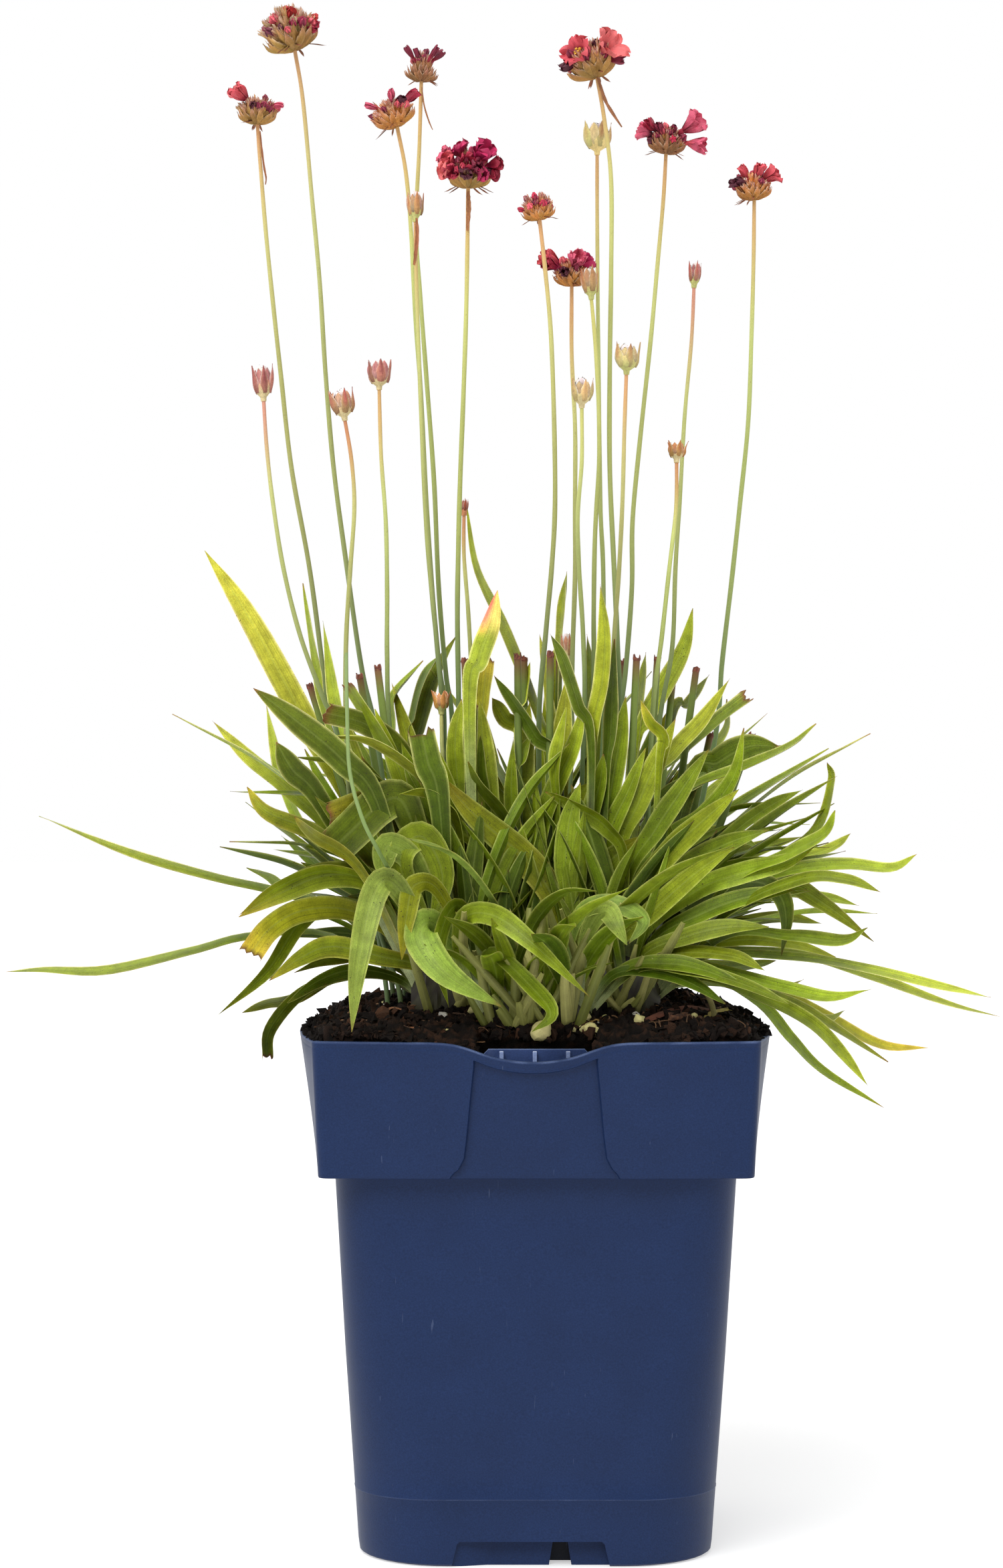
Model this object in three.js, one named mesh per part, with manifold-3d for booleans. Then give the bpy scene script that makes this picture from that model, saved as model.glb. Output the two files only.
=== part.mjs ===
// A clump of ballerina red thrift in a 13 cm square nursery pot.
// Millimetres, +Z up, the front of the pot faces -Y, the origin is under the middle of the pot.
import * as THREE from 'three';
import { mergeVertices } from 'three/addons/utils/BufferGeometryUtils.js';
import Module from 'manifold-3d';

const wasm = await Module();
wasm.setup();

// Driving dimensions of the pot
const POT = {
  rim: 64.5, height: 152.8, collarFoot: 62.6, ledge: 113.4, waist: 58.4, base: 49.5, bow: 6.3,
  wall: 1.8, collarWall: 2.6, floorLow: 3.8, floorTop: 9, recess: 1.3,
};
const SLOT = { halfWidth: 16, gap: 3, wall: 1.4, top: 150.7, ribs: [-10, -0.5, 9], ribWidth: 1.2 };
const FOOT = { notchHalf: 21, notchHeight: 7.3, notchDepth: 4, drainHalf: 2.2, pad: 8, drain: 4.5 };

// Driving dimensions of the plant
const CLEAR = 0.35;
const SOIL = { edge: 149.5, mound: 160.2, holeRadius: 2.8 };
const CROWN = { foot: 150, radius: 6.4, end: 4.5, endSize: 0.45 };
const STEM = { root: 145, leafTop: 255, sides: 4, pieces: 7 };
const BLADE = { keel: 0.95, trueWidth: 6.4, sheath: 0.32, broadest: 0.6, margin: 1.2 };

// The viewpoint that the (u, v) places below were read from: a level lens in front of the pot
const EYE = { x: -10, y: -1064.5, z: 226.3, focal: 5240, u: 750, v: 1172 };

const COLOURS = {
  pot: 0x2b3a62, soil: 0x2a211c, bark: 0x4a3326, leaf: 0x6f8f2c, stem: 0xa9b070,
  bowl: 0xb98a54, floret: 0xc2415c, bud: 0xc9a97a,
};

const point = (x, y, z) => new THREE.Vector3(x, y, z);
const clamp = THREE.MathUtils.clamp;
const lerp = THREE.MathUtils.lerp;

// Place (u, v) of the view, brought to the depth y.
function seen([u, v], y) {
  const reach = (y - EYE.y) / EYE.focal;
  return point(EYE.x + (u - EYE.u) * reach, y, EYE.z - (v - EYE.v) * reach);
}

// An even spread of draws between 0 and 1: multiples of an irrational step, one step for each use.
const STEPS = [0.6180339887, 0.7548776662, 0.5698402910, 0.8191725134, 0.6710436067];
const draw = (index, use) => (0.5 + index * STEPS[use]) % 1;

// Solids

function solidFrom(positions, triangles) {
  const mesh = new wasm.Mesh({
    numProp: 3, vertProperties: new Float32Array(positions), triVerts: new Uint32Array(triangles),
  });
  return new wasm.Manifold(mesh);
}

function solidOf(geometry) {
  const bare = geometry.clone();
  bare.deleteAttribute('normal');
  bare.deleteAttribute('uv');
  const merged = mergeVertices(bare, 1e-4);
  return solidFrom(merged.attributes.position.array, merged.index.array);
}

// A closed solid through rings of points: a ring of one point is a tip, an end ring gets a flat cap.
function loft(rings) {
  const positions = [];
  const starts = [];
  const triangles = [];
  for (const ring of rings) {
    starts.push(positions.length / 3);
    for (const corner of ring) positions.push(corner.x, corner.y, corner.z);
  }
  for (let i = 0; i + 1 < rings.length; i += 1) {
    const low = rings[i].length;
    const high = rings[i + 1].length;
    for (let k = 0; k < Math.max(low, high); k += 1) {
      const a = starts[i] + (k % low);
      const b = starts[i] + ((k + 1) % low);
      const c = starts[i + 1] + (k % high);
      const d = starts[i + 1] + ((k + 1) % high);
      if (low > 1) triangles.push(a, b, d);
      if (high > 1) triangles.push(a, d, c);
    }
  }
  cap(rings[0], starts[0], positions, triangles, true);
  cap(rings.at(-1), starts.at(-1), positions, triangles, false);
  if (volumeOf(positions, triangles) < 0) triangles.reverse();
  return solidFrom(positions, triangles);
}

function cap(ring, start, positions, triangles, first) {
  if (ring.length < 3) return;
  const fan = (a, b, c) => (first ? triangles.push(a, c, b) : triangles.push(a, b, c));
  if (ring.length < 6) {
    for (let k = 1; k + 1 < ring.length; k += 1) fan(start, start + k, start + k + 1);
    return;
  }
  const middle = ring.reduce((sum, corner) => sum.add(corner), point(0, 0, 0));
  middle.divideScalar(ring.length);
  const hub = positions.length / 3;
  positions.push(middle.x, middle.y, middle.z);
  for (let k = 0; k < ring.length; k += 1) fan(hub, start + k, start + ((k + 1) % ring.length));
}

function volumeOf(positions, triangles) {
  const corner = (i) => point(positions[3 * i], positions[3 * i + 1], positions[3 * i + 2]);
  let volume = 0;
  for (let t = 0; t < triangles.length; t += 3) {
    const [a, b, c] = [0, 1, 2].map((k) => corner(triangles[t + k]));
    volume += a.dot(b.cross(c)) / 6;
  }
  return volume;
}

// The largest of a solid's separate skins: loose scraps go, and sealed hollows are filled.
function mainBody(solid) {
  return solid.decompose().reduce((best, piece) => (piece.volume() > best.volume() ? piece : best));
}

// Joins parts that grow together.
const joined = (parts) => mainBody(wasm.Manifold.union(parts));

function box(x0, x1, y0, y1, z0, z1) {
  const geometry = new THREE.BoxGeometry(x1 - x0, y1 - y0, z1 - z0);
  geometry.translate((x0 + x1) / 2, (y0 + y1) / 2, (z0 + z1) / 2);
  return solidOf(geometry);
}

function upright(radius, z0, z1, x, y, sides) {
  const geometry = new THREE.CylinderGeometry(radius, radius, z1 - z0, sides);
  geometry.rotateX(Math.PI / 2);
  geometry.translate(x, y, (z0 + z1) / 2);
  return solidOf(geometry);
}

// An outline in the front view (x, z), carried from y0 to y1.
function frontPrism(outline, y0, y1) {
  const shape = new THREE.Shape(outline.map(([x, z]) => new THREE.Vector2(x, z)));
  const geometry = new THREE.ExtrudeGeometry(shape, { depth: y1 - y0, bevelEnabled: false });
  geometry.rotateX(Math.PI / 2);
  geometry.translate(0, y1, 0);
  return solidOf(geometry);
}

function turned(solid, degrees) {
  return solid.rotate([0, 0, degrees]);
}

const root = new THREE.Group();

// Corners of different folds of a skin that meet at one place are each drawn into their own material.
function drawApart(geometry, nudge) {
  geometry.computeVertexNormals();
  const { position: places, normal: normals } = geometry.attributes;
  const corners = Array.from({ length: places.count }, (_, i) => point().fromBufferAttribute(places, i));
  const key = (corner) => corner.toArray().map((value) => value.toFixed(3)).join();
  const shared = new Map();
  for (const corner of corners) shared.set(key(corner), (shared.get(key(corner)) ?? 0) + 1);
  corners.forEach((corner, i) => {
    if (shared.get(key(corner)) === 1) return;
    corner.addScaledVector(point().fromBufferAttribute(normals, i), -nudge);
    places.setXYZ(i, corner.x, corner.y, corner.z);
  });
  geometry.computeVertexNormals();
}

// Adds a named piece; edges that stand out by less than `fine` are merged away.
function addPiece(name, solid, colour, roughness, fine) {
  const mesh = mainBody(solid.asOriginal().simplify(fine)).getMesh();
  const geometry = new THREE.BufferGeometry();
  geometry.setAttribute('position', new THREE.BufferAttribute(mesh.vertProperties.slice(), 3));
  geometry.setIndex(new THREE.BufferAttribute(mesh.triVerts.slice(), 1));
  drawApart(geometry, 0.01);
  const material = new THREE.MeshStandardMaterial({ color: colour, roughness, metalness: 0 });
  const piece = new THREE.Mesh(geometry, material);
  piece.name = name;
  root.add(piece);
}

// The pot

const BOWED = [-1, -0.5, 0, 0.5, 1];
const STRAIGHT = [-1, 1];

// Height, half width and corner radius of the tapering walls, from the foot to the ledge
const POT_PROFILE = [
  [0, POT.base, 24], [3.5, 51.4, 26], [POT.floorTop, 52.7, 26], [60, 55.7, 19], [POT.ledge, POT.waist, 13],
];

// A rounded square at height z: half width, corner radius, and how far each side bows out. The stops
// are the places along a side, from -1 to 1, and arcs is the number of points in each corner.
function squareRing(z, half, radius, bow, stops = bow ? BOWED : STRAIGHT, arcs = radius > 4 ? 3 : 1) {
  const ring = [];
  const straight = half - radius;
  for (let side = 0; side < 4; side += 1) {
    const turn = (side * Math.PI) / 2;
    const place = (x, y) => ring.push(
      point(x * Math.cos(turn) - y * Math.sin(turn), x * Math.sin(turn) + y * Math.cos(turn), z),
    );
    for (const s of stops) place(s * straight, -half - bow * (1 - s * s));
    for (let arc = 1; arc <= arcs; arc += 1) {
      const angle = (arc / (arcs + 1)) * (Math.PI / 2);
      place(straight + radius * Math.sin(angle), -straight - radius * Math.cos(angle));
    }
  }
  return ring;
}

// The collar's skin moved in by inset, from z0 to z1.
function collarBlock(inset, z0, z1) {
  const at = (z) => {
    const rise = (z - POT.ledge) / (POT.height - POT.ledge);
    const half = lerp(POT.collarFoot, POT.rim, rise) - inset;
    return squareRing(z, half, Math.max(3 - inset, 0.8), lerp(1.8, POT.bow, rise));
  };
  return loft([at(z0), at((z0 + z1) / 2), at(z1)]);
}

function bodyBlock(inset, z0, top) {
  const rings = POT_PROFILE
    .filter(([z]) => z >= z0)
    .map(([z, half, radius]) => squareRing(z, half - inset, radius - inset, 0));
  const cornerRadius = POT_PROFILE.at(-1)[2];
  if (top > POT.ledge) rings.push(squareRing(top, POT.waist - inset, cornerRadius - inset, 0));
  return loft(rings);
}

function makePot() {
  const { ledge, height, wall } = POT;
  let pot = bodyBlock(0, 0, ledge + 0.1).add(collarBlock(0, ledge, height));
  pot = pot.subtract(bodyBlock(wall, POT.floorTop, ledge + wall + 0.1));
  pot = pot.subtract(collarBlock(POT.collarWall, ledge + wall, height + 4));
  const grooveZone = box(-80, 80, -80, 80, height - 2, height - 1.4);
  pot = pot.subtract(grooveZone.subtract(collarBlock(0.4, height - 4, height + 2)));
  const panel = frontPrism([
    [-22.6, 112], [-22.6, ledge + 2.4], [-20, ledge + 6], [-17.8, 148], [17.4, 148], [19.6, ledge + 6],
    [22.2, ledge + 2.4], [22.2, 112],
  ], -80, -50);
  pot = pot.subtract(panel.subtract(collarBlock(POT.recess, ledge - 4, height + 4)));
  const dip = frontPrism([
    [-26, 160], [-26, 153], [-20, 151.6], [-15, 149.4], [-9, 147.9], [-1, 147.2], [7, 147.9], [13, 149.4],
    [18, 151.6], [24, 153], [24, 160],
  ], -80, -61.5);
  pot = pot.subtract(dip);
  pot = pot.add(labelSlot());
  return pot.subtract(footCuts());
}

// The label slot's inner wall stands behind the dipped rim on two cheeks, with three thin ribs.
function labelSlot() {
  const { halfWidth, gap, wall, top, ribs, ribWidth } = SLOT;
  const low = POT.ledge + 1;
  const skin = (inset) => collarBlock(inset, POT.ledge, POT.height + 4);
  const front = POT.collarWall + gap;
  const window = box(-halfWidth, halfWidth, -80, -50, low, top);
  let slot = window.intersect(skin(front).subtract(skin(front + wall)));
  const between = skin(POT.collarWall - 0.3).subtract(skin(front + wall));
  for (const x of [-halfWidth, halfWidth - wall]) {
    slot = slot.add(box(x, x + wall, -80, -50, low, top - 1).intersect(between));
  }
  const ribSpan = skin(POT.collarWall - 0.3).subtract(skin(front + 0.3));
  for (const x of ribs) {
    slot = slot.add(box(x - ribWidth / 2, x + ribWidth / 2, -80, -50, low, top - 4.5).intersect(ribSpan));
  }
  return slot;
}

function footCuts() {
  const { notchHalf, notchHeight, notchDepth, drainHalf, pad, drain } = FOOT;
  let cuts = loft([squareRing(-1, 45, 26, 0), squareRing(POT.floorLow, 46, 26, 0)]);
  cuts = cuts.subtract(upright(pad, -2, POT.floorLow + 1, 0, 0, 16));
  const face = -52.6;
  for (let side = 0; side < 4; side += 1) {
    const notch = frontPrism([
      [-notchHalf - 2, -1], [-notchHalf, notchHeight], [notchHalf, notchHeight], [notchHalf + 2, -1],
    ], face - 8, face + notchDepth);
    const slit = box(3, 3 + 2 * drainHalf, face - 8, face + 14, -1, notchHeight - 0.4);
    const hole = upright(drain, -1, POT.floorTop + 1, 27, 27, 12);
    for (const cut of [notch, slit, hole]) cuts = cuts.add(turned(cut, 90 * side));
  }
  return cuts;
}

// Where the plant's pieces stand: layers in depth, so that no shoot crosses another or a stem

// Each layer lies between two slanted fronts at |y| = start + slope |x|; side is -1 for the front.
// A crown has its depth, its slope in plan, its half length, and the heights of its heart and top.
const LAYERS = {
  lowFront: { side: -1, near: [38, 0.35], far: [170, 0.35], crown: [47, 0, 13, 157, 165] },
  front: { side: -1, near: [18.5, 0.25], far: [36.5, 0.35], crown: [27.5, 0.3, 32, 161, 177] },
  back: { side: 1, near: [18.5, 0.25], far: [36.5, 0.35], crown: [27.5, 0.3, 32, 161, 177] },
  lowBack: { side: 1, near: [38, 0.35], far: [170, 0.35], crown: [47, 0, 20, 158, 167] },
  left: { side: 0, near: [9.5, 0.25], far: [9.5, 0.25], crown: [0, 0, 33, 161, 177] },
  right: { side: 0, near: [9.5, 0.25], far: [9.5, 0.25], crown: [0, 0, 33, 161, 177] },
};

// Stems rise between the layers of leaves, each in one of four lanes.
const LANES = { f1: -12, f2: -15.8, b1: 12, b2: 15.8 };
const LANE_SLOPE = 0.25;

// Holds a depth inside its layer, with room for a blade that reaches half = margin to each side.
function depthInLayer(layer, x, y, margin) {
  const { side, near, far } = LAYERS[layer];
  const inner = near[0] + near[1] * Math.abs(x) + margin;
  const outer = far[0] + far[1] * Math.abs(x) - margin;
  if (side === 0) return clamp(y, -(outer), outer);
  return side * clamp(side * y, inner, Math.max(inner, outer));
}

// The depth at a level of its layer, from 0 at the pot's middle (or its front) to 1 at the outside.
function depthAtLevel(layer, x, level, margin) {
  const { side, near, far } = LAYERS[layer];
  const inner = near[0] + near[1] * Math.abs(x) + margin;
  const outer = far[0] + far[1] * Math.abs(x) - margin;
  if (side === 0) return lerp(-outer, outer, level);
  return side * lerp(inner, Math.max(inner, outer), level);
}

function crownPoint(layer, x) {
  const { side, crown } = LAYERS[layer];
  const [depth, slope, half, heart] = crown;
  let place = clamp(x, -half, half);
  if (layer === 'left') place = clamp(x, -half, -7);
  if (layer === 'right') place = clamp(x, 7, half);
  return point(place, side * (depth + slope * Math.abs(place)), heart);
}

// A solid along a crown's bank: sectionAt gives the (y, z) outline for a size, smaller at both ends.
function alongBank(layer, endReach, sectionAt) {
  const half = LAYERS[layer].crown[2];
  const [low, high] = { left: [-half, -7], right: [7, half] }[layer] ?? [-half, half];
  const stations = [[low, -endReach], [low, 0], [(low + high) / 2, 0], [high, 0], [high, endReach]];
  return loft(stations.map(([x, past]) => {
    const heart = crownPoint(layer, x);
    const outline = sectionAt(past === 0 ? 1 : CROWN.endSize);
    return outline.map(([y, z]) => point(heart.x + past, heart.y + y, z));
  }));
}

// A crown: a low rounded bank of old sheaths along its layer, which the shoots grow from.
function makeCrown(layer) {
  const [, , , heart, top] = LAYERS[layer].crown;
  return alongBank(layer, CROWN.end, (size) => {
    const r = CROWN.radius * size;
    const crest = lerp(heart, top, size);
    const shoulder = lerp(heart, crest, 0.6);
    return [
      [-0.9 * r, CROWN.foot], [-r, heart - 2], [-0.7 * r, shoulder], [0, crest],
      [0.7 * r, shoulder], [r, heart - 2], [0.9 * r, CROWN.foot],
    ];
  });
}

// The hole that a crown stands in.
function crownHole(layer) {
  const low = CROWN.foot - CLEAR;
  const high = LAYERS[layer].crown[4];
  return alongBank(layer, CROWN.end + CLEAR, (size) => {
    const r = CROWN.radius * size + CLEAR;
    return [[-r, low], [-r, high], [r, high], [r, low]];
  });
}

// Leaves

// Half width along a leaf, from 0 at its root to 1 at its tip: a narrow sheath, a broad middle, a point.
function leafShape(t, cut) {
  const swell = BLADE.sheath + (1 - BLADE.sheath) * Math.sin((Math.PI / 2) * Math.min(t / BLADE.broadest, 1));
  if (cut || t < BLADE.broadest) return swell;
  const taper = (t - BLADE.broadest) / (1 - BLADE.broadest);
  return Math.max(1 - taper ** 2.2, 0.03);
}

// A blade with a flat upper side and a keel below: three corners at each station, drawn to a point.
function blade(spine, sideAt, halfWidth, cut) {
  const curve = new THREE.CatmullRomCurve3(spine, false, 'catmullrom', 0.5);
  const pieces = spine.length < 5 ? 3 : 4;
  const rings = Array.from({ length: pieces + 1 }, (_, i) => {
    const t = i / pieces;
    const middle = curve.getPoint(t);
    const along = curve.getTangent(t);
    const across = sideAt(middle, along);
    const below = across.clone().cross(along).normalize();
    if (t === 1 && !cut) return [middle];
    const half = halfWidth * leafShape(t, cut);
    const keel = BLADE.keel * (t === 1 ? 0.8 : 1);
    return [
      middle.clone().addScaledVector(across, half),
      middle.clone().addScaledVector(across, -half),
      middle.clone().addScaledVector(below, keel),
    ];
  });
  return loft(rings);
}

// The sideways direction of a blade that shows the share `facing` of its width to the viewer.
function facingSide(facing, turn) {
  return (middle, along) => {
    const sight = point(middle.x - EYE.x, middle.y - EYE.y, middle.z - EYE.z).normalize();
    const inView = along.clone().cross(sight).normalize();
    const inDepth = inView.clone().cross(along).normalize();
    const lean = turn * Math.sqrt(1 - facing * facing);
    return inView.multiplyScalar(facing).addScaledVector(inDepth, lean);
  };
}

// A leaf read from the front view: width shown in mm, then places from its tip to where it hides.
function seenLeaf(layer, index, width, places, options = {}) {
  const level = options.level ?? draw(index, 1);
  const full = Math.max(width, BLADE.trueWidth);
  const facing = width / full;
  const margin = (full / 2) * Math.sqrt(1 - facing * facing) + BLADE.margin;
  const hidden = seen(places.at(-1), 0);
  const crown = crownPoint(layer, hidden.x * 0.85);
  crown.y += (level - 0.5) * 5;
  const spine = places.map((place, i) => {
    const share = 1 - i / places.length;
    const rough = seen(place, crown.y);
    const far = options.lean ? -options.lean : depthAtLevel(layer, rough.x, level, margin);
    const y = lerp(crown.y, far, Math.min(share * (options.lean ? 1.2 : 3), 1));
    return seen(place, depthInLayer(layer, rough.x, y, margin));
  });
  spine.push(crown);
  spine.reverse();
  return blade(spine, facingSide(facing, options.turn ?? 1), full / 2, options.cut);
}

// Leaves that no photo shows well: each leaves its crown at a plan heading and bends down on an arc.
function arcLeaf(layer, index, heading, length, steep, droop, width) {
  const { side, crown } = LAYERS[layer];
  const inBank = (draw(index, 3) * 2 - 1) * crown[2] * 0.9;
  const inWing = Math.sign(Math.cos(heading)) * (8 + 22 * draw(index, 3));
  const start = crownPoint(layer, side === 0 ? inWing : inBank);
  const flat = point(Math.cos(heading), Math.sin(heading), 0);
  const bend = (droop - steep) / length;
  const spine = [0, 0.25, 0.5, 0.75, 1].map((share) => {
    const s = share * length;
    const lean = steep + bend * s;
    const out = (Math.cos(steep) - Math.cos(lean)) / bend;
    const up = (Math.sin(lean) - Math.sin(steep)) / bend;
    const spot = start.clone().addScaledVector(flat, out);
    spot.z += up;
    const margin = width / 2 + BLADE.margin;
    spot.y = share === 0 ? start.y : depthInLayer(layer, spot.x, spot.y, margin);
    return spot;
  });
  const roll = (draw(index, 2) - 0.5) * 0.9;
  const sideAt = (middle, along) => {
    const level = point(-flat.y, flat.x, 0);
    const over = level.clone().cross(along).normalize();
    return level.multiplyScalar(Math.cos(roll)).addScaledVector(over, Math.sin(roll)).normalize();
  };
  return blade(spine, sideAt, width / 2, false);
}

// The cut end of an old flower stem, read from the front view at its top.
function stub(layer, place, depth) {
  const top = seen(place, depthInLayer(layer, seen(place, depth).x, depth, 2.4));
  const foot = crownPoint(layer, top.x * 0.8);
  const middle = top.clone().lerp(foot, 0.5);
  middle.x += (top.x - foot.x) * 0.06;
  return rod([foot, middle, top], 1.45, 1.35, 3);
}

// A rod along a curve, with few sides.
function rod(spine, low, high, pieces) {
  const curve = new THREE.CatmullRomCurve3(spine, false, 'catmullrom', 0.5);
  const rings = [];
  for (let i = 0; i <= pieces; i += 1) {
    const middle = curve.getPoint(i / pieces);
    const along = curve.getTangent(i / pieces);
    const across = point(0, 1, 0).cross(along).normalize();
    const over = across.clone().cross(along).normalize();
    const radius = lerp(low, high, i / pieces);
    rings.push(Array.from({ length: STEM.sides }, (_, k) => {
      const angle = (2 * Math.PI * k) / STEM.sides;
      return middle.clone()
        .addScaledVector(across, radius * Math.cos(angle))
        .addScaledVector(over, radius * Math.sin(angle));
    }));
  }
  return loft(rings);
}

const HANGING_TORN = { cut: true, level: 0.15 };

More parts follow.
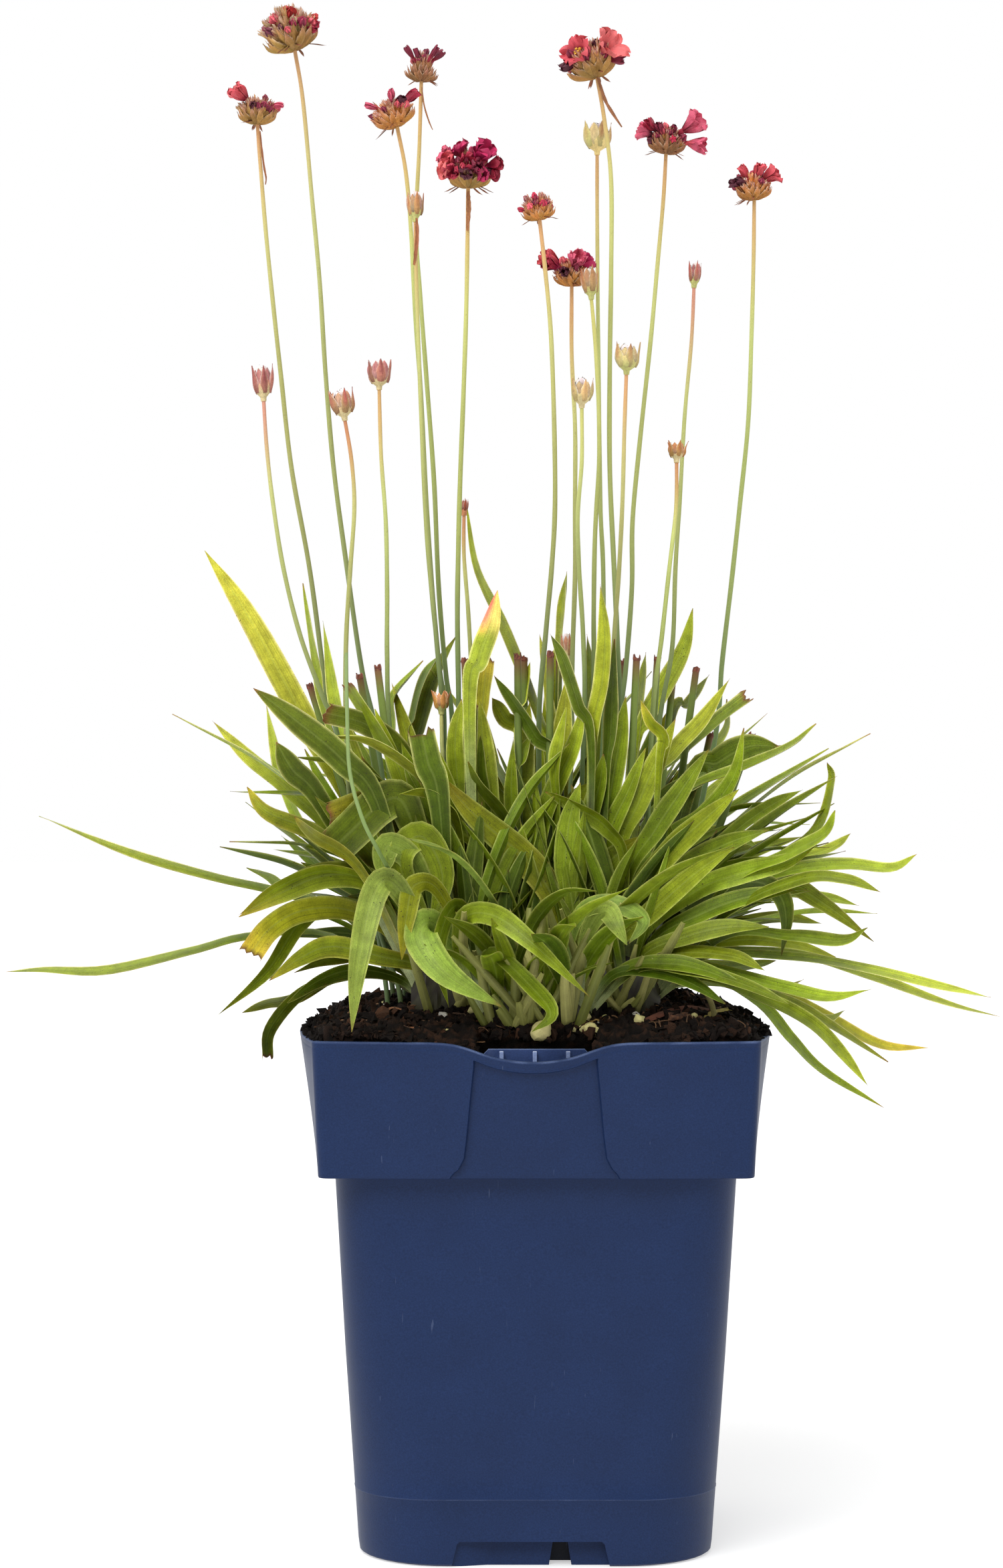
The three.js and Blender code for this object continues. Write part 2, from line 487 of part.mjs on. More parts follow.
// Leaves read from the front view: layer, shown width, places (u, v) from the tip inwards, options.
const SEEN_LEAVES = [
  ['left', 9.6, [[306, 823], [372, 923], [454, 1073], [540, 1230]]],
  ['left', 3, [[452, 872], [472, 992], [500, 1110]]],
  ['left', 5, [[482, 928], [505, 1068], [535, 1180]]],
  ['front', 9, [[379, 1029], [440, 1075], [513, 1137], [570, 1215]]],
  ['left', 6, [[317, 1078], [370, 1130], [429, 1180], [510, 1265]]],
  ['front', 8, [[413, 1109], [437, 1150], [490, 1215]]],
  ['front', 3, [[445, 1133], [510, 1140], [569, 1173], [620, 1240]]],
  ['front', 2.8, [[480, 1101], [556, 1109], [633, 1163], [662, 1230]]],
  ['back', 2.6, [[632, 987], [589, 1038], [587, 1081], [594, 1160]]],
  ['front', 3.8, [[520, 1025], [565, 1095], [612, 1173], [645, 1260]], { cut: true }],
  ['left', 3.3, [[58, 1221], [191, 1273], [319, 1309], [430, 1336], [540, 1380]]],
  ['left', 3.4, [[8, 1454], [64, 1450], [159, 1451], [287, 1421], [373, 1399], [500, 1400]], { level: 0.3 }],
  ['front', 4.6, [[357, 1369], [420, 1325], [497, 1303], [575, 1345]]],
  ['front', 6.5, [[372, 1420], [430, 1400], [500, 1388], [570, 1400]], { cut: true }],
  ['left', 6, [[325, 1519], [399, 1453], [446, 1383], [497, 1348], [560, 1375]]],
  ['back', 4, [[403, 1464], [450, 1430], [497, 1415], [570, 1430]]],
  ['left', 4, [[362, 1515], [400, 1500], [446, 1490], [540, 1450]], { level: 0.2 }],
  ['left', 4.5, [[400, 1582], [404, 1540], [446, 1488], [497, 1462], [560, 1450]], HANGING_TORN],
  ['front', 5.5, [[369, 1177], [399, 1214], [478, 1249], [565, 1325]]],
  ['front', 4, [[440, 1222], [470, 1250], [545, 1310]]],
  ['left', 3.5, [[368, 1298], [400, 1310], [430, 1329], [520, 1370]]],
  ['lowFront', 8.6, [[526, 1543], [536, 1440], [565, 1322], [610, 1300], [655, 1380]], { lean: 80 }],
  ['front', 10, [[641, 1400], [662, 1311], [630, 1250], [598, 1290], [640, 1400]]],
  ['front', 10, [[657, 1159], [708, 1216], [780, 1279], [820, 1328], [845, 1400]]],
  ['front', 5, [[745, 1332], [700, 1250], [640, 1252], [612, 1330]]],
  ['lowFront', 7, [[882, 1490], [794, 1408], [737, 1368], [694, 1374], [690, 1440]], { lean: 78 }],
  ['lowFront', 11, [[750, 1505], [665, 1451], [628, 1394], [650, 1350], [700, 1400]], { lean: 76 }],
  ['front', 4, [[786, 1345], [760, 1328], [727, 1340], [718, 1400]]],
  ['lowFront', 7, [[601, 1435], [608, 1370], [622, 1322], [665, 1345]], { lean: 66 }],
  ['lowFront', 5.5, [[796, 1543], [824, 1515], [794, 1474], [743, 1428], [725, 1445]], { lean: 79 }],
  ['front', 11, [[495, 1225], [560, 1205], [620, 1240], [670, 1330]], { cut: true }],
  ['back', 3.6, [[697, 757], [713, 850], [754, 939], [805, 1067], [835, 1180]]],
  ['front', 7, [[744, 882], [735, 930], [716, 985], [702, 1060]]],
  ['back', 5.6, [[728, 988], [722, 1044], [716, 1130]], { cut: true }],
  ['front', 5.6, [[703, 1054], [700, 1130], [706, 1230]], { cut: true }],
  ['back', 5.5, [[682, 950], [650, 1010], [627, 1087], [617, 1160]]],
  ['back', 2.4, [[660, 975], [634, 1010], [618, 1070], [608, 1130]]],
  ['back', 2.6, [[847, 854], [841, 901], [836, 960], [832, 1040]]],
  ['back', 3, [[806, 948], [815, 1000], [824, 1060], [838, 1130]]],
  ['front', 4.4, [[822, 948], [843, 990], [864, 1054], [884, 1130]]],
  ['back', 3.5, [[792, 989], [782, 1040], [774, 1100]]],
  ['front', 5, [[767, 1102], [764, 1182], [772, 1248], [790, 1335]]],
  ['front', 4, [[795, 1096], [780, 1130], [768, 1190]]],
  ['front', 4, [[846, 1057], [838, 1100], [830, 1150], [832, 1230]]],
  ['front', 6, [[873, 1051], [856, 1118], [812, 1225], [806, 1320]]],
  ['front', 6, [[902, 1127], [897, 1169], [882, 1233], [878, 1325]]],
  ['front', 7, [[882, 1169], [856, 1207], [842, 1290]]],
  ['front', 5, [[815, 1184], [856, 1205], [907, 1238], [935, 1300]]],
  ['back', 6, [[735, 1043], [754, 1072], [790, 1135]]],
  ['front', 4.5, [[738, 1010], [768, 1050], [800, 1100], [838, 1165]]],
  ['front', 6, [[718, 1100], [716, 1156], [726, 1235]]],
  ['front', 9, [[630, 1095], [640, 1140], [658, 1210]], { cut: true }],
  ['front', 3.5, [[699, 1139], [716, 1174], [754, 1220], [782, 1290]]],
  ['front', 2.8, [[648, 1102], [652, 1156], [668, 1230]]],
  ['front', 6, [[690, 1045], [680, 1110], [686, 1200]]],
  ['back', 7, [[1036, 909], [1022, 970], [990, 1030], [965, 1075], [945, 1140]]],
  ['front', 5.5, [[897, 873], [904, 950], [900, 1020], [887, 1080], [884, 1160]]],
  ['front', 4.5, [[918, 955], [915, 1030], [912, 1100], [904, 1180]]],
  ['right', 6, [[1091, 1014], [1051, 1074], [1008, 1123], [955, 1200]]],
  ['front', 6, [[1112, 1088], [1097, 1160], [1051, 1220], [999, 1252], [940, 1325]]],
  ['front', 4, [[957, 1046], [972, 1080], [992, 1105], [985, 1160]]],
  ['right', 5, [[1117, 1042], [1068, 1080], [1010, 1130], [950, 1205]], { cut: true }],
  ['right', 7, [[1173, 1113], [1110, 1135], [1037, 1166], [970, 1230]]],
  ['right', 3, [[1220, 1081], [1180, 1114], [1108, 1148], [1034, 1177], [960, 1240]]],
  ['back', 3, [[1239, 1118], [1146, 1176], [1069, 1230], [980, 1305]]],
  ['back', 3, [[1086, 1045], [1085, 1088], [1051, 1134], [1000, 1195]]],
  ['back', 3.5, [[1060, 1008], [1030, 1050], [1000, 1095]]],
  ['back', 3, [[965, 975], [958, 1030], [950, 1110]]],
  ['back', 4.4, [[877, 948], [884, 1010], [882, 1080], [880, 1160]]],
  ['front', 9, [[958, 1250], [915, 1285], [866, 1345], [850, 1405]]],
  ['front', 5, [[804, 1355], [835, 1312], [869, 1295], [892, 1350]]],
  ['front', 7, [[984, 1199], [998, 1265], [978, 1336], [930, 1400]]],
  ['front', 7, [[1098, 1266], [1044, 1302], [972, 1365], [920, 1415]]],
  ['lowFront', 6, [[941, 1411], [962, 1376], [920, 1352], [872, 1362], [850, 1420]], { lean: 70 }],
  ['right', 3.4, [[1496, 1519], [1414, 1498], [1295, 1456], [1184, 1425], [1050, 1420], [960, 1430]]],
  ['front', 3, [[1482, 1490], [1414, 1475], [1295, 1447], [1180, 1430], [1050, 1432]]],
  ['back', 4.4, [[1389, 1566], [1318, 1562], [1240, 1522], [1150, 1480], [1040, 1455]]],
  ['right', 4, [[1329, 1587], [1241, 1532], [1165, 1492], [1060, 1460]], { level: 0.8 }],
  ['front', 4.4, [[1299, 1623], [1260, 1574], [1212, 1528], [1140, 1490], [1040, 1460]]],
  ['right', 4, [[1322, 1655], [1232, 1601], [1184, 1552], [1132, 1496], [1030, 1450]], { level: 0.1 }],
  ['front', 4, [[1303, 1478], [1241, 1490], [1165, 1475], [1050, 1446], [960, 1440]]],
  ['back', 3.6, [[1202, 1463], [1165, 1480], [1126, 1482], [1050, 1460], [960, 1450]]],
  ['back', 3.5, [[1264, 1509], [1234, 1522], [1176, 1505], [1080, 1470]]],
  ['right', 4.5, [[1371, 1276], [1333, 1297], [1264, 1293], [1176, 1303], [1060, 1350]]],
  ['front', 4, [[1318, 1333], [1264, 1314], [1195, 1314], [1080, 1370]]],
  ['right', 8, [[1307, 1408], [1230, 1350], [1146, 1307], [1040, 1330], [960, 1400]]],
  ['front', 4, [[1297, 1386], [1260, 1406], [1184, 1400], [1080, 1400]]],
  ['back', 3.5, [[1285, 1353], [1220, 1340], [1130, 1350]]],
  ['back', 4, [[1272, 1245], [1241, 1268], [1150, 1300], [1040, 1360]]],
  ['front', 4, [[1248, 1211], [1232, 1246], [1180, 1275], [1080, 1330]]],
  ['right', 3.4, [[1236, 1140], [1243, 1169], [1218, 1242], [1130, 1305]]],
  ['front', 6.5, [[1169, 1429], [1176, 1375], [1165, 1337], [1126, 1318], [1050, 1340], [970, 1400]]],
  ['front', 4.4, [[1144, 1450], [1088, 1428], [1000, 1430]]],
  ['back', 4, [[1161, 1435], [1107, 1445], [1020, 1445]]],
  ['back', 5, [[1144, 1273], [1087, 1245], [1020, 1265], [955, 1345]]],
];

// Leaves set by rule: layer, how many, plan headings in degrees, lengths, start and end lean in degrees.
const ARC_LEAVES = [
  {
    layer: 'lowBack', count: 20, headings: [22, 158],
    lengths: [70, 145], steep: [8, 34], droop: [75, 125],
  },
  {
    layer: 'back', count: 10, headings: [12, 168],
    lengths: [80, 125], steep: [4, 22], droop: [30, 80],
  },
  {
    layer: 'lowFront', count: 8, headings: [-145, -35],
    lengths: [45, 95], steep: [10, 34], droop: [70, 105],
  },
  {
    layer: 'front', count: 3, headings: [-164, -16],
    lengths: [70, 115], steep: [6, 20], droop: [30, 70],
  },
  {
    layer: 'left', count: 5, headings: [170, 190],
    lengths: [70, 140], steep: [6, 34], droop: [60, 105],
  },
  {
    layer: 'right', count: 5, headings: [-10, 10],
    lengths: [70, 130], steep: [6, 34], droop: [60, 105],
  },
];

// Cut stems: layer, the place (u, v) of the cut end, depth.
const STUBS = [
  ['front', [565, 1000], -30], ['left', [538, 1012], 2], ['left', [464, 1027], -4],
  ['front', [695, 990], -28], ['front', [774, 983], -26], ['back', [784, 986], 30],
  ['front', [823, 980], -28], ['back', [836, 988], 30], ['front', [912, 986], -27],
  ['back', [930, 991], 28], ['front', [952, 985], -30], ['right', [983, 985], 3],
  ['back', [1006, 1019], 34], ['right', [1041, 1002], -3], ['right', [1062, 1100], 4],
  ['right', [1124, 1100], -5],
];

function makeShoots(layer) {
  const parts = [makeCrown(layer)];
  SEEN_LEAVES.forEach(([at, width, places, options], i) => {
    if (at === layer) parts.push(seenLeaf(at, i, width, places, options));
  });
  const rule = ARC_LEAVES.find((entry) => entry.layer === layer);
  const within = ([low, high], share) => lerp(low, high, share);
  for (let i = 1; i <= rule.count; i += 1) {
    const heading = THREE.MathUtils.degToRad(within(rule.headings, draw(i, 0)));
    const steep = THREE.MathUtils.degToRad(within(rule.steep, draw(i, 1)));
    const droop = THREE.MathUtils.degToRad(within(rule.droop, draw(i, 4)));
    const length = within(rule.lengths, draw(i, 2));
    parts.push(arcLeaf(layer, i, heading, length, steep, droop, lerp(5, 9, draw(i, 1))));
  }
  for (const [at, place, depth] of STUBS) {
    if (at === layer) parts.push(stub(at, place, depth));
  }
  return joined(parts);
}

// Flower stems: lane, root x, depth of the head, and places (u, v) from the neck down.
const HEADS = {
  tall_left: {
    lane: 'b1', root: -40, depth: 8, radius: 8.6, tilt: -8, size: 1, florets: 7,
    stem: [
      [441, 76], [453, 150], [466, 290], [478, 420], [487, 560],
      [499, 700], [519, 850], [541, 1000], [563, 1100],
    ],
    open: [[431, 18, 3.6], [468, 34, 3.2], [416, 36, 2.6], [446, 66, 2.2]],
  },
  left: {
    lane: 'b2', root: -44, depth: 38, radius: 6.4, tilt: 6, size: 0.9, florets: 6,
    stem: [
      [385, 186], [389, 240], [397, 340], [408, 450], [420, 560],
      [436, 700], [463, 850], [483, 1000], [496, 1100],
    ],
    open: [[352, 132, 4.2], [412, 156, 2.6]],
  },
  mid_left: {
    lane: 'b1', root: -28, depth: 12, radius: 6.6, tilt: -10, size: 0.9, florets: 5,
    stem: [
      [594, 190], [607, 258], [615, 350], [621, 470], [629, 580],
      [636, 720], [644, 850], [655, 980], [664, 1070],
    ],
    open: [[613, 140, 3.4], [584, 136, 2.4], [557, 152, 2]],
  },
  high_mid: {
    lane: 'b2', root: -24, depth: 42, radius: 5, tilt: 2, size: 0.9, florets: 8,
    stem: [
      [630, 122], [627, 220], [622, 340], [629, 450], [638, 570],
      [649, 720], [656, 880], [667, 1010], [676, 1080],
    ],
    open: [[612, 72, 2.6], [649, 74, 2.6]],
  },
  red_middle: {
    lane: 'f2', root: -22, depth: -22, radius: 7, tilt: 1, size: 1.5, florets: 9,
    stem: [[700, 281], [699, 360], [697, 470], [693, 590], [688, 720], [685, 840], [684, 930], [686, 1060]],
    open: [[664, 228, 4.2], [692, 212, 4], [722, 208, 4.2], [740, 222, 3.6], [738, 252, 3], [660, 246, 3.2]],
  },
  small_brown: {
    lane: 'f1', root: 2, depth: -30, radius: 4.9, tilt: -4, size: 0.8, florets: 9,
    stem: [[807, 329], [815, 400], [824, 500], [829, 640], [830, 760], [825, 850], [816, 950], [806, 1080]],
    open: [],
  },
  low_red: {
    lane: 'b1', root: 10, depth: 6, radius: 5.6, tilt: 0, size: 1, florets: 6,
    stem: [[855, 428], [855, 530], [860, 640], [860, 750], [860, 860], [856, 980], [854, 1080]],
    open: [[834, 380, 3.4], [868, 383, 3.6], [822, 390, 2.6]],
  },
  high_right: {
    lane: 'f1', root: 22, depth: -4, radius: 7.8, tilt: -10, size: 1.2, florets: 10,
    stem: [
      [893, 116], [904, 180], [914, 270], [914, 410], [912, 550],
      [912, 700], [918, 840], [923, 950], [926, 1070],
    ],
    open: [[870, 64, 5.2], [908, 56, 5.6], [926, 66, 3.6]],
  },
  right: {
    lane: 'b1', root: 25, depth: 30, radius: 6, tilt: 4, size: 1, florets: 9,
    stem: [
      [996, 230], [992, 300], [983, 400], [973, 510], [957, 660],
      [946, 780], [945, 880], [936, 1000], [928, 1080],
    ],
    open: [[1032, 182, 4.4], [1042, 214, 3.6], [972, 192, 3]],
  },
  far_right: {
    lane: 'b1', root: 42, depth: 18, radius: 5.6, tilt: -6, size: 1, florets: 6,
    stem: [
      [1128, 299], [1127, 390], [1124, 500], [1119, 630],
      [1107, 750], [1094, 870], [1080, 990], [1070, 1100],
    ],
    open: [[1110, 248, 2.8], [1134, 246, 3], [1149, 252, 3.6]],
  },
};

// Buds: lane, root x, depth, radius and height of the bud, and places (u, v) from its neck down.
const BUDS = {
  bud_pair: {
    lane: 'f1', root: -27, depth: -6, radius: 2.5, height: 8,
    stem: [[621, 326], [622, 400], [626, 520], [631, 650], [637, 780], [645, 880], [653, 960], [662, 1080]],
  },
  bud_low_mid: {
    lane: 'f1', root: 15, depth: -16, radius: 2.7, height: 8.5,
    stem: [[884, 442], [890, 510], [895, 600], [896, 690], [890, 800], [888, 920], [888, 1040]],
  },
  bud_high_right: {
    lane: 'b1', root: 18, depth: 14, radius: 3.8, height: 8.5,
    stem: [[893, 226], [893, 310], [894, 450], [896, 620], [898, 760], [902, 850], [903, 980], [904, 1060]],
  },
  bud_far_right: {
    lane: 'b2', root: 34, depth: 44, radius: 2, height: 7,
    stem: [[1038, 425], [1034, 510], [1024, 620], [1017, 740], [1010, 850], [1005, 970], [985, 1090]],
  },
  bud_right: {
    lane: 'f2', root: 21, depth: -45, radius: 3.6, height: 8,
    stem: [[937, 554], [934, 640], [931, 750], [926, 850], [919, 950], [914, 1060]],
  },
  bud_mid: {
    lane: 'f2', root: 12, depth: -38, radius: 3.2, height: 7.6,
    stem: [[870, 604], [870, 690], [864, 770], [866, 850], [872, 950], [874, 1060]],
  },
  bud_dry: {
    lane: 'f1', root: 32, depth: -12, radius: 2.6, height: 5.4,
    stem: [[1012, 686], [1011, 760], [1001, 850], [990, 950], [976, 1070]],
  },
  bud_left: {
    lane: 'f1', root: -44, depth: -25, radius: 3, height: 9.6,
    stem: [[394, 594], [399, 670], [408, 750], [424, 850], [449, 950], [482, 1040], [505, 1100]],
  },
  bud_front_left: {
    lane: 'f2', root: -40, depth: -40, radius: 3.4, height: 8,
    stem: [
      [515, 623], [526, 690], [530, 760], [524, 850],
      [518, 950], [517, 1050], [522, 1180], [540, 1290],
    ],
  },
  bud_mid_left: {
    lane: 'f1', root: -36, depth: -14, radius: 3.5, height: 7.8,
    stem: [[567, 577], [570, 680], [577, 780], [579, 880], [579, 980], [583, 1090]],
  },
  tip_dry: {
    lane: 'b1', root: -19, depth: 14, radius: 1.1, height: 4,
    stem: [[694, 765], [694, 830], [700, 910], [705, 1000], [708, 1080]],
  },
  bud_low_orange: {
    lane: 'f2', root: -30, depth: -24, radius: 2.4, height: 6,
    stem: [[660, 1062], [661, 1110], [662, 1160]],
  },
  bud_low_pale: {
    lane: 'b2', root: 8, depth: 20, radius: 2, height: 7.6,
    stem: [[850, 984], [853, 1040], [856, 1110]],
  },
};

// Depth of a stem at height z: in its lane among the leaves, then easing out to the depth of its head.
function stemDepth(stem, x, z, neckZ) {
  const lane = LANES[stem.lane];
  const low = lane + Math.sign(lane) * LANE_SLOPE * Math.abs(x);
  const top = Math.max(neckZ, STEM.leafTop + 60);
  const rise = clamp((z - STEM.leafTop - 8) / (top - STEM.leafTop - 8), 0, 1);
  return lerp(low, stem.depth, rise * rise * (3 - 2 * rise));
}

function stemSpine(stem) {
  const neckZ = seen(stem.stem[0], stem.depth).z;
  const spine = stem.stem.map((place) => {
    const rough = seen(place, 0);
    return seen(place, stemDepth(stem, rough.x, rough.z, neckZ));
  });
  const lane = LANES[stem.lane];
  const side = Math.sign(lane);
  for (const z of [(SOIL.mound + spine.at(-1).z) / 2 - 4, SOIL.mound + 3, STEM.root]) {
    const last = spine.at(-1);
    const share = clamp((last.z - z) / (last.z - STEM.root), 0, 1);
    const x = z <= SOIL.mound + 3 ? stem.root : lerp(last.x, stem.root, share * 1.4);
    spine.push(point(x, lane + side * LANE_SLOPE * Math.abs(x), z));
  }
  return spine.reverse();
}

function stemRod(stem, low, high) {
  return rod(stemSpine(stem), low, high, STEM.pieces);
}

// The axis of a head: along the last stretch of its stem, tilted in the view.
function headAxis(stem, tilt) {
  const spine = stemSpine(stem);
  const neck = spine.at(-1);
  const along = neck.clone().sub(spine.at(-2)).normalize();
  along.applyAxisAngle(point(0, 1, 0), THREE.MathUtils.degToRad(tilt));
  return { neck, turn: new THREE.Quaternion().setFromUnitVectors(point(0, 0, 1), along) };
}

function placed(head, x, y, z) {
  return point(x, y, z).applyQuaternion(head.turn).add(head.neck);
}

// A dome, bowl or ovoid about a head's axis from (radius, height) rows; a radius of 0 is a pole.
function turnedBody(head, rows, sides) {
  return loft(rows.map(([radius, z]) => {
    if (radius === 0) return [placed(head, 0, 0, z)];
    return Array.from({ length: sides }, (_, k) => {
      const angle = (2 * Math.PI * k) / sides;
      return placed(head, radius * Math.cos(angle), radius * Math.sin(angle), z);
    });
  }));
}

// A pointed bract: three stations in the plane of the head's axis, from (radius, height) places.
function bract(head, angle, rows, half) {
  const out = point(Math.cos(angle), Math.sin(angle), 0);
  const side = point(-Math.sin(angle), Math.cos(angle), 0);
  const rings = rows.map(([radius, z], i) => {
    const middle = out.clone().multiplyScalar(radius);
    if (i === rows.length - 1) return [placed(head, middle.x, middle.y, z)];
    const width = i === 0 ? half * 0.8 : half;
    const left = middle.clone().addScaledVector(side, width);
    const right = middle.clone().addScaledVector(side, -width);
    const back = out.clone().multiplyScalar(radius - 0.8);
    return [
      placed(head, left.x, left.y, z), placed(head, right.x, right.y, z),
      placed(head, back.x, back.y, z + 0.4),
    ];
  });
  return loft(rings);
}

const BOWL = { neck: 1.3, points: 7 };
const BUD = { neck: 0.95, points: 5 };

// A ring of pointed bracts seen from above: tips and notches by turns, about a head's axis.
function pointedRing(head, tip, notch, first) {
  return Array.from({ length: 2 * BOWL.points }, (_, k) => {
    const [radius, z] = (k + first) % 2 === 0 ? tip : notch;
    const angle = (Math.PI * k) / BOWL.points;
    return placed(head, radius * Math.cos(angle), radius * Math.sin(angle), z);
  });
}

// The bowl of a head: two rows of pointed bracts round a cup, and three thin ones bent down below it.
function makeBowl(data) {
  const head = headAxis(data, data.tilt);
  const r = data.radius;
  const parts = [loft([
    [placed(head, 0, 0, 0.35)],
    pointedRing(head, [BOWL.neck, 0.35], [BOWL.neck, 0.35], 0),
    pointedRing(head, [0.8 * r, 0.36 * r], [0.72 * r, 0.42 * r], 0),
    pointedRing(head, [1.02 * r, 0.84 * r], [0.78 * r, 0.58 * r], 0),
    pointedRing(head, [0.72 * r, 0.66 * r], [0.84 * r, 1.1 * r], 0),
    pointedRing(head, [0.62 * r, 0.8 * r], [0.62 * r, 0.8 * r], 0),
    [placed(head, 0, 0, 0.8 * r)],
  ])];
  for (let i = 0; i < 3; i += 1) {
    const angle = ((i + 0.5 * draw(i, 2)) * 2 * Math.PI) / 3;
    const bent = [[0.3 * r, 0.3 * r], [0.78 * r, 0.06 * r], [1.02 * r, -0.12 * r]];
    parts.push(bract(head, angle, bent, 0.12 * r));
  }
  return joined(parts);
}

// A floret: a star of five petals on a tube, with its notches drawn in.
function floret(base, outwards, size, tube) {
  const turn = new THREE.Quaternion().setFromUnitVectors(point(0, 0, 1), outwards);
  const put = (x, y, z) => point(x, y, z).applyQuaternion(turn).add(base);
  const rim = Array.from({ length: 10 }, (_, k) => {
    const angle = (2 * Math.PI * k) / 10;
    const reach = k % 2 === 0 ? size : size * 0.5;
    const rise = k % 2 === 0 ? size * 0.75 : size * 0.45;
    return put(reach * Math.cos(angle), reach * Math.sin(angle), rise);
  });
  return loft([[put(0, 0, -tube)], rim, [put(0, 0, 0.2 * size)]]);
}

// A withered floret: a narrow three-sided spike.
function spike(base, outwards, size) {
  const turn = new THREE.Quaternion().setFromUnitVectors(point(0, 0, 1), outwards);
  const put = (x, y, z) => point(x, y, z).applyQuaternion(turn).add(base);
  const ring = [0, 1, 2].map((k) => {
    const angle = (2 * Math.PI * k) / 3;
    return put(0.8 * Math.cos(angle), 0.8 * Math.sin(angle), -1.2);
  });
  return loft([ring, [put(0, 0, size)]]);
}

function makeFlorets(data) {
  const head = headAxis(data, data.tilt);
  const r = data.radius;
  const low = 0.84 * r + CLEAR;
  const lift = 1 + 0.35 * data.size;
  const parts = [turnedBody(head, [[0.56 * r, low], [0.5 * r, 0.8 * r * lift], [0, 0.95 * r * lift]], 7)];
  for (let i = 1; i <= data.florets; i += 1) {
    const around = 2 * Math.PI * draw(i, 0);
    const out = Math.sqrt((i - 0.3) / data.florets);
    const lean = out * 1.05;
    const axis = point(Math.sin(lean) * Math.cos(around), Math.sin(lean) * Math.sin(around), Math.cos(lean));
    const reach = 0.5 * r * out;
    const rise = low + (0.42 - 0.2 * out) * r;
    const base = placed(head, reach * Math.cos(around), reach * Math.sin(around), rise);
    const outwards = axis.applyQuaternion(head.turn);
    const scale = Math.min(data.size, 1.2);
    const fresh = i % 3 === 0 && data.size > 0.95;
    parts.push(fresh ? floret(base, outwards, 2.3 * scale, 2 * scale) : spike(base, outwards, 2.8 * scale));
  }
  const heart = placed(head, 0, 0, low + 0.25 * r);
  data.open.forEach(([u, v, size], i) => {
    const target = seen([u, v], heart.y + (draw(i + 1, 1) - 0.6) * 3);
    const outwards = target.clone().sub(heart);
    const reach = Math.max(outwards.length() - size * 0.35, 0.9 * size);
    outwards.normalize();
    const base = heart.clone().addScaledVector(outwards, reach * 0.8);
    parts.push(floret(base, outwards, size, reach * 0.8));
  });
  const rim = 1.1 * r + CLEAR;
  const bowlRoom = turnedBody(head, [[3 * r, low - 12], [3 * r, rim]], 8)
    .subtract(turnedBody(head, [[0.54 * r, low], [0.54 * r, rim + 1]], 8));
  return mainBody(joined(parts).subtract(bowlRoom));
}

// A bud: a cup whose rim is drawn out into five pointed bracts, on its own stem.
function makeBud(data) {
  const head = headAxis(data, 0);
  const { radius: r, height: h } = data;
  const cup = (tip, notch) => Array.from({ length: 2 * BUD.points }, (_, k) => {
    const [radius, z] = k % 2 === 0 ? tip : notch;
    const angle = (Math.PI * k) / BUD.points;
    return placed(head, radius * Math.cos(angle), radius * Math.sin(angle), z);
  });
  return joined([
    stemRod(data, 1.05, BUD.neck),
    loft([
      [placed(head, 0, 0, -1)],
      cup([0.9 * r, 0.32 * h], [0.9 * r, 0.32 * h]),
      cup([1.02 * r, h], [0.82 * r, 0.66 * h]),
      [placed(head, 0, 0, 0.86 * h)],
    ]),
  ]);
}

// Soil and bark

const CHIPS = [[42, -49, 9, 20], [53, -17, 8, -65], [-46, 47, 10, 40]];

function soilHeight(x, y) {
  const out = Math.max(Math.abs(x), Math.abs(y)) / 60;
  const lumps = 0.9 * Math.sin(0.31 * x + 1) * Math.cos(0.27 * y) + 0.5 * Math.sin(0.8 * x - 0.6 * y);
  return SOIL.edge + (SOIL.mound - SOIL.edge) * (1 - out ** 2.6) + lumps * clamp(1.6 - 1.5 * out, 0, 1);
}

function chip(index, grow) {
  const [x, y, length, degrees] = CHIPS[index];
  const half = length / 2 + grow;
  const deep = 1.3 + grow;
  const block = loft([-1, -0.4, 0.5, 1].map((share) => {
    const wide = (share === -1 || share === 1 ? 1.6 : 2.8) + grow;
    return [[-1, -1], [1.1, -0.8], [0.8, 1], [-0.9, 0.8]].map(
      ([a, b]) => point(share * half, a * wide, b * deep),
    );
  }));
  return turned(block, degrees).translate([x, y, soilHeight(x, y) + 0.7]);
}

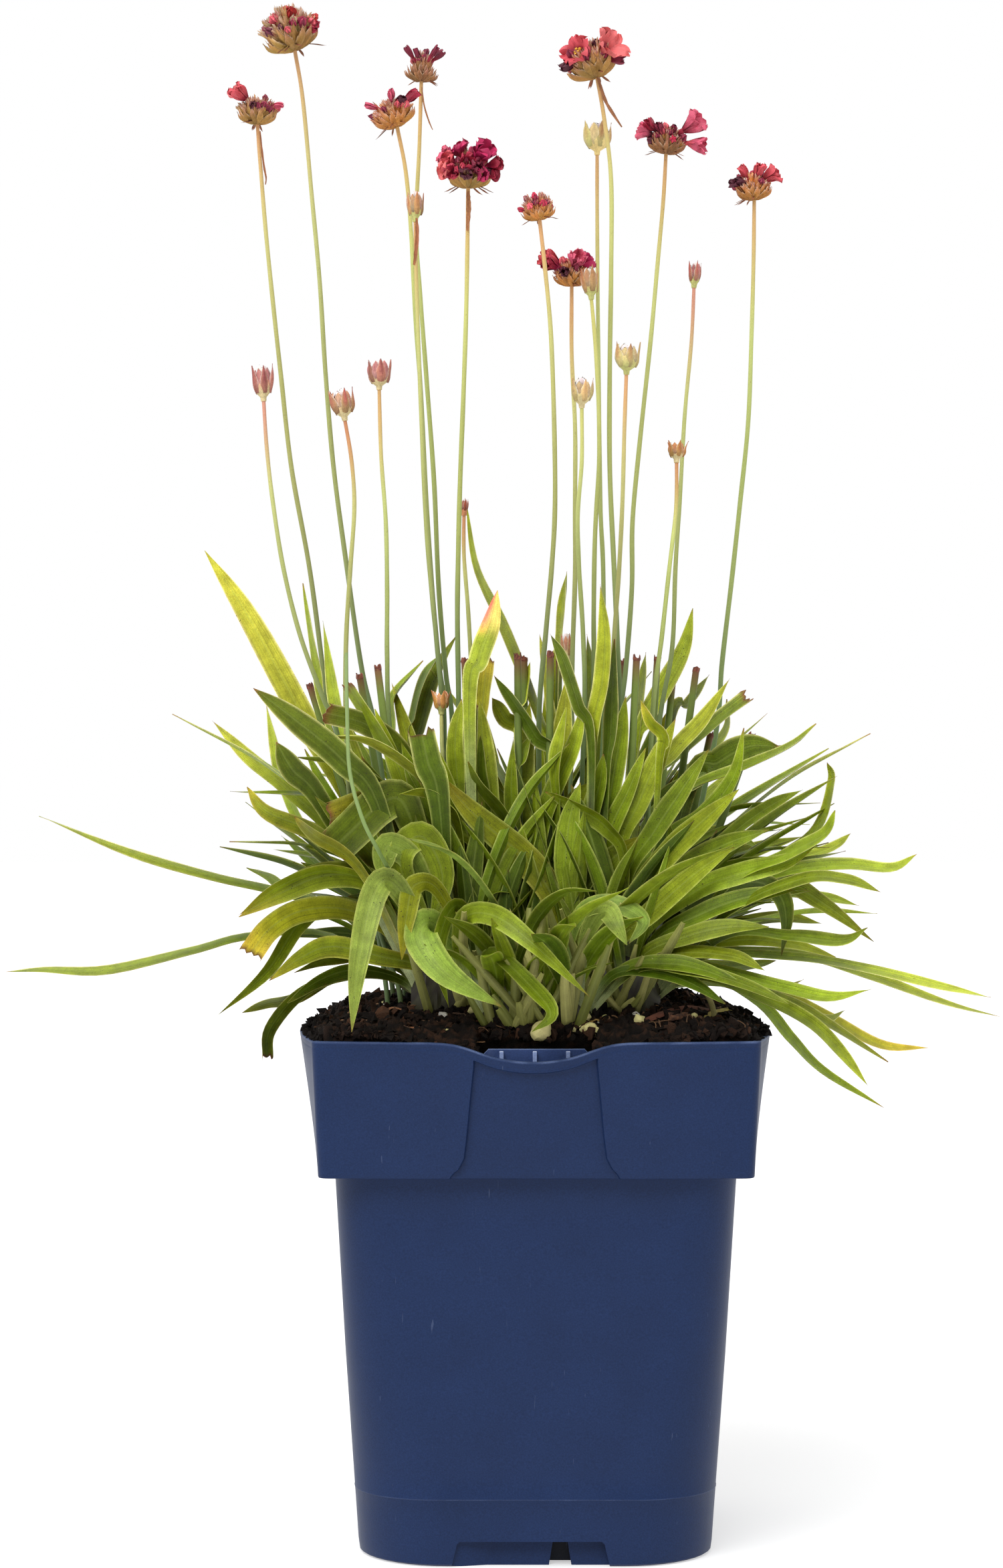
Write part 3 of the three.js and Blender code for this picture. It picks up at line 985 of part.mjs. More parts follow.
function makeSoil() {
  const inset = POT.wall + CLEAR;
  const column = bodyBlock(inset, POT.floorTop, POT.ledge + 6).translate([0, 0, CLEAR]);
  const collar = collarBlock(POT.collarWall + 2 * CLEAR, POT.ledge + POT.wall + CLEAR, 170);
  const shares = [1, 0.84, 0.62, 0.36, 0.14];
  const stops = [-1, -0.33, 0.33, 1];
  const rows = shares.map((share) => squareRing(0, 70 * share, lerp(30, 4, share) * share, 0, stops, 1));
  rows.forEach((row) => row.forEach((spot) => spot.setZ(soilHeight(spot.x * 0.88, spot.y * 0.88))));
  const floor = squareRing(POT.ledge + 3, 70, 4, 0, stops, 1);
  const mound = loft([floor, ...rows]);
  let soil = column.add(collar.intersect(mound));
  const skin = collarBlock(POT.collarWall + SLOT.gap + SLOT.wall + CLEAR, POT.ledge, 170);
  const half = SLOT.halfWidth + CLEAR;
  soil = soil.subtract(box(-half, half, -80, -50, POT.ledge + 0.5, 170).subtract(skin));
  for (const layer of Object.keys(LAYERS)) soil = soil.subtract(crownHole(layer));
  for (const data of [...Object.values(HEADS), ...Object.values(BUDS)]) {
    const lane = LANES[data.lane];
    const y = lane + Math.sign(lane) * LANE_SLOPE * Math.abs(data.root);
    soil = soil.subtract(upright(SOIL.holeRadius, STEM.root - CLEAR, 170, data.root, y, 4));
  }
  CHIPS.forEach((_, i) => { soil = soil.subtract(chip(i, CLEAR)); });
  return soil;
}

addPiece('pot', makePot(), COLOURS.pot, 0.42, 0.1);
addPiece('soil', makeSoil(), COLOURS.soil, 0.95, 0.3);
CHIPS.forEach((_, i) => addPiece(`bark_chip_${i + 1}`, chip(i, 0), COLOURS.bark, 0.9, 0.02));
const SHOOT_NAMES = {
  front: 'leafy_shoots_front', lowFront: 'leafy_shoots_low_front', left: 'leafy_shoots_left',
  right: 'leafy_shoots_right', back: 'leafy_shoots_back', lowBack: 'leafy_shoots_low_back',
};
for (const [layer, name] of Object.entries(SHOOT_NAMES)) {
  addPiece(name, makeShoots(layer), COLOURS.leaf, 0.5, 0.32);
}
for (const [name, data] of Object.entries(HEADS)) {
  addPiece(`stem_${name}`, stemRod(data, 1.15, 0.9), COLOURS.stem, 0.55, 0.02);
  addPiece(`bracts_${name}`, makeBowl(data), COLOURS.bowl, 0.8, 0.16);
  addPiece(`florets_${name}`, makeFlorets(data), COLOURS.floret, 0.7, 0.22);
}
for (const [name, data] of Object.entries(BUDS)) addPiece(name, makeBud(data), COLOURS.bud, 0.6, 0.12);

export default root;
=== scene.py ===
# A clump of ballerina red thrift in a 13 cm square nursery pot: the finished surfaces.
# The tables and the shapes are in millimetres and become metres when a piece is made.
# +Z is up, the front of the pot faces -Y, and the origin is under the middle of the pot.
import math

import bpy
import numpy as np
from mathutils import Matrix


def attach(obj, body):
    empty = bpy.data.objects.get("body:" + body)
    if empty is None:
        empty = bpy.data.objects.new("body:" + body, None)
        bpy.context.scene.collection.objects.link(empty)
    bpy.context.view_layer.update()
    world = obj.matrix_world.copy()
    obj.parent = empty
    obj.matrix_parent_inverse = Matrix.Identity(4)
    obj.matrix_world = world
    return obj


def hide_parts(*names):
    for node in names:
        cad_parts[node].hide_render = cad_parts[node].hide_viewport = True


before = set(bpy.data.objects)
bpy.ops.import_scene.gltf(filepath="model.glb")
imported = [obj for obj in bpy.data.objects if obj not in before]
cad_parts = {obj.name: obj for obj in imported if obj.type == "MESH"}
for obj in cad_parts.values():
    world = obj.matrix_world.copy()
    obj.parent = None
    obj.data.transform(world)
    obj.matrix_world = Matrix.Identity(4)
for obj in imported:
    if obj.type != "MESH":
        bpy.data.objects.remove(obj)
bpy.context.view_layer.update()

MM = 0.001

# Sizes of the pot
RIM, HEIGHT, COLLAR_FOOT, LEDGE, BOW = 64.5, 152.8, 62.6, 113.4, 6.3
WALL, COLLAR_WALL, FLOOR_LOW, FLOOR_TOP, RECESS = 1.8, 2.6, 3.8, 9.0, 1.3
# Height, half width and corner radius up the pot's wall
POT_PROFILE = [(0, 50.9, 25), (0.8, 52.0, 26), (3.5, 52.35, 26), (9, 52.7, 26), (60, 55.7, 19),
               (LEDGE, 58.4, 13)]
SLOT = dict(half=16, gap=3, wall=1.4, top=150.7, ribs=(-10, -0.5, 9), rib=1.2)
FOOT = dict(left=-22.9, right=19.8, facet=-12.6, height=7.5, depth=4, slit=(4.9, 9.1), drain=4.5)
# The front rim's dip (x, height), and the panel's left and right edges at heights
DIP = [(-26, 152.8), (-20, 151.6), (-15, 149.4), (-9, 147.9), (-1, 147.2), (7, 147.9), (13, 149.4),
       (18, 151.6), (24, 152.8)]
PANEL_Z = [112, 114.6, 116.3, 119.5, 127, 148]
PANEL_LEFT = [-25.4, -24.3, -22.2, -20.6, -19.7, -17.8]
PANEL_RIGHT = [24.4, 23.4, 21.6, 20.0, 19.0, 17.2]

# Sizes of the plant
SOIL_EDGE, SOIL_MOUND, SOIL_SPREAD = 149.5, 160.2, 0.96
CROWN_FOOT, CROWN_RADIUS, CROWN_END, CROWN_SMALL = 150, 6.4, 4.5, 0.45
STEM_ROOT, LEAF_TOP = 145, 255
# Leaves: true width, width of the sheath and place of the broadest part (shares), clearance in a layer
TRUE_WIDTH, SHEATH, BROADEST, MARGIN = 6.4, 0.32, 0.6, 1.2

# The level lens in front of the pot that the (u, v) places were read through
EYE = np.array([-10.0, -1064.5, 226.3])
FOCAL, MIDDLE_U, MIDDLE_V = 5240, 750, 1172

# Even draws between 0 and 1: multiples of an irrational step, one step for each use
STEPS = [0.6180339887, 0.7548776662, 0.5698402910, 0.8191725134, 0.6710436067]

# Layers in depth: side, near and far fronts (start, slope), crown (depth, slope, half, heart, top)
LAYERS = {
    "lowFront": (-1, (38, 0.35), (170, 0.35), (47, 0, 13, 157, 165)),
    "front": (-1, (18.5, 0.25), (36.5, 0.35), (27.5, 0.3, 32, 161, 177)),
    "back": (1, (18.5, 0.25), (36.5, 0.35), (27.5, 0.3, 32, 161, 177)),
    "lowBack": (1, (38, 0.35), (170, 0.35), (47, 0, 20, 158, 167)),
    "left": (0, (9.5, 0.25), (9.5, 0.25), (0, 0, 33, 161, 177)),
    "right": (0, (9.5, 0.25), (9.5, 0.25), (0, 0, 33, 161, 177)),
}
# Lanes in depth that the stems go down, in front (f) and behind (b), and how they spread with |x|
LANES = {"f1": -12, "f2": -15.8, "b1": 12, "b2": 15.8}
LANE_SLOPE = 0.25
SHOOT_NAMES = {
    "front": "leafy_shoots_front", "lowFront": "leafy_shoots_low_front", "left": "leafy_shoots_left",
    "right": "leafy_shoots_right", "back": "leafy_shoots_back", "lowBack": "leafy_shoots_low_back",
}
SLENDER = ("left", "right", "lowBack")  # layers whose leaves are drawn more slender

# Leaves set by rule: layer, how many, plan headings, lengths, start and end lean (degrees, mm), tones
ARC_LEAVES = [
    ("lowBack", 20, (22, 158), (70, 145), (8, 34), (75, 125), "bmmdmbp"),
    ("back", 10, (12, 168), (80, 125), (4, 22), (30, 80), "bmmdmbp"),
    ("lowFront", 8, (-145, -35), (45, 95), (10, 34), (70, 105), "bmmdmbp"),
    ("front", 3, (-164, -16), (70, 115), (6, 20), (30, 70), "bmmdmbp"),
    ("left", 5, (170, 190), (70, 140), (6, 34), (60, 105), "bmmdmbp"),
    ("right", 5, (-10, 10), (70, 130), (6, 34), (60, 105), "bmmdmbp"),
]

# Cut stems: layer, place (u, v) of the cut end, depth
STUBS = [
    ("front", (565, 1000), -30), ("left", (538, 1012), 2), ("left", (464, 1027), -4),
    ("front", (695, 990), -28), ("front", (774, 983), -26), ("back", (784, 986), 30),
    ("front", (823, 980), -28), ("back", (836, 988), 30), ("front", (912, 986), -27),
    ("back", (930, 991), 28), ("front", (952, 985), -30), ("right", (983, 985), 3),
    ("back", (1006, 1019), 34), ("right", (1041, 1002), -3), ("right", (1062, 1100), 4),
    ("right", (1124, 1100), -5),
]
# Bark chips: x, y, length, heading in degrees
CHIPS = [(42, -49, 9, 20), (53, -17, 8, -65), (-46, 47, 10, 40)]

# Feed grains seen in front: place u, v, radius, depth
GRAINS_SEEN = [
    (809, 1497, 3.1, -57.5), (812, 1531, 1.5, -52), (877, 1524, 1.6, -50), (882, 1546, 2.0, -56),
    (872, 1543, 1.7, -55), (890, 1558, 1.5, -57), (668, 1556, 1.2, -57), (905, 1530, 1.2, -50),
    (886, 1490, 1.6, -42), (550, 1555, 1.0, -60),
]

# Stray bits: places (x, y, height over the soil), width, thickness, hue
STRAY_BITS = [
    ([(28.5, -53, 0.9), (36, -49, 1.6), (44, -44, 1.8), (51, -39, 1.4)], 3.4, 1.0, (98, 54, 36)),
    ([(47, -51, 0.8), (51, -47, 3.4), (56, -43, 5.2)], 3.6, 0.3, (176, 158, 88)),
    ([(-33, -55, 1.0), (-26, -52, 1.6), (-20, -53, 1.2)], 1.5, 0.3, (150, 96, 60)),
    ([(13, -54, 1.2), (17, -52, 2.4), (20, -53, 1.6)], 2.6, 0.3, (186, 150, 84)),
    ([(-46, -50, 1.0), (-42, -47, 2.6), (-37, -47, 2.0)], 1.8, 0.3, (128, 84, 52)),
]
# A short stalk and a thread on the soil: places as above, stations, radius, hue, sides
STRAY_THREADS = [
    ([(52, -52, -1.5), (51, -52, 5), (48.5, -51.5, 10.5)], 9, 0.8, (126, 118, 66), 8),
    ([(-41, -54, 1.4), (-36, -56, 2.4), (-30, -54, 1.6), (-26, -55, 1.2)], 14, 0.35, (160, 104, 66), 6),
]

# Leaves read from the front view: layer, shown width, tone, places u, v from the tip inwards, and where
# they differ from the rule its level in the layer, its lean and whether it is cut
SEEN_LEAVES = [
    ("left", 9.6, "b", (306, 823, 372, 923, 454, 1073, 540, 1230)),
    ("left", 3, "m", (452, 872, 472, 992, 500, 1110)),
    ("left", 5, "b", (482, 928, 505, 1068, 535, 1180)),
    ("front", 9, "d", (379, 1029, 440, 1075, 513, 1137, 570, 1215)),
    ("left", 6, "b", (317, 1078, 370, 1130, 429, 1180, 510, 1265)),
    ("front", 8, "d", (413, 1109, 437, 1150, 490, 1215)),
    ("front", 3, "m", (445, 1133, 510, 1140, 569, 1173, 620, 1240)),
    ("front", 2.8, "b", (480, 1101, 556, 1109, 633, 1163, 662, 1230)),
    ("back", 2.6, "m", (632, 987, 589, 1038, 587, 1081, 594, 1160)),
    ("front", 3.8, "m", (520, 1025, 565, 1095, 612, 1173, 645, 1260), None, 0, True),
    ("left", 3.3, "m", (58, 1221, 191, 1273, 319, 1309, 430, 1336, 540, 1380)),
    ("left", 3.4, "m", (8, 1454, 64, 1450, 159, 1451, 287, 1421, 373, 1399, 500, 1400), 0.3),
    ("front", 4.6, "g", (357, 1369, 420, 1325, 497, 1303, 575, 1345)),
    ("front", 8, "y", (376, 1424, 404, 1388, 450, 1362, 520, 1360, 590, 1400), 0.1, 0, True),
    ("left", 6, "m", (325, 1519, 399, 1453, 446, 1383, 497, 1348, 560, 1375)),
    ("back", 4, "d", (403, 1464, 450, 1430, 497, 1415, 570, 1430)),
    ("left", 4, "m", (362, 1515, 400, 1500, 446, 1490, 540, 1450), 0.2),
    ("left", 4.5, "m", (400, 1582, 404, 1540, 446, 1488, 497, 1462, 560, 1450), 0.15, 0, True),
    ("front", 5.5, "o", (369, 1177, 399, 1214, 478, 1249, 565, 1325)),
    ("front", 4, "o", (440, 1222, 470, 1250, 545, 1310)),
    ("left", 3.5, "m", (368, 1298, 400, 1310, 430, 1329, 520, 1370)),
    ("lowFront", 8.6, "p", (526, 1543, 536, 1440, 560, 1335, 590, 1322, 645, 1410), None, 80),
    ("front", 10, "b", (641, 1400, 662, 1311, 630, 1250, 598, 1290, 640, 1400), 1),
    ("front", 10, "o", (657, 1159, 708, 1216, 780, 1279, 820, 1328, 845, 1400)),
    ("front", 5, "m", (745, 1332, 700, 1250, 640, 1252, 612, 1330)),
    ("lowFront", 7, "b", (882, 1490, 794, 1408, 737, 1368, 694, 1374, 690, 1440), None, 78),
    ("lowFront", 11, "p", (750, 1505, 668, 1455, 630, 1402, 645, 1380, 690, 1430), None, 72),
    ("front", 4, "m", (786, 1345, 760, 1328, 727, 1340, 718, 1400)),
    ("lowFront", 7, "o", (601, 1435, 608, 1370, 622, 1322, 665, 1345), None, 66),
    ("lowFront", 5.5, "m", (796, 1543, 824, 1515, 794, 1474, 743, 1428, 725, 1445), None, 79),
    ("front", 11, "o", (495, 1225, 560, 1205, 620, 1240, 670, 1330), 0.5, 0, True),
    ("back", 3.6, "m", (697, 757, 713, 850, 754, 939, 805, 1067, 835, 1180)),
    ("front", 7, "f", (744, 882, 735, 930, 716, 985, 702, 1060)),
    ("back", 5.6, "o", (728, 988, 722, 1044, 716, 1130), None, 0, True),
    ("front", 5.6, "d", (703, 1054, 700, 1130, 706, 1230), None, 0, True),
    ("back", 5.5, "d", (682, 950, 650, 1010, 627, 1087, 617, 1160)),
    ("back", 2.4, "d", (660, 975, 634, 1010, 618, 1070, 608, 1130)),
    ("back", 2.6, "m", (847, 854, 841, 901, 836, 960, 832, 1040)),
    ("back", 3, "b", (806, 948, 815, 1000, 824, 1060, 838, 1130)),
    ("front", 4.4, "d", (822, 948, 843, 990, 864, 1054, 884, 1130)),
    ("back", 3.5, "b", (792, 989, 782, 1040, 774, 1100)),
    ("front", 5, "m", (767, 1102, 764, 1182, 772, 1248, 790, 1335)),
    ("front", 4, "m", (795, 1096, 780, 1130, 768, 1190)),
    ("front", 4, "m", (846, 1057, 838, 1100, 830, 1150, 832, 1230)),
    ("front", 6, "m", (873, 1051, 856, 1118, 812, 1225, 806, 1320)),
    ("front", 6, "m", (902, 1127, 897, 1169, 882, 1233, 878, 1325)),
    ("front", 7, "b", (882, 1169, 856, 1207, 842, 1290)),
    ("front", 5, "m", (815, 1184, 856, 1205, 907, 1238, 935, 1300)),
    ("back", 6, "m", (735, 1043, 754, 1072, 790, 1135)),
    ("front", 4.5, "d", (738, 1010, 768, 1050, 800, 1100, 838, 1165)),
    ("front", 6, "d", (718, 1100, 716, 1156, 726, 1235)),
    ("front", 9, "d", (630, 1095, 640, 1140, 658, 1210), None, 0, True),
    ("front", 3.5, "m", (699, 1139, 716, 1174, 754, 1220, 782, 1290)),
    ("front", 2.8, "b", (648, 1102, 652, 1156, 668, 1230)),
    ("front", 6, "m", (690, 1045, 680, 1110, 686, 1200)),
    ("back", 7, "b", (1036, 909, 1022, 970, 990, 1030, 965, 1075, 945, 1140)),
    ("front", 5.5, "m", (897, 873, 904, 950, 900, 1020, 887, 1080, 884, 1160)),
    ("front", 4.5, "d", (918, 955, 915, 1030, 912, 1100, 904, 1180)),
    ("right", 6, "b", (1091, 1014, 1051, 1074, 1008, 1123, 955, 1200)),
    ("front", 6, "m", (1112, 1088, 1097, 1160, 1051, 1220, 999, 1252, 940, 1325)),
    ("front", 4, "g", (957, 1046, 972, 1080, 992, 1105, 985, 1160)),
    ("right", 5, "d", (1117, 1042, 1068, 1080, 1010, 1130, 950, 1205), None, 0, True),
    ("right", 7, "d", (1173, 1113, 1110, 1135, 1037, 1166, 970, 1230)),
    ("right", 3, "m", (1220, 1081, 1180, 1114, 1108, 1148, 1034, 1177, 960, 1240)),
    ("back", 3, "m", (1239, 1118, 1146, 1176, 1069, 1230, 980, 1305)),
    ("back", 3, "m", (1086, 1045, 1085, 1088, 1051, 1134, 1000, 1195)),
    ("back", 3.5, "d", (1060, 1008, 1030, 1050, 1000, 1095)),
    ("back", 3, "m", (965, 975, 958, 1030, 950, 1110)),
    ("back", 4.4, "d", (877, 948, 884, 1010, 882, 1080, 880, 1160)),
    ("front", 9, "g", (958, 1250, 915, 1285, 866, 1345, 850, 1405)),
    ("front", 5, "b", (804, 1355, 835, 1312, 869, 1295, 892, 1350)),
    ("front", 7, "m", (984, 1199, 998, 1265, 978, 1336, 930, 1400)),
    ("front", 7, "b", (1098, 1266, 1044, 1302, 972, 1365, 920, 1415)),
    ("lowFront", 6, "p", (941, 1411, 962, 1376, 920, 1352, 872, 1362, 850, 1420), None, 70),
    ("right", 3.4, "m", (1496, 1519, 1414, 1498, 1295, 1456, 1184, 1425, 1050, 1420, 960, 1430)),
    ("front", 3, "b", (1482, 1490, 1414, 1475, 1295, 1447, 1180, 1430, 1050, 1432)),
    ("back", 4.4, "o", (1389, 1566, 1318, 1562, 1240, 1522, 1150, 1480, 1040, 1455)),
    ("right", 4, "m", (1329, 1587, 1241, 1532, 1165, 1492, 1060, 1460), 0.8),
    ("front", 4.4, "b", (1299, 1623, 1260, 1574, 1212, 1528, 1140, 1490, 1040, 1460)),
    ("right", 4, "m", (1322, 1655, 1232, 1601, 1184, 1552, 1132, 1496, 1030, 1450), 0.1),
    ("front", 4, "b", (1303, 1478, 1241, 1490, 1165, 1475, 1050, 1446, 960, 1440)),
    ("back", 3.6, "g", (1202, 1463, 1165, 1480, 1126, 1482, 1050, 1460, 960, 1450)),
    ("back", 3.5, "m", (1264, 1509, 1234, 1522, 1176, 1505, 1080, 1470)),
    ("right", 4.5, "b", (1371, 1276, 1333, 1297, 1264, 1293, 1176, 1303, 1060, 1350)),
    ("front", 4, "m", (1318, 1333, 1264, 1314, 1195, 1314, 1080, 1370)),
    ("right", 8, "m", (1307, 1408, 1230, 1350, 1146, 1307, 1040, 1330, 960, 1400)),
    ("front", 4, "m", (1297, 1386, 1260, 1406, 1184, 1400, 1080, 1400)),
    ("back", 3.5, "m", (1285, 1353, 1220, 1340, 1130, 1350)),
    ("back", 4, "b", (1272, 1245, 1241, 1268, 1150, 1300, 1040, 1360)),
    ("front", 4, "b", (1248, 1211, 1232, 1246, 1180, 1275, 1080, 1330)),
    ("right", 3.4, "m", (1236, 1140, 1243, 1169, 1218, 1242, 1130, 1305)),
    ("front", 6.5, "d", (1169, 1429, 1176, 1375, 1165, 1337, 1126, 1318, 1050, 1340, 970, 1400)),
    ("front", 4.4, "b", (1144, 1450, 1088, 1428, 1000, 1430)),
    ("back", 4, "m", (1161, 1435, 1107, 1445, 1020, 1445)),
    ("back", 5, "m", (1144, 1273, 1087, 1245, 1020, 1265, 955, 1345)),
    ("front", 4.5, "r", (925, 1318, 914, 1352, 902, 1398, 893, 1436), 0.6),
    ("front", 4, "r", (880, 1438, 872, 1452, 866, 1466, 862, 1480), 1),
    ("front", 4, "r", (700, 1352, 706, 1380, 716, 1410, 722, 1440), 0.3),
    ("back", 4, "b", (397, 1052, 412, 1120, 426, 1180, 470, 1260)),
    ("front", 7, "d", (488, 1066, 545, 1082, 592, 1115, 618, 1165, 640, 1250), None, 0, True),
    ("front", 3, "b", (597, 1188, 632, 1184, 665, 1200, 690, 1260)),
    ("front", 9, "p", (573, 1314, 573, 1290, 582, 1264, 618, 1290, 650, 1380), 1),
    ("front", 12.5, "d", (499, 1268, 530, 1238, 564, 1206, 596, 1194, 620, 1240, 668, 1390), 0.62, 0, True),
    ("right", 11, "d", (1166, 1116, 1120, 1116, 1075, 1140, 1030, 1178), 0.3),
    ("lowFront", 5, "m", (672, 1506, 656, 1440, 664, 1382, 686, 1354, 712, 1400), None, 66),
    ("front", 7, "g", (403, 1466, 450, 1432, 497, 1415, 570, 1430, 640, 1450)),
    ("front", 9, "g", (357, 1371, 420, 1335, 490, 1308, 560, 1320, 640, 1400)),
    ("front", 7, "d", (520, 1340, 575, 1345, 630, 1385, 670, 1450)),
    ("front", 6, "d", (700, 1300, 722, 1340, 735, 1390, 745, 1450)),
    ("front", 6, "d", (745, 1290, 765, 1340, 778, 1390, 788, 1450)),
    ("front", 6, "m", (965, 1118, 940, 1180, 912, 1240, 890, 1320)),
    ("front", 2.8, "p", (1085, 1430, 1045, 1390, 1012, 1352, 968, 1343, 930, 1380, 905, 1440)),
    ("lowFront", 7, "p", (938, 1413, 922, 1384, 908, 1362, 890, 1372, 872, 1420), None, 74),
    ("front", 5, "m", (876, 1292, 864, 1350, 848, 1420, 836, 1470)),
    ("front", 5, "b", (905, 1330, 880, 1380, 860, 1430, 842, 1475)),
    ("front", 4.5, "m", (812, 1350, 815, 1400, 812, 1450, 806, 1490)),
    ("front", 5, "d", (845, 1330, 838, 1390, 828, 1440, 818, 1485)),
    ("front", 8, "b", (868, 1170, 852, 1225, 846, 1290, 850, 1350), 0.9),
    ("front", 8, "m", (718, 1048, 722, 1110, 728, 1180, 738, 1260), 0.3),
    ("front", 8, "m", (792, 1050, 784, 1120, 778, 1200, 784, 1290), 0.2),
    ("front", 7, "b", (848, 1010, 842, 1080, 836, 1160, 838, 1240), 0.15),
    ("front", 7, "m", (936, 1040, 926, 1110, 912, 1190, 898, 1270), 0.4),
    ("front", 7, "b", (1010, 1075, 985, 1130, 955, 1200, 925, 1280), 0.5),
    ("front", 7, "m", (1060, 1120, 1020, 1180, 980, 1240, 935, 1320), 0.7),
    ("front", 8, "b", (1105, 1180, 1050, 1228, 1000, 1275, 945, 1350), 0.8),
    ("front", 7, "m", (1150, 1240, 1085, 1262, 1020, 1300, 955, 1370), 0.6),
    ("front", 7, "b", (1222, 1262, 1175, 1288, 1110, 1305, 1040, 1332, 960, 1400)),
    ("front", 6, "m", (1190, 1330, 1120, 1340, 1050, 1365, 975, 1410), 0.7),
    ("front", 6, "b", (1150, 1385, 1090, 1385, 1030, 1398, 960, 1430), 0.9),
    ("lowFront", 5, "m", (1120, 1478, 1060, 1452, 1000, 1440, 930, 1450), None, 52),
    ("lowFront", 5, "d", (1085, 1500, 1035, 1470, 980, 1452, 915, 1458), None, 60),
    ("lowFront", 4.5, "m", (1180, 1500, 1110, 1470, 1030, 1448, 950, 1450), None, 48),
    ("right", 5, "m", (1250, 1430, 1180, 1410, 1100, 1405, 1000, 1430)),
    ("right", 5, "b", (1230, 1380, 1170, 1372, 1090, 1385, 1000, 1420)),
    ("right", 5, "m", (1210, 1330, 1150, 1325, 1080, 1345, 1000, 1400)),
    ("right", 5, "d", (1160, 1200, 1110, 1230, 1060, 1275, 1000, 1350)),
    ("right", 5, "m", (1200, 1180, 1150, 1205, 1090, 1250, 1010, 1330)),
    ("front", 8, "m", (655, 1120, 668, 1180, 680, 1240, 700, 1320), 0.5),
    ("front", 7, "m", (600, 1110, 622, 1170, 645, 1240, 680, 1330), 0.5),
    ("front", 6, "b", (560, 1060, 588, 1130, 615, 1200, 650, 1300), 0.3),
    ("front", 7, "d", (540, 1130, 575, 1190, 610, 1250, 660, 1350), 0.2),
    ("front", 6, "m", (470, 1190, 520, 1240, 575, 1300, 640, 1390), 0.4),
    ("front", 6, "d", (450, 1290, 510, 1315, 575, 1350, 650, 1420), 0.3),
    ("left", 6, "m", (455, 1120, 492, 1190, 530, 1260, 580, 1350)),
    ("left", 6, "b", (500, 1040, 528, 1120, 555, 1200, 590, 1300)),
    ("left", 5, "m", (420, 1250, 470, 1290, 520, 1330, 590, 1400)),
    ("left", 5, "d", (430, 1400, 480, 1395, 540, 1400, 600, 1430)),
    ("left", 4.5, "m", (440, 1455, 490, 1435, 545, 1430, 600, 1450)),
    ("front", 5, "d", (430, 1500, 480, 1465, 535, 1450, 600, 1465)),
    ("front", 4.5, "m", (700, 1352, 712, 1400, 722, 1450, 730, 1500)),
    ("front", 4.5, "b", (760, 1390, 762, 1430, 758, 1470, 752, 1510)),
    ("front", 4, "p", (690, 1440, 694, 1480, 700, 1515)),
    ("front", 4, "p", (655, 1455, 668, 1490, 682, 1520)),
    ("back", 7, "m", (700, 1010, 720, 1090, 740, 1180, 760, 1280)),
    ("back", 7, "b", (815, 1030, 822, 1110, 826, 1200, 828, 1290)),
    ("back", 7, "m", (1000, 1060, 965, 1140, 930, 1220, 900, 1310)),
    ("back", 6, "d", (905, 1010, 900, 1100, 890, 1190, 880, 1290)),
    ("back", 6, "b", (1120, 1130, 1060, 1190, 1000, 1250, 940, 1330)),
    ("back", 6, "m", (1200, 1250, 1130, 1270, 1060, 1300, 980, 1360)),
    ("back", 6, "m", (585, 1020, 610, 1100, 640, 1190, 680, 1290)),
    ("back", 6, "d", (520, 1080, 560, 1160, 605, 1240, 655, 1330)),
    ("back", 5, "m", (450, 1200, 505, 1255, 565, 1315, 635, 1390)),
]

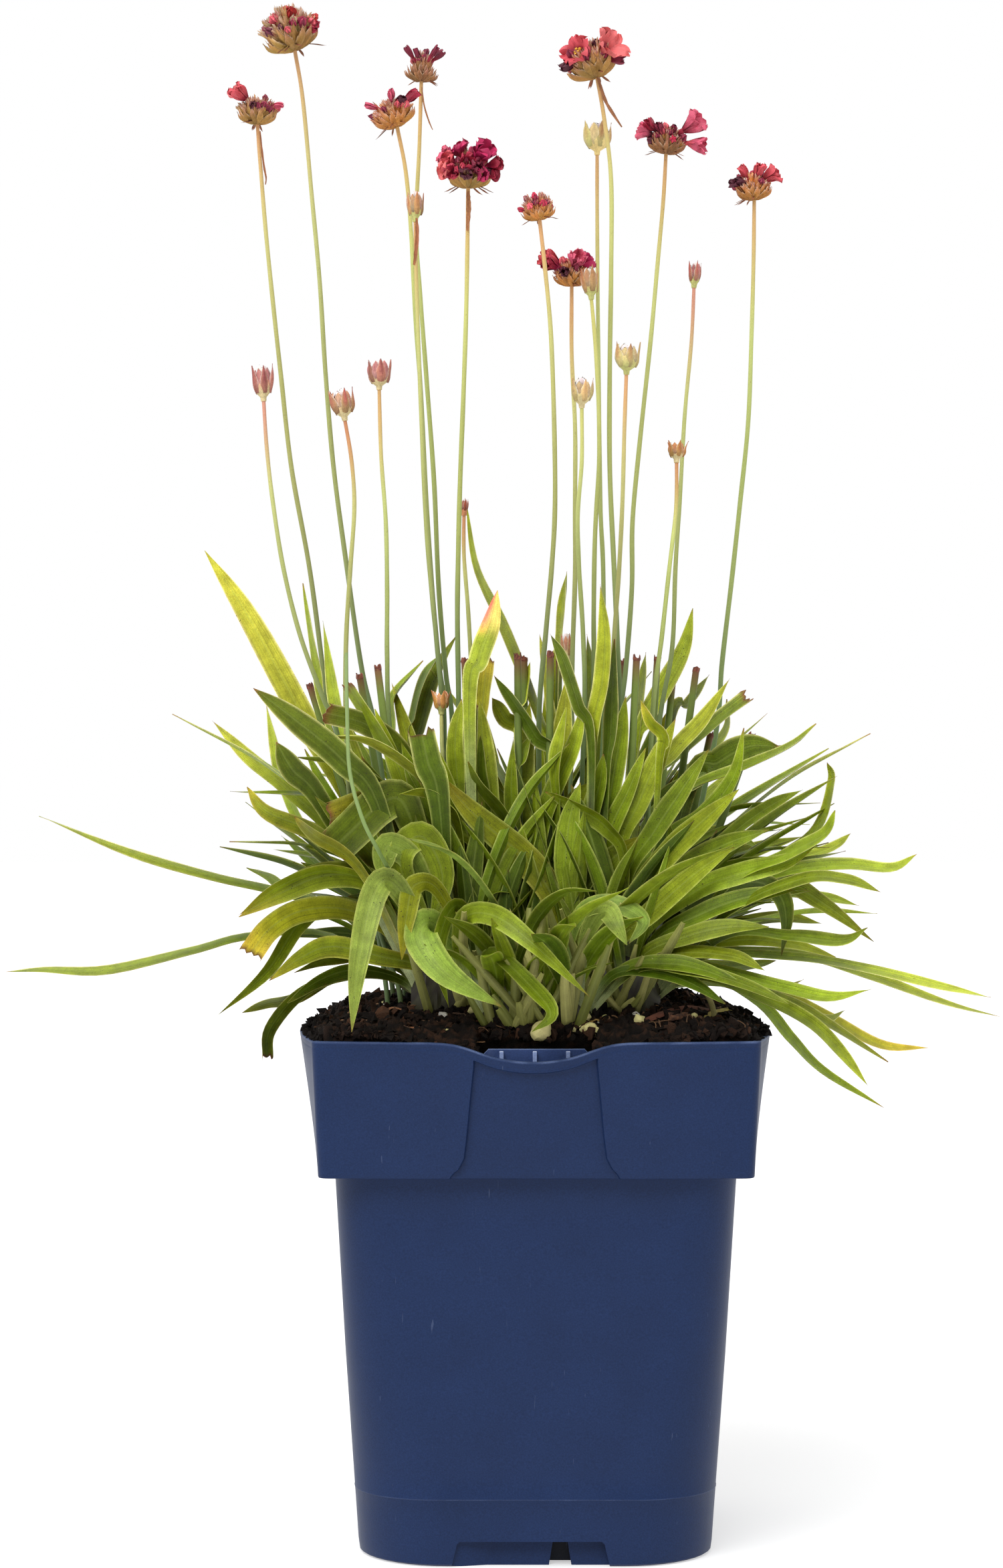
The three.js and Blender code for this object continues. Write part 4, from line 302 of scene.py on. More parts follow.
# Heads: lane, root x, depth, radius and tilt of the head, and places u, v of the stem from its neck down;
# calyces and closed or withered florets in them, hues of the bracts and of the calyces, how far the calyces
# lean out (radians) and how far they rise, as a share of the head's radius; then the standing florets:
# place u, v of the mouth, how far in front of the head's middle, petal length and width (mm), lean of the
# petals at the claw and the tip (degrees), inner and outer hue
HEADS = {
    "tall_left": ("b1", -40, 8, 8.6, -8,
        (441, 76, 453, 150, 466, 290, 478, 420, 487, 560, 499, 700, 519, 850, 541, 1000, 563, 1100),
        48, 34, "olive_tan", "green_tan", 1.3, 1, [
        (432, 27, 3, 4.6, 3.6, 26, -22, "brick", "brick"),
        (417, 40, 3, 2.8, 2.4, 20, -14, "brick", "crimson"),
        (467, 28, 2, 2.8, 2.2, 20, -16, "brick", "crimson"),
        (467, 43, 4, 2.4, 2, 16, -10, "crimson", "crimson")]),
    "left": ("b2", -44, 38, 6.4, 6,
        (385, 186, 389, 240, 397, 340, 408, 450, 420, 560, 436, 700, 463, 850, 483, 1000, 496, 1100),
        34, 10, "olive_tan", "olive_tan", 1.35, 0.8, [
        (362, 142, 3, 4.8, 4.2, 14, 12, "coral", "crimson"),
        (358, 141, 1, 3.6, 3, 12, 20, "salmon", "coral"),
        (413, 158, 2, 3.4, 1.8, 10, -8, "pink", "coral"),
        (381, 158, 4, 3, 2.6, 18, -8, "maroon", "maroon")]),
    "mid_left": ("b1", -28, 12, 6.6, -10,
        (594, 190, 607, 258, 615, 350, 621, 470, 629, 580, 636, 720, 644, 850, 655, 980, 664, 1070),
        32, 7, "orange_tan", "orange_tan", 1.3, 0.8, [
        (612, 146, 3, 4.2, 2.8, 16, -10, "crimson", "pink"),
        (585, 146, 4, 3.6, 1.8, 12, -8, "pink", "pink"),
        (598, 152, 4, 3, 2.6, 20, -6, "maroon", "maroon"),
        (557, 160, 2, 3, 1.6, 10, -6, "pink", "coral")]),
    "high_mid": ("b2", -24, 42, 5, 2,
        (630, 122, 627, 220, 622, 340, 629, 450, 638, 570, 649, 720, 656, 880, 667, 1010, 676, 1080),
        20, 18, "brown_tan", "brown_tan", 0.7, 1.2, [
        (613, 80, 2, 3.4, 1.6, 10, -8, "wine", "crimson"),
        (625, 84, 3, 3.2, 1.6, 8, -8, "wine", "maroon"),
        (648, 80, 2, 3.4, 1.6, 10, -8, "wine", "crimson"),
        (656, 84, 0, 3, 1.6, 14, -6, "wine", "crimson"),
        (636, 84, -2, 3.2, 1.8, 6, -6, "wine", "maroon")]),
    "red_middle": ("f2", -22, -22, 7, 1,
        (700, 281, 699, 360, 697, 470, 693, 590, 688, 720, 685, 840, 684, 930, 686, 1060),
        44, 42, "olive_tan", "olive_tan", 1.45, 0.95, [
        (690, 231, 2, 4.2, 4.9, 14, 44, "magenta", "coral"),
        (717, 235, 4, 5.6, 5.6, 18, 26, "magenta", "crimson"),
        (673, 254, 4, 3.8, 3.8, 18, 26, "salmon", "coral"),
        (671, 236, 1, 3.7, 3.8, 18, 34, "pink", "coral"),
        (733, 259, 2, 3.3, 3.6, 16, 22, "crimson", "crimson"),
        (719, 259, 6, 2.6, 4, 24, 10, "magenta", "wine"),
        (703, 243, -2, 3.7, 4, 14, 20, "wine", "crimson"),
        (698, 257, 6, 2.6, 3.4, 20, 6, "maroon", "wine"),
        (700, 246, 5, 4.2, 4, 16, 24, "crimson", "wine"),
        (681, 256, 6, 3.6, 3.6, 18, 20, "crimson", "wine"),
        (712, 250, 6, 3.6, 3.4, 18, 16, "wine", "wine"),
        (733, 247, 3, 4.2, 3.6, 16, 24, "crimson", "magenta"),
        (676, 242, 4, 4, 3.6, 16, 30, "coral", "magenta"),
        (707, 238, 3, 4.2, 3.6, 16, 24, "magenta", "crimson")]),
    "small_brown": ("f1", 2, -30, 4.9, -4,
        (807, 329, 815, 400, 824, 500, 829, 640, 830, 760, 825, 850, 816, 950, 806, 1080),
        34, 16, "orange_tan", "orange_tan", 1.35, 1.1, []),
    "low_red": ("b1", 10, 6, 5.6, 0,
        (855, 428, 855, 530, 860, 640, 860, 750, 860, 860, 856, 980, 854, 1080),
        34, 16, "orange_tan", "orange_tan", 1.3, 0.85, [
        (830, 392, 2, 5.6, 3.6, 14, 20, "coral", "magenta"),
        (824, 396, 4, 3.6, 3.2, 20, 30, "crimson", "magenta"),
        (860, 396, 3, 5.2, 3.8, 14, 26, "pink", "crimson"),
        (872, 394, 1, 4.4, 3.6, 14, 30, "magenta", "crimson"),
        (846, 406, 5, 2.8, 2.6, 16, 0, "maroon", "maroon")]),
    "high_right": ("f1", 22, -4, 7.8, -10,
        (893, 116, 904, 180, 914, 270, 914, 410, 912, 550, 912, 700, 918, 840, 923, 950, 926, 1070),
        44, 32, "olive_tan", "olive_tan", 1.35, 0.9, [
        (866, 78, 5, 5.4, 4.8, 22, 62, "coral", "crimson"),
        (904, 74, 5, 7.2, 4.4, 16, 58, "salmon", "coral"),
        (850, 98, 4, 3.6, 2.6, 14, -6, "maroon", "wine"),
        (889, 74, 3, 4, 2.6, 12, -8, "maroon", "wine"),
        (921, 88, 3, 3.8, 2.8, 14, -2, "wine", "crimson")]),
    "right": ("b1", 25, 30, 6, 4,
        (996, 230, 992, 300, 983, 400, 973, 510, 957, 660, 946, 780, 945, 880, 936, 1000, 928, 1080),
        38, 22, "brown_tan", "olive_tan", 1.35, 0.85, [
        (1031, 190, 3, 5.8, 4.4, 12, 34, "pink", "crimson"),
        (1040, 216, 4, 4.6, 3.4, 10, 36, "pink", "coral"),
        (966, 198, 2, 4.2, 3.2, 12, 30, "pink", "maroon"),
        (976, 190, 3, 4, 2.6, 12, 8, "crimson", "maroon"),
        (989, 194, 4, 3.6, 2.2, 12, -8, "wine", "maroon"),
        (1004, 198, 3, 3.6, 2.2, 12, -8, "wine", "maroon")]),
    "far_right": ("b1", 42, 18, 5.6, -6,
        (1128, 299, 1127, 390, 1124, 500, 1119, 630, 1107, 750, 1094, 870, 1080, 990, 1070, 1100),
        32, 14, "orange_tan", "orange_tan", 1.3, 0.9, [
        (1115, 260, 2, 3.8, 2.6, 14, -2, "coral", "coral"),
        (1133, 260, 3, 4.4, 2.8, 12, 8, "coral", "crimson"),
        (1149, 264, 1, 4.4, 3.6, 12, 30, "coral", "coral"),
        (1099, 274, 3, 2.8, 2.2, 14, -4, "maroon", "wine"),
        (1109, 272, 4, 2.8, 2.2, 14, -4, "maroon", "maroon")]),
}

# Buds: lane, root x, depth, radius and height of the bud, places u, v of the stem from its neck down, and
# the hues of the bud's foot, of its scales, of their tips and of the stem under it
BUDS = {
    "bud_pair": ("f1", -27, -6, 2.5, 8,
        (621, 326, 622, 400, 626, 520, 631, 650, 637, 780, 645, 880, 653, 960, 662, 1080), "lime", "peach",
         "rust", "sand"),
    "bud_low_mid": ("f1", 15, -16, 2.7, 8.5,
        (884, 442, 890, 510, 895, 600, 896, 690, 890, 800, 888, 920, 888, 1040), "lime", "peach", "rust",
         "straw_stem"),
    "bud_high_right": ("b1", 18, 14, 4.2, 8.8,
        (893, 226, 893, 310, 894, 450, 896, 620, 898, 760, 902, 850, 903, 980, 904, 1060), "lime_peach",
         "butter", "rust", "sand"),
    "bud_far_right": ("b2", 34, 44, 2, 7,
        (1038, 425, 1034, 510, 1024, 620, 1017, 740, 1010, 850, 1005, 970, 985, 1090), "lime", "rose",
         "rose_tip", "rose_stem"),
    "bud_right": ("f2", 21, -45, 3.6, 8,
        (937, 554, 934, 640, 931, 750, 926, 850, 919, 950, 914, 1060), "lime", "lime_peach", "rust",
         "sand"),
    "bud_mid": ("f2", 12, -38, 3.2, 7.6,
        (870, 604, 870, 690, 864, 770, 866, 850, 872, 950, 874, 1060), "straw", "lime_peach", "rust",
         "straw_stem"),
    "bud_dry": ("f1", 32, -12, 2.6, 5.4,
        (1012, 686, 1011, 760, 1001, 850, 990, 950, 976, 1070), "straw", "orange_tan", "rust", "rust_stem"),
    "bud_left": ("f1", -44, -25, 3, 9.6,
        (394, 594, 399, 670, 408, 750, 424, 850, 449, 950, 482, 1040, 505, 1100), "straw", "rose", "wine",
         "rose_stem"),
    "bud_front_left": ("f2", -40, -40, 3.4, 8,
        (515, 623, 526, 690, 530, 760, 524, 850, 518, 950, 517, 1050, 522, 1180, 540, 1290), "straw",
         "peach", "rose_tip", "rust_stem"),
    "bud_mid_left": ("f1", -36, -14, 3.5, 7.8,
        (567, 577, 570, 680, 577, 780, 579, 880, 579, 980, 583, 1090), "straw", "rose", "wine", "sand"),
    "tip_dry": ("b1", -19, 14, 1.1, 4,
        (694, 765, 694, 830, 700, 910, 705, 1000, 708, 1080), "rust_stem", "rust", "rust", "rust_stem"),
    "bud_low_orange": ("f2", -30, -24, 2.4, 6,
        (660, 1062, 661, 1110, 662, 1160), "lime", "amber", "rust", "straw_stem"),
    "bud_low_pale": ("b2", 8, 20, 2, 7.6,
        (850, 984, 853, 1040, 856, 1110), "straw", "peach", "rose_tip", "straw_stem"),
}
HEAD_COLUMNS = ("lane", "root", "depth", "radius", "tilt", "stem", "calyces", "withered", "bract_hue",
                "calyx_hue", "spread", "tall", "florets")
BUD_COLUMNS = ("lane", "root", "depth", "radius", "height", "stem", "foot", "scale", "tip", "top")
HEADS = {name: dict(zip(HEAD_COLUMNS, row)) for name, row in HEADS.items()}
BUDS = {name: dict(zip(BUD_COLUMNS, row)) for name, row in BUDS.items()}
for data in [*HEADS.values(), *BUDS.values()]:
    data["stem"] = np.reshape(data["stem"], (-1, 2))


def dye(*levels):
    """Linear colour of an everyday 0..255 colour: the screen's tone curve, undone."""
    share = np.array(levels) / 255.0
    return np.where(share <= 0.04045, share / 12.92, ((share + 0.055) / 1.055) ** 2.4)


HUES = {name: dye(*levels) for name, levels in {
    "coral": (208, 78, 88), "salmon": (220, 108, 108), "pink": (208, 88, 114), "magenta": (176, 36, 84),
    "crimson": (158, 36, 60), "wine": (122, 36, 58), "maroon": (84, 34, 48), "brick": (176, 48, 46),
    "olive_tan": (192, 146, 78), "green_tan": (170, 142, 84), "orange_tan": (214, 144, 72),
    "brown_tan": (166, 116, 74), "butter": (232, 212, 140), "straw": (212, 194, 146), "lime": (188, 186, 116),
    "lime_peach": (224, 200, 134), "peach": (212, 156, 108), "rose": (196, 112, 104),
    "rose_tip": (188, 78, 88), "rust": (168, 80, 58), "amber": (220, 150, 70), "silk": (240, 232, 224),
    "sand": (202, 154, 104), "straw_stem": (196, 190, 112), "rose_stem": (208, 140, 120),
    "rust_stem": (192, 128, 92), "stem_low": (100, 120, 74), "stem_mid": (158, 164, 96),
    "stem_high": (190, 192, 118), "brown": (116, 70, 48), "pale_foot": (190, 198, 148),
    "pollen": (228, 176, 60), "peat": (17, 12, 9), "peat_dry": (78, 52, 36), "perlite": (214, 208, 196),
    "prill": (206, 196, 132), "bark_dark": (54, 34, 24), "bark_light": (116, 76, 50),
}.items()}
# Green leaves: bright, middle, dark and pale (bright and dark are partly painted light and painted shade);
# old ones: yellow, olive and going; fiery tip; russet
LEAF_TONES = {
    "b": dye(118, 134, 24), "m": dye(98, 115, 16), "d": dye(70, 88, 12), "p": dye(112, 130, 50),
    "y": dye(146, 142, 22), "o": dye(110, 116, 16), "g": dye(104, 120, 16), "f": dye(98, 114, 20),
    "r": dye(170, 100, 44),
}


def unit(ways):
    """The same directions, one long."""
    return ways / np.maximum(np.linalg.norm(ways, axis=-1, keepdims=True), 1e-9)


def smooth(low, high, values):
    """0 below low, 1 above high, and an even S between: 3 s squared less 2 s cubed."""
    share = np.clip((values - low) / (high - low), 0, 1)
    return share * share * (3 - 2 * share)


def mixed(first, second, share):
    """first where the share is 0, second where it is 1."""
    return first + (second - first) * share


def evenly(count, low=0.0, high=1.0):
    """Even steps from low to high."""
    return np.linspace(low, high, count)


def around(count):
    """Even angles once round, in radians."""
    return np.linspace(0, 2 * np.pi, count, endpoint=False)


def eased(columns):
    """Stops from -1 to 1 across a strap, closer together at its edges: the sine of even angles."""
    return np.sin(evenly(columns, -np.pi / 2, np.pi / 2))


def column(values):
    """Values that stand one to a shape, to be used over its stations and columns."""
    return np.asarray(values)[:, None, None]


def draw(index, use):
    """An even draw for one use: what is left of a half plus the index times the use's step."""
    return (0.5 + index * STEPS[use]) % 1


def seen(place, depth):
    """Place (u, v) of the view brought to a depth: it moves along its line of sight from the eye."""
    u, v = np.asarray(place, float).T
    reach = (depth - EYE[1]) / FOCAL
    return np.stack([EYE[0] + (u - MIDDLE_U) * reach, depth + 0 * u,
                     EYE[2] - (v - MIDDLE_V) * reach], -1)


def curve(points, shares):
    """A smooth curve through the points, each span the same share: cubic spans whose slopes at a
    point are half the step between its neighbours."""
    points = np.asarray(points, float)
    spans = len(points) - 1
    line = np.vstack([2 * points[0] - points[1], points, 2 * points[-1] - points[-2]])
    at = np.clip(np.asarray(shares) * spans, 0, spans - 1e-9)
    i = at.astype(int)
    w = (at - i)[:, None]
    a, b, c, d = line[i], line[i + 1], line[i + 2], line[i + 3]
    out, into = (c - a) / 2, (d - b) / 2
    return (2 * b - 2 * c + out + into) * w**3 + (3 * c - 3 * b - 2 * out - into) * w**2 + out * w + b


def waves(places, pitch, seed, count=20):
    """Smooth noise about -1..1: a sum of sine waves of about one pitch in drawn directions."""
    rng = np.random.default_rng(seed)
    ways = unit(rng.normal(size=(count, 3))) * (2 * np.pi / pitch * rng.uniform(0.6, 1.5, count))[:, None]
    return np.sin(places @ ways.T + rng.uniform(0, 6.28, count)).sum(-1) / math.sqrt(count)


def turned_flat(places, degrees):
    """Places turned about +Z."""
    c, s = math.cos(math.radians(degrees)), math.sin(math.radians(degrees))
    return places @ np.array([[c, s, 0], [-s, c, 0], [0, 0, 1]])


def placed(name, data, place=(0, 0, 0), turn=(0, 0, 0)):
    """A thing of the scene, put in its place and turned."""
    thing = bpy.data.objects.new(name, data)
    bpy.context.scene.collection.objects.link(thing)
    thing.location, thing.rotation_euler = place, turn
    return thing


def turned_over(faces):
    """The same faces seen from their other side."""
    return np.where(faces[:, 3:] < 0, faces[:, [0, 2, 1, 3]], faces[:, [0, 3, 2, 1]])


class Skin:
    """The corners, faces, shades and maps of one piece, gathered from its surfaces."""

    def __init__(self):
        self.places, self.faces, self.shades, self.maps, self.finishes = [], [], [], [], []
        self.count = 0

    def add(self, places, faces, shade, uv=None, finish=0):
        """Take surfaces of (n, 3) corners and (m, 4) faces, where -1 marks a face of three corners.
        The faces are turned over where the space inside them would count as negative."""
        places = places.reshape(-1, 3)
        a, b, c = (places[faces[:, k]] for k in range(3))
        d = np.where(faces[:, 3:] < 0, c, places[faces[:, 3]])
        if np.sum(a * np.cross(b, c)) + np.sum(a * np.cross(c, d)) < 0:
            faces = turned_over(faces)
        self.places.append(places)
        self.faces.append(np.where(faces < 0, -1, faces + self.count))
        self.shades.append(np.broadcast_to(shade, (len(places), 3)) if np.ndim(shade) == 1
                           else np.reshape(shade, (-1, 3)))
        self.maps.append(np.zeros((len(places), 2)) if uv is None else np.reshape(uv, (-1, 2)))
        self.finishes.append(np.full(len(faces), finish))
        self.count += len(places)

    def make(self, name, finishes, slot, nodes=(), crease=42):
        """The piece as a mesh object at the origin that rides on the body and stands for its nodes."""
        places = np.concatenate(self.places) * MM
        faces = np.concatenate(self.faces)
        corners = faces[faces >= 0]
        sides = (faces >= 0).sum(1)
        mesh = bpy.data.meshes.new(name)
        mesh.vertices.add(len(places))
        mesh.vertices.foreach_set("co", places.ravel())
        mesh.loops.add(len(corners))
        mesh.loops.foreach_set("vertex_index", corners)
        mesh.polygons.add(len(faces))
        mesh.polygons.foreach_set("loop_start", np.concatenate([[0], np.cumsum(sides)[:-1]]))
        mesh.polygons.foreach_set("material_index", np.concatenate(self.finishes))
        mesh.polygons.foreach_set("use_smooth", np.ones(len(faces), bool))
        mesh.update(calc_edges=True)
        mesh.uv_layers.new(name="own").data.foreach_set("uv", np.concatenate(self.maps)[corners].ravel())
        shades = np.concatenate(self.shades)
        tint = mesh.color_attributes.new("shade", "FLOAT_COLOR", "POINT")
        tint.data.foreach_set("color", np.column_stack([shades, np.ones(len(shades))]).ravel())
        mesh.validate()
        mesh.set_sharp_from_angle(angle=math.radians(crease))
        for finish in finishes:
            mesh.materials.append(finish)
        piece = placed(name, mesh)
        if nodes:
            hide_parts(*nodes)
        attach(piece, "root")
        return piece


def repeated(faces, copies, corners):
    """The same faces for each copy, each copy's corners following the last one's."""
    moved = faces[None] + (np.arange(copies) * corners)[:, None, None]
    return np.where(faces[None] < 0, -1, moved).reshape(-1, 4)


def wall_faces(rings, sides):
    """Four-sided faces between neighbouring rings, closed around."""
    i, k = (grid.ravel() for grid in np.meshgrid(np.arange(rings - 1), np.arange(sides), indexing="ij"))
    n = (k + 1) % sides
    return np.stack([i * sides + k, i * sides + n, (i + 1) * sides + n, (i + 1) * sides + k], -1)


def tube_faces(rings, sides):
    """Walls between rings and a fan of three-sided faces to a pole at each end."""
    k = np.arange(sides)
    n = (k + 1) % sides
    top, none = (rings - 1) * sides, np.full(sides, -1)
    low = np.stack([n, k, np.full(sides, rings * sides), none], -1)
    high = np.stack([top + k, top + n, np.full(sides, rings * sides + 1), none], -1)
    return np.concatenate([wall_faces(rings, sides), low, high])


def strap_faces(stations, columns):
    """Walls round a strap whose ring runs over its upper side and back under it, capped at the ends."""
    ring = 2 * columns - 2
    k = np.arange(columns - 1)
    under = np.where(np.arange(columns) % (columns - 1) == 0, np.arange(columns), ring - np.arange(columns))
    cap = np.stack([k, under[k], under[k + 1], k + 1], -1)
    cap[0] = [0, under[1], 1, -1]
    cap[-1] = [columns - 2, under[columns - 2], columns - 1, -1]
    last = turned_over(np.where(cap < 0, -1, cap + (stations - 1) * ring))
    return np.concatenate([wall_faces(stations, ring), cap, last])


def straps(skin, spine, across, half, shade, fold=0.12, keel=0.0, thick=0.4, finish=0, wave=0.0,
           pull=0.0, under=0.85):
    """Closed straps. Spine and across are (n, stations, 3), half is (n, stations), and shade is
    (n, stations, columns, 3). Across the strap u runs -1..1; the upper side rises by half x fold x
    |u|^1.5 plus the wave, and the lower side lies below it by thick x the root of 1 - 0.95 u^2,
    plus a keel that falls off as a bell. Pull moves corners along the strap."""
    count, stations, columns = shade.shape[:3]
    u = eased(columns)
    along = unit(np.gradient(spine, axis=1))
    above = unit(np.cross(along, across))
    wide = half[..., None]
    height = wide * fold * np.abs(u) ** 1.5 - thick / 2 + wave
    depth = thick * np.sqrt(1 - 0.95 * u * u) + keel * np.exp(-((u / 0.16) ** 2))
    depth = depth * np.minimum(1, wide / (0.6 * wide.max(axis=1, keepdims=True)))
    flat = spine[:, :, None] + across[:, :, None] * (u * wide)[..., None]
    flat = flat + along[:, :, None] * (pull * np.ones_like(height))[..., None]
    upper = flat + above[:, :, None] * height[..., None]
    lower = upper - above[:, :, None] * depth[..., None]
    places = np.concatenate([upper, lower[:, :, -2:0:-1]], 2)
    shades = np.concatenate([shade, (shade * under)[:, :, -2:0:-1]], 2)
    t = evenly(stations)[:, None] + np.zeros((count, 1, 1))
    uv = np.stack(np.broadcast_arrays((u + 1) / 2, t), -1)
    uv = np.concatenate([uv, uv[:, :, -2:0:-1]], 2)
    corners = stations * (2 * columns - 2)
    skin.add(places, repeated(strap_faces(stations, columns), count, corners), shades, uv, finish)


def closed(skin, rings, shade, ends=None, end_shade=None, finish=0):
    """One shape closed round its (stations, sides, 3) rings, with a pole in the middle of each end."""
    ends = rings[[0, -1]].mean(1) if ends is None else ends
    if end_shade is not None:
        shade = np.concatenate([shade.reshape(-1, 3), end_shade])
    skin.add(np.concatenate([rings.reshape(-1, 3), ends]), tube_faces(*rings.shape[:2]), shade, None, finish)


def ringed(skin, ring, ends, shade, finish):
    """Many closed shapes from (n, stations, sides, 3) rings and the two (n, 3) poles of each."""
    count, stations, sides = ring.shape[:3]
    shade = np.broadcast_to(shade[:, :, None] if shade.ndim == 3 else shade, ring.shape)
    places = np.concatenate([ring.reshape(count, -1, 3), *(end[:, None] for end in ends)], 1)
    shades = np.concatenate([shade.reshape(count, -1, 3), shade[:, 0, :1], shade[:, -1, :1]], 1)
    uv = np.stack(np.broadcast_arrays(around(sides) / (2 * np.pi), evenly(stations)[:, None]), -1)
    uv = np.concatenate([np.broadcast_to(uv.reshape(1, -1, 2), (count, stations * sides, 2)),
                         np.zeros((count, 1, 2)), np.ones((count, 1, 2))], 1)
    skin.add(places, repeated(tube_faces(stations, sides), count, stations * sides + 2), shades, uv, finish)


def tubes(skin, spine, radius, shade, sides=10, finish=0):
    """Closed tubes: a ring of places at the radius about each station of the spine, square to the
    spine, and a pole at both ends. Spine is (n, stations, 3), radius (n, stations) or with sides."""
    along = unit(np.gradient(spine, axis=1))
    whole = unit(spine[:, -1] - spine[:, 0])
    helper = np.where(np.abs(whole[:, 1:2]) > 0.8, [[0.0, 0, 1]], [[0.0, 1, 0]])[:, None]
    across = unit(np.cross(helper, along))
    over, turn = np.cross(along, across), around(sides)
    radius = radius[..., None] if radius.ndim == 2 else radius
    ring = spine[:, :, None] + across[:, :, None] * (radius * np.cos(turn))[..., None]
    ring = ring + over[:, :, None] * (radius * np.sin(turn))[..., None]
    ringed(skin, ring, (spine[:, 0], spine[:, -1]), shade, finish)


def frames(axis, spin):
    """Two directions square to each axis and to each other, turned about it by the spin."""
    helper = np.where(np.abs(axis[:, 2:]) > 0.9, [[1.0, 0, 0]], [[0.0, 0, 1]])
    first = unit(np.cross(axis, helper))
    second = np.cross(axis, first)
    c, s = np.cos(spin)[:, None], np.sin(spin)[:, None]
    return first * c + second * s, second * c - first * s


def turned(skin, base, axis, spin, radius, rise, shade, finish=0):
    """Closed turned shapes: rings of (n, stations, sides) radii at (n, stations) heights along an
    axis from a base, with a pole at the first and the last height."""
    first, second = frames(axis, spin)
    turn = around(radius.shape[2])
    flat = first[:, None, :] * np.cos(turn)[:, None] + second[:, None, :] * np.sin(turn)[:, None]
    rise = rise if rise.ndim == 3 else rise[..., None] + 0 * radius
    ring = base[:, None, None] + axis[:, None, None] * rise[..., None] + flat[:, None] * radius[..., None]
    ringed(skin, ring, [base + axis * rise[:, k].mean(-1, keepdims=True) for k in (0, -1)], shade, finish)


# Finishes

def node(finish, kind, inputs=(), **settings):
    """A shader node with its settings, and its inputs set or joined to other nodes' outputs."""
    made = finish.node_tree.nodes.new("ShaderNode" + kind)
    for key, value in settings.items():
        setattr(made, key, value)
    for key, value in dict(inputs).items():
        if isinstance(value, bpy.types.NodeSocket):
            finish.node_tree.links.new(value, made.inputs[key])
        else:
            made.inputs[key].default_value = value
    return made


def sum_of(finish, operation, first, second):
    """One sum on two values, such as their product."""
    return node(finish, "Math", {0: first, 1: second}, operation=operation).outputs[0]


def noise(finish, where, pitch, detail=2.0, roughness=0.5):
    """Noise of about a pitch in mm, 0..1."""
    inputs = {"Vector": where, "Scale": 1000 / pitch, "Detail": detail, "Roughness": roughness}
    return node(finish, "TexNoise", inputs).outputs[0]


def swing(finish, value, amount):
    """1 plus the amount times how far a 0..1 value lies from its middle, doubled."""
    made = node(finish, "Math", {0: value, 1: 2 * amount, 2: 1 - amount}, operation="MULTIPLY_ADD")
    return made.outputs[0]


def above(finish, value, low, high):
    """0 below low and 1 above high."""
    inputs = {"Value": value, "From Min": low, "From Max": high}
    return node(finish, "MapRange", inputs, interpolation_type="SMOOTHSTEP").outputs[0]


def blended(finish, share, first, second):
    """The first colour, which gives way to the second as the share grows."""
    made = node(finish, "Mix", {0: share, 6: first, 7: second}, data_type="RGBA")
    return made.outputs[2]


def surface(name, roughness, mottle, grain, depth, veins=(0, 0), rib=0.0, specks=None, gloss=0.1,
            stretch=(1, 1, 1), **sockets):
    """A finish whose colour is the shade of each corner, times a soft mottle and a fine grain (pitch
    in mm, amount), times drawn out veins across the own map (how many, amount), with a pale rib along its
    middle and dark specks. The grain and the veins also raise the surface by the depth in mm."""
    finish = bpy.data.materials.new(name)
    finish.use_nodes = True
    shader = finish.node_tree.nodes["Principled BSDF"]
    for key, value in sockets.items():
        shader.inputs[key.replace("_", " ")].default_value = value
    where = node(finish, "TexCoord").outputs["Object"]
    if stretch != (1, 1, 1):
        where = node(finish, "Mapping", {"Vector": where, "Scale": stretch}).outputs[0]
    fine = noise(finish, where, grain[0], 3)
    soft = noise(finish, where, mottle[0], 2)
    level = sum_of(finish, "MULTIPLY", swing(finish, soft, mottle[1]), swing(finish, fine, grain[1]))
    height = fine
    if veins[1]:
        own = node(finish, "UVMap", uv_map="own").outputs[0]
        across = node(finish, "SeparateXYZ", {0: own}).outputs[0]
        off = sum_of(finish, "ABSOLUTE", sum_of(finish, "SUBTRACT", across, 0.5), 0)
        drawn = node(finish, "Mapping", {"Vector": own, "Scale": (veins[0], 1.2, 1)}).outputs[0]
        drift = node(finish, "VectorMath", {0: where, "Scale": 14.0}, operation="SCALE").outputs[0]
        drawn = node(finish, "VectorMath", {0: drawn, 1: drift}, operation="ADD").outputs[0]
        line = node(finish, "TexNoise", {"Vector": drawn, "Scale": 1.0, "Detail": 2.0}).outputs[0]
        level = sum_of(finish, "MULTIPLY", level, swing(finish, line, veins[1]))
        height = sum_of(finish, "ADD", fine, sum_of(finish, "MULTIPLY", line, 0.6))
    shade = node(finish, "Attribute", attribute_name="shade").outputs["Color"]
    colour = node(finish, "VectorMath", {0: shade, "Scale": level}, operation="SCALE").outputs[0]
    if rib:
        near = node(finish, "MapRange", {"Value": off, "From Min": 0.0, "From Max": 0.07, "To Min": rib,
                                         "To Max": 0.0}, interpolation_type="SMOOTHSTEP").outputs[0]
        colour = blended(finish, near, colour, (0.30, 0.36, 0.09, 1))
    if specks:
        pitch, amount, tint = specks
        spot = sum_of(finish, "MULTIPLY", above(finish, noise(finish, where, pitch, 1), 0.70, 0.735),
                      above(finish, noise(finish, where, pitch * 9, 1), 0.47, 0.56))
        colour = blended(finish, sum_of(finish, "MULTIPLY", spot, amount), colour, (*tint, 1))
    links = finish.node_tree.links
    links.new(colour, shader.inputs["Base Color"])
    rough = node(finish, "Math", {0: soft, 1: gloss, 2: roughness - gloss / 2}, operation="MULTIPLY_ADD")
    links.new(rough.outputs[0], shader.inputs["Roughness"])
    bump = node(finish, "Bump", {"Height": height, "Strength": 1.0, "Distance": depth * MM})
    links.new(bump.outputs[0], shader.inputs["Normal"])
    return finish


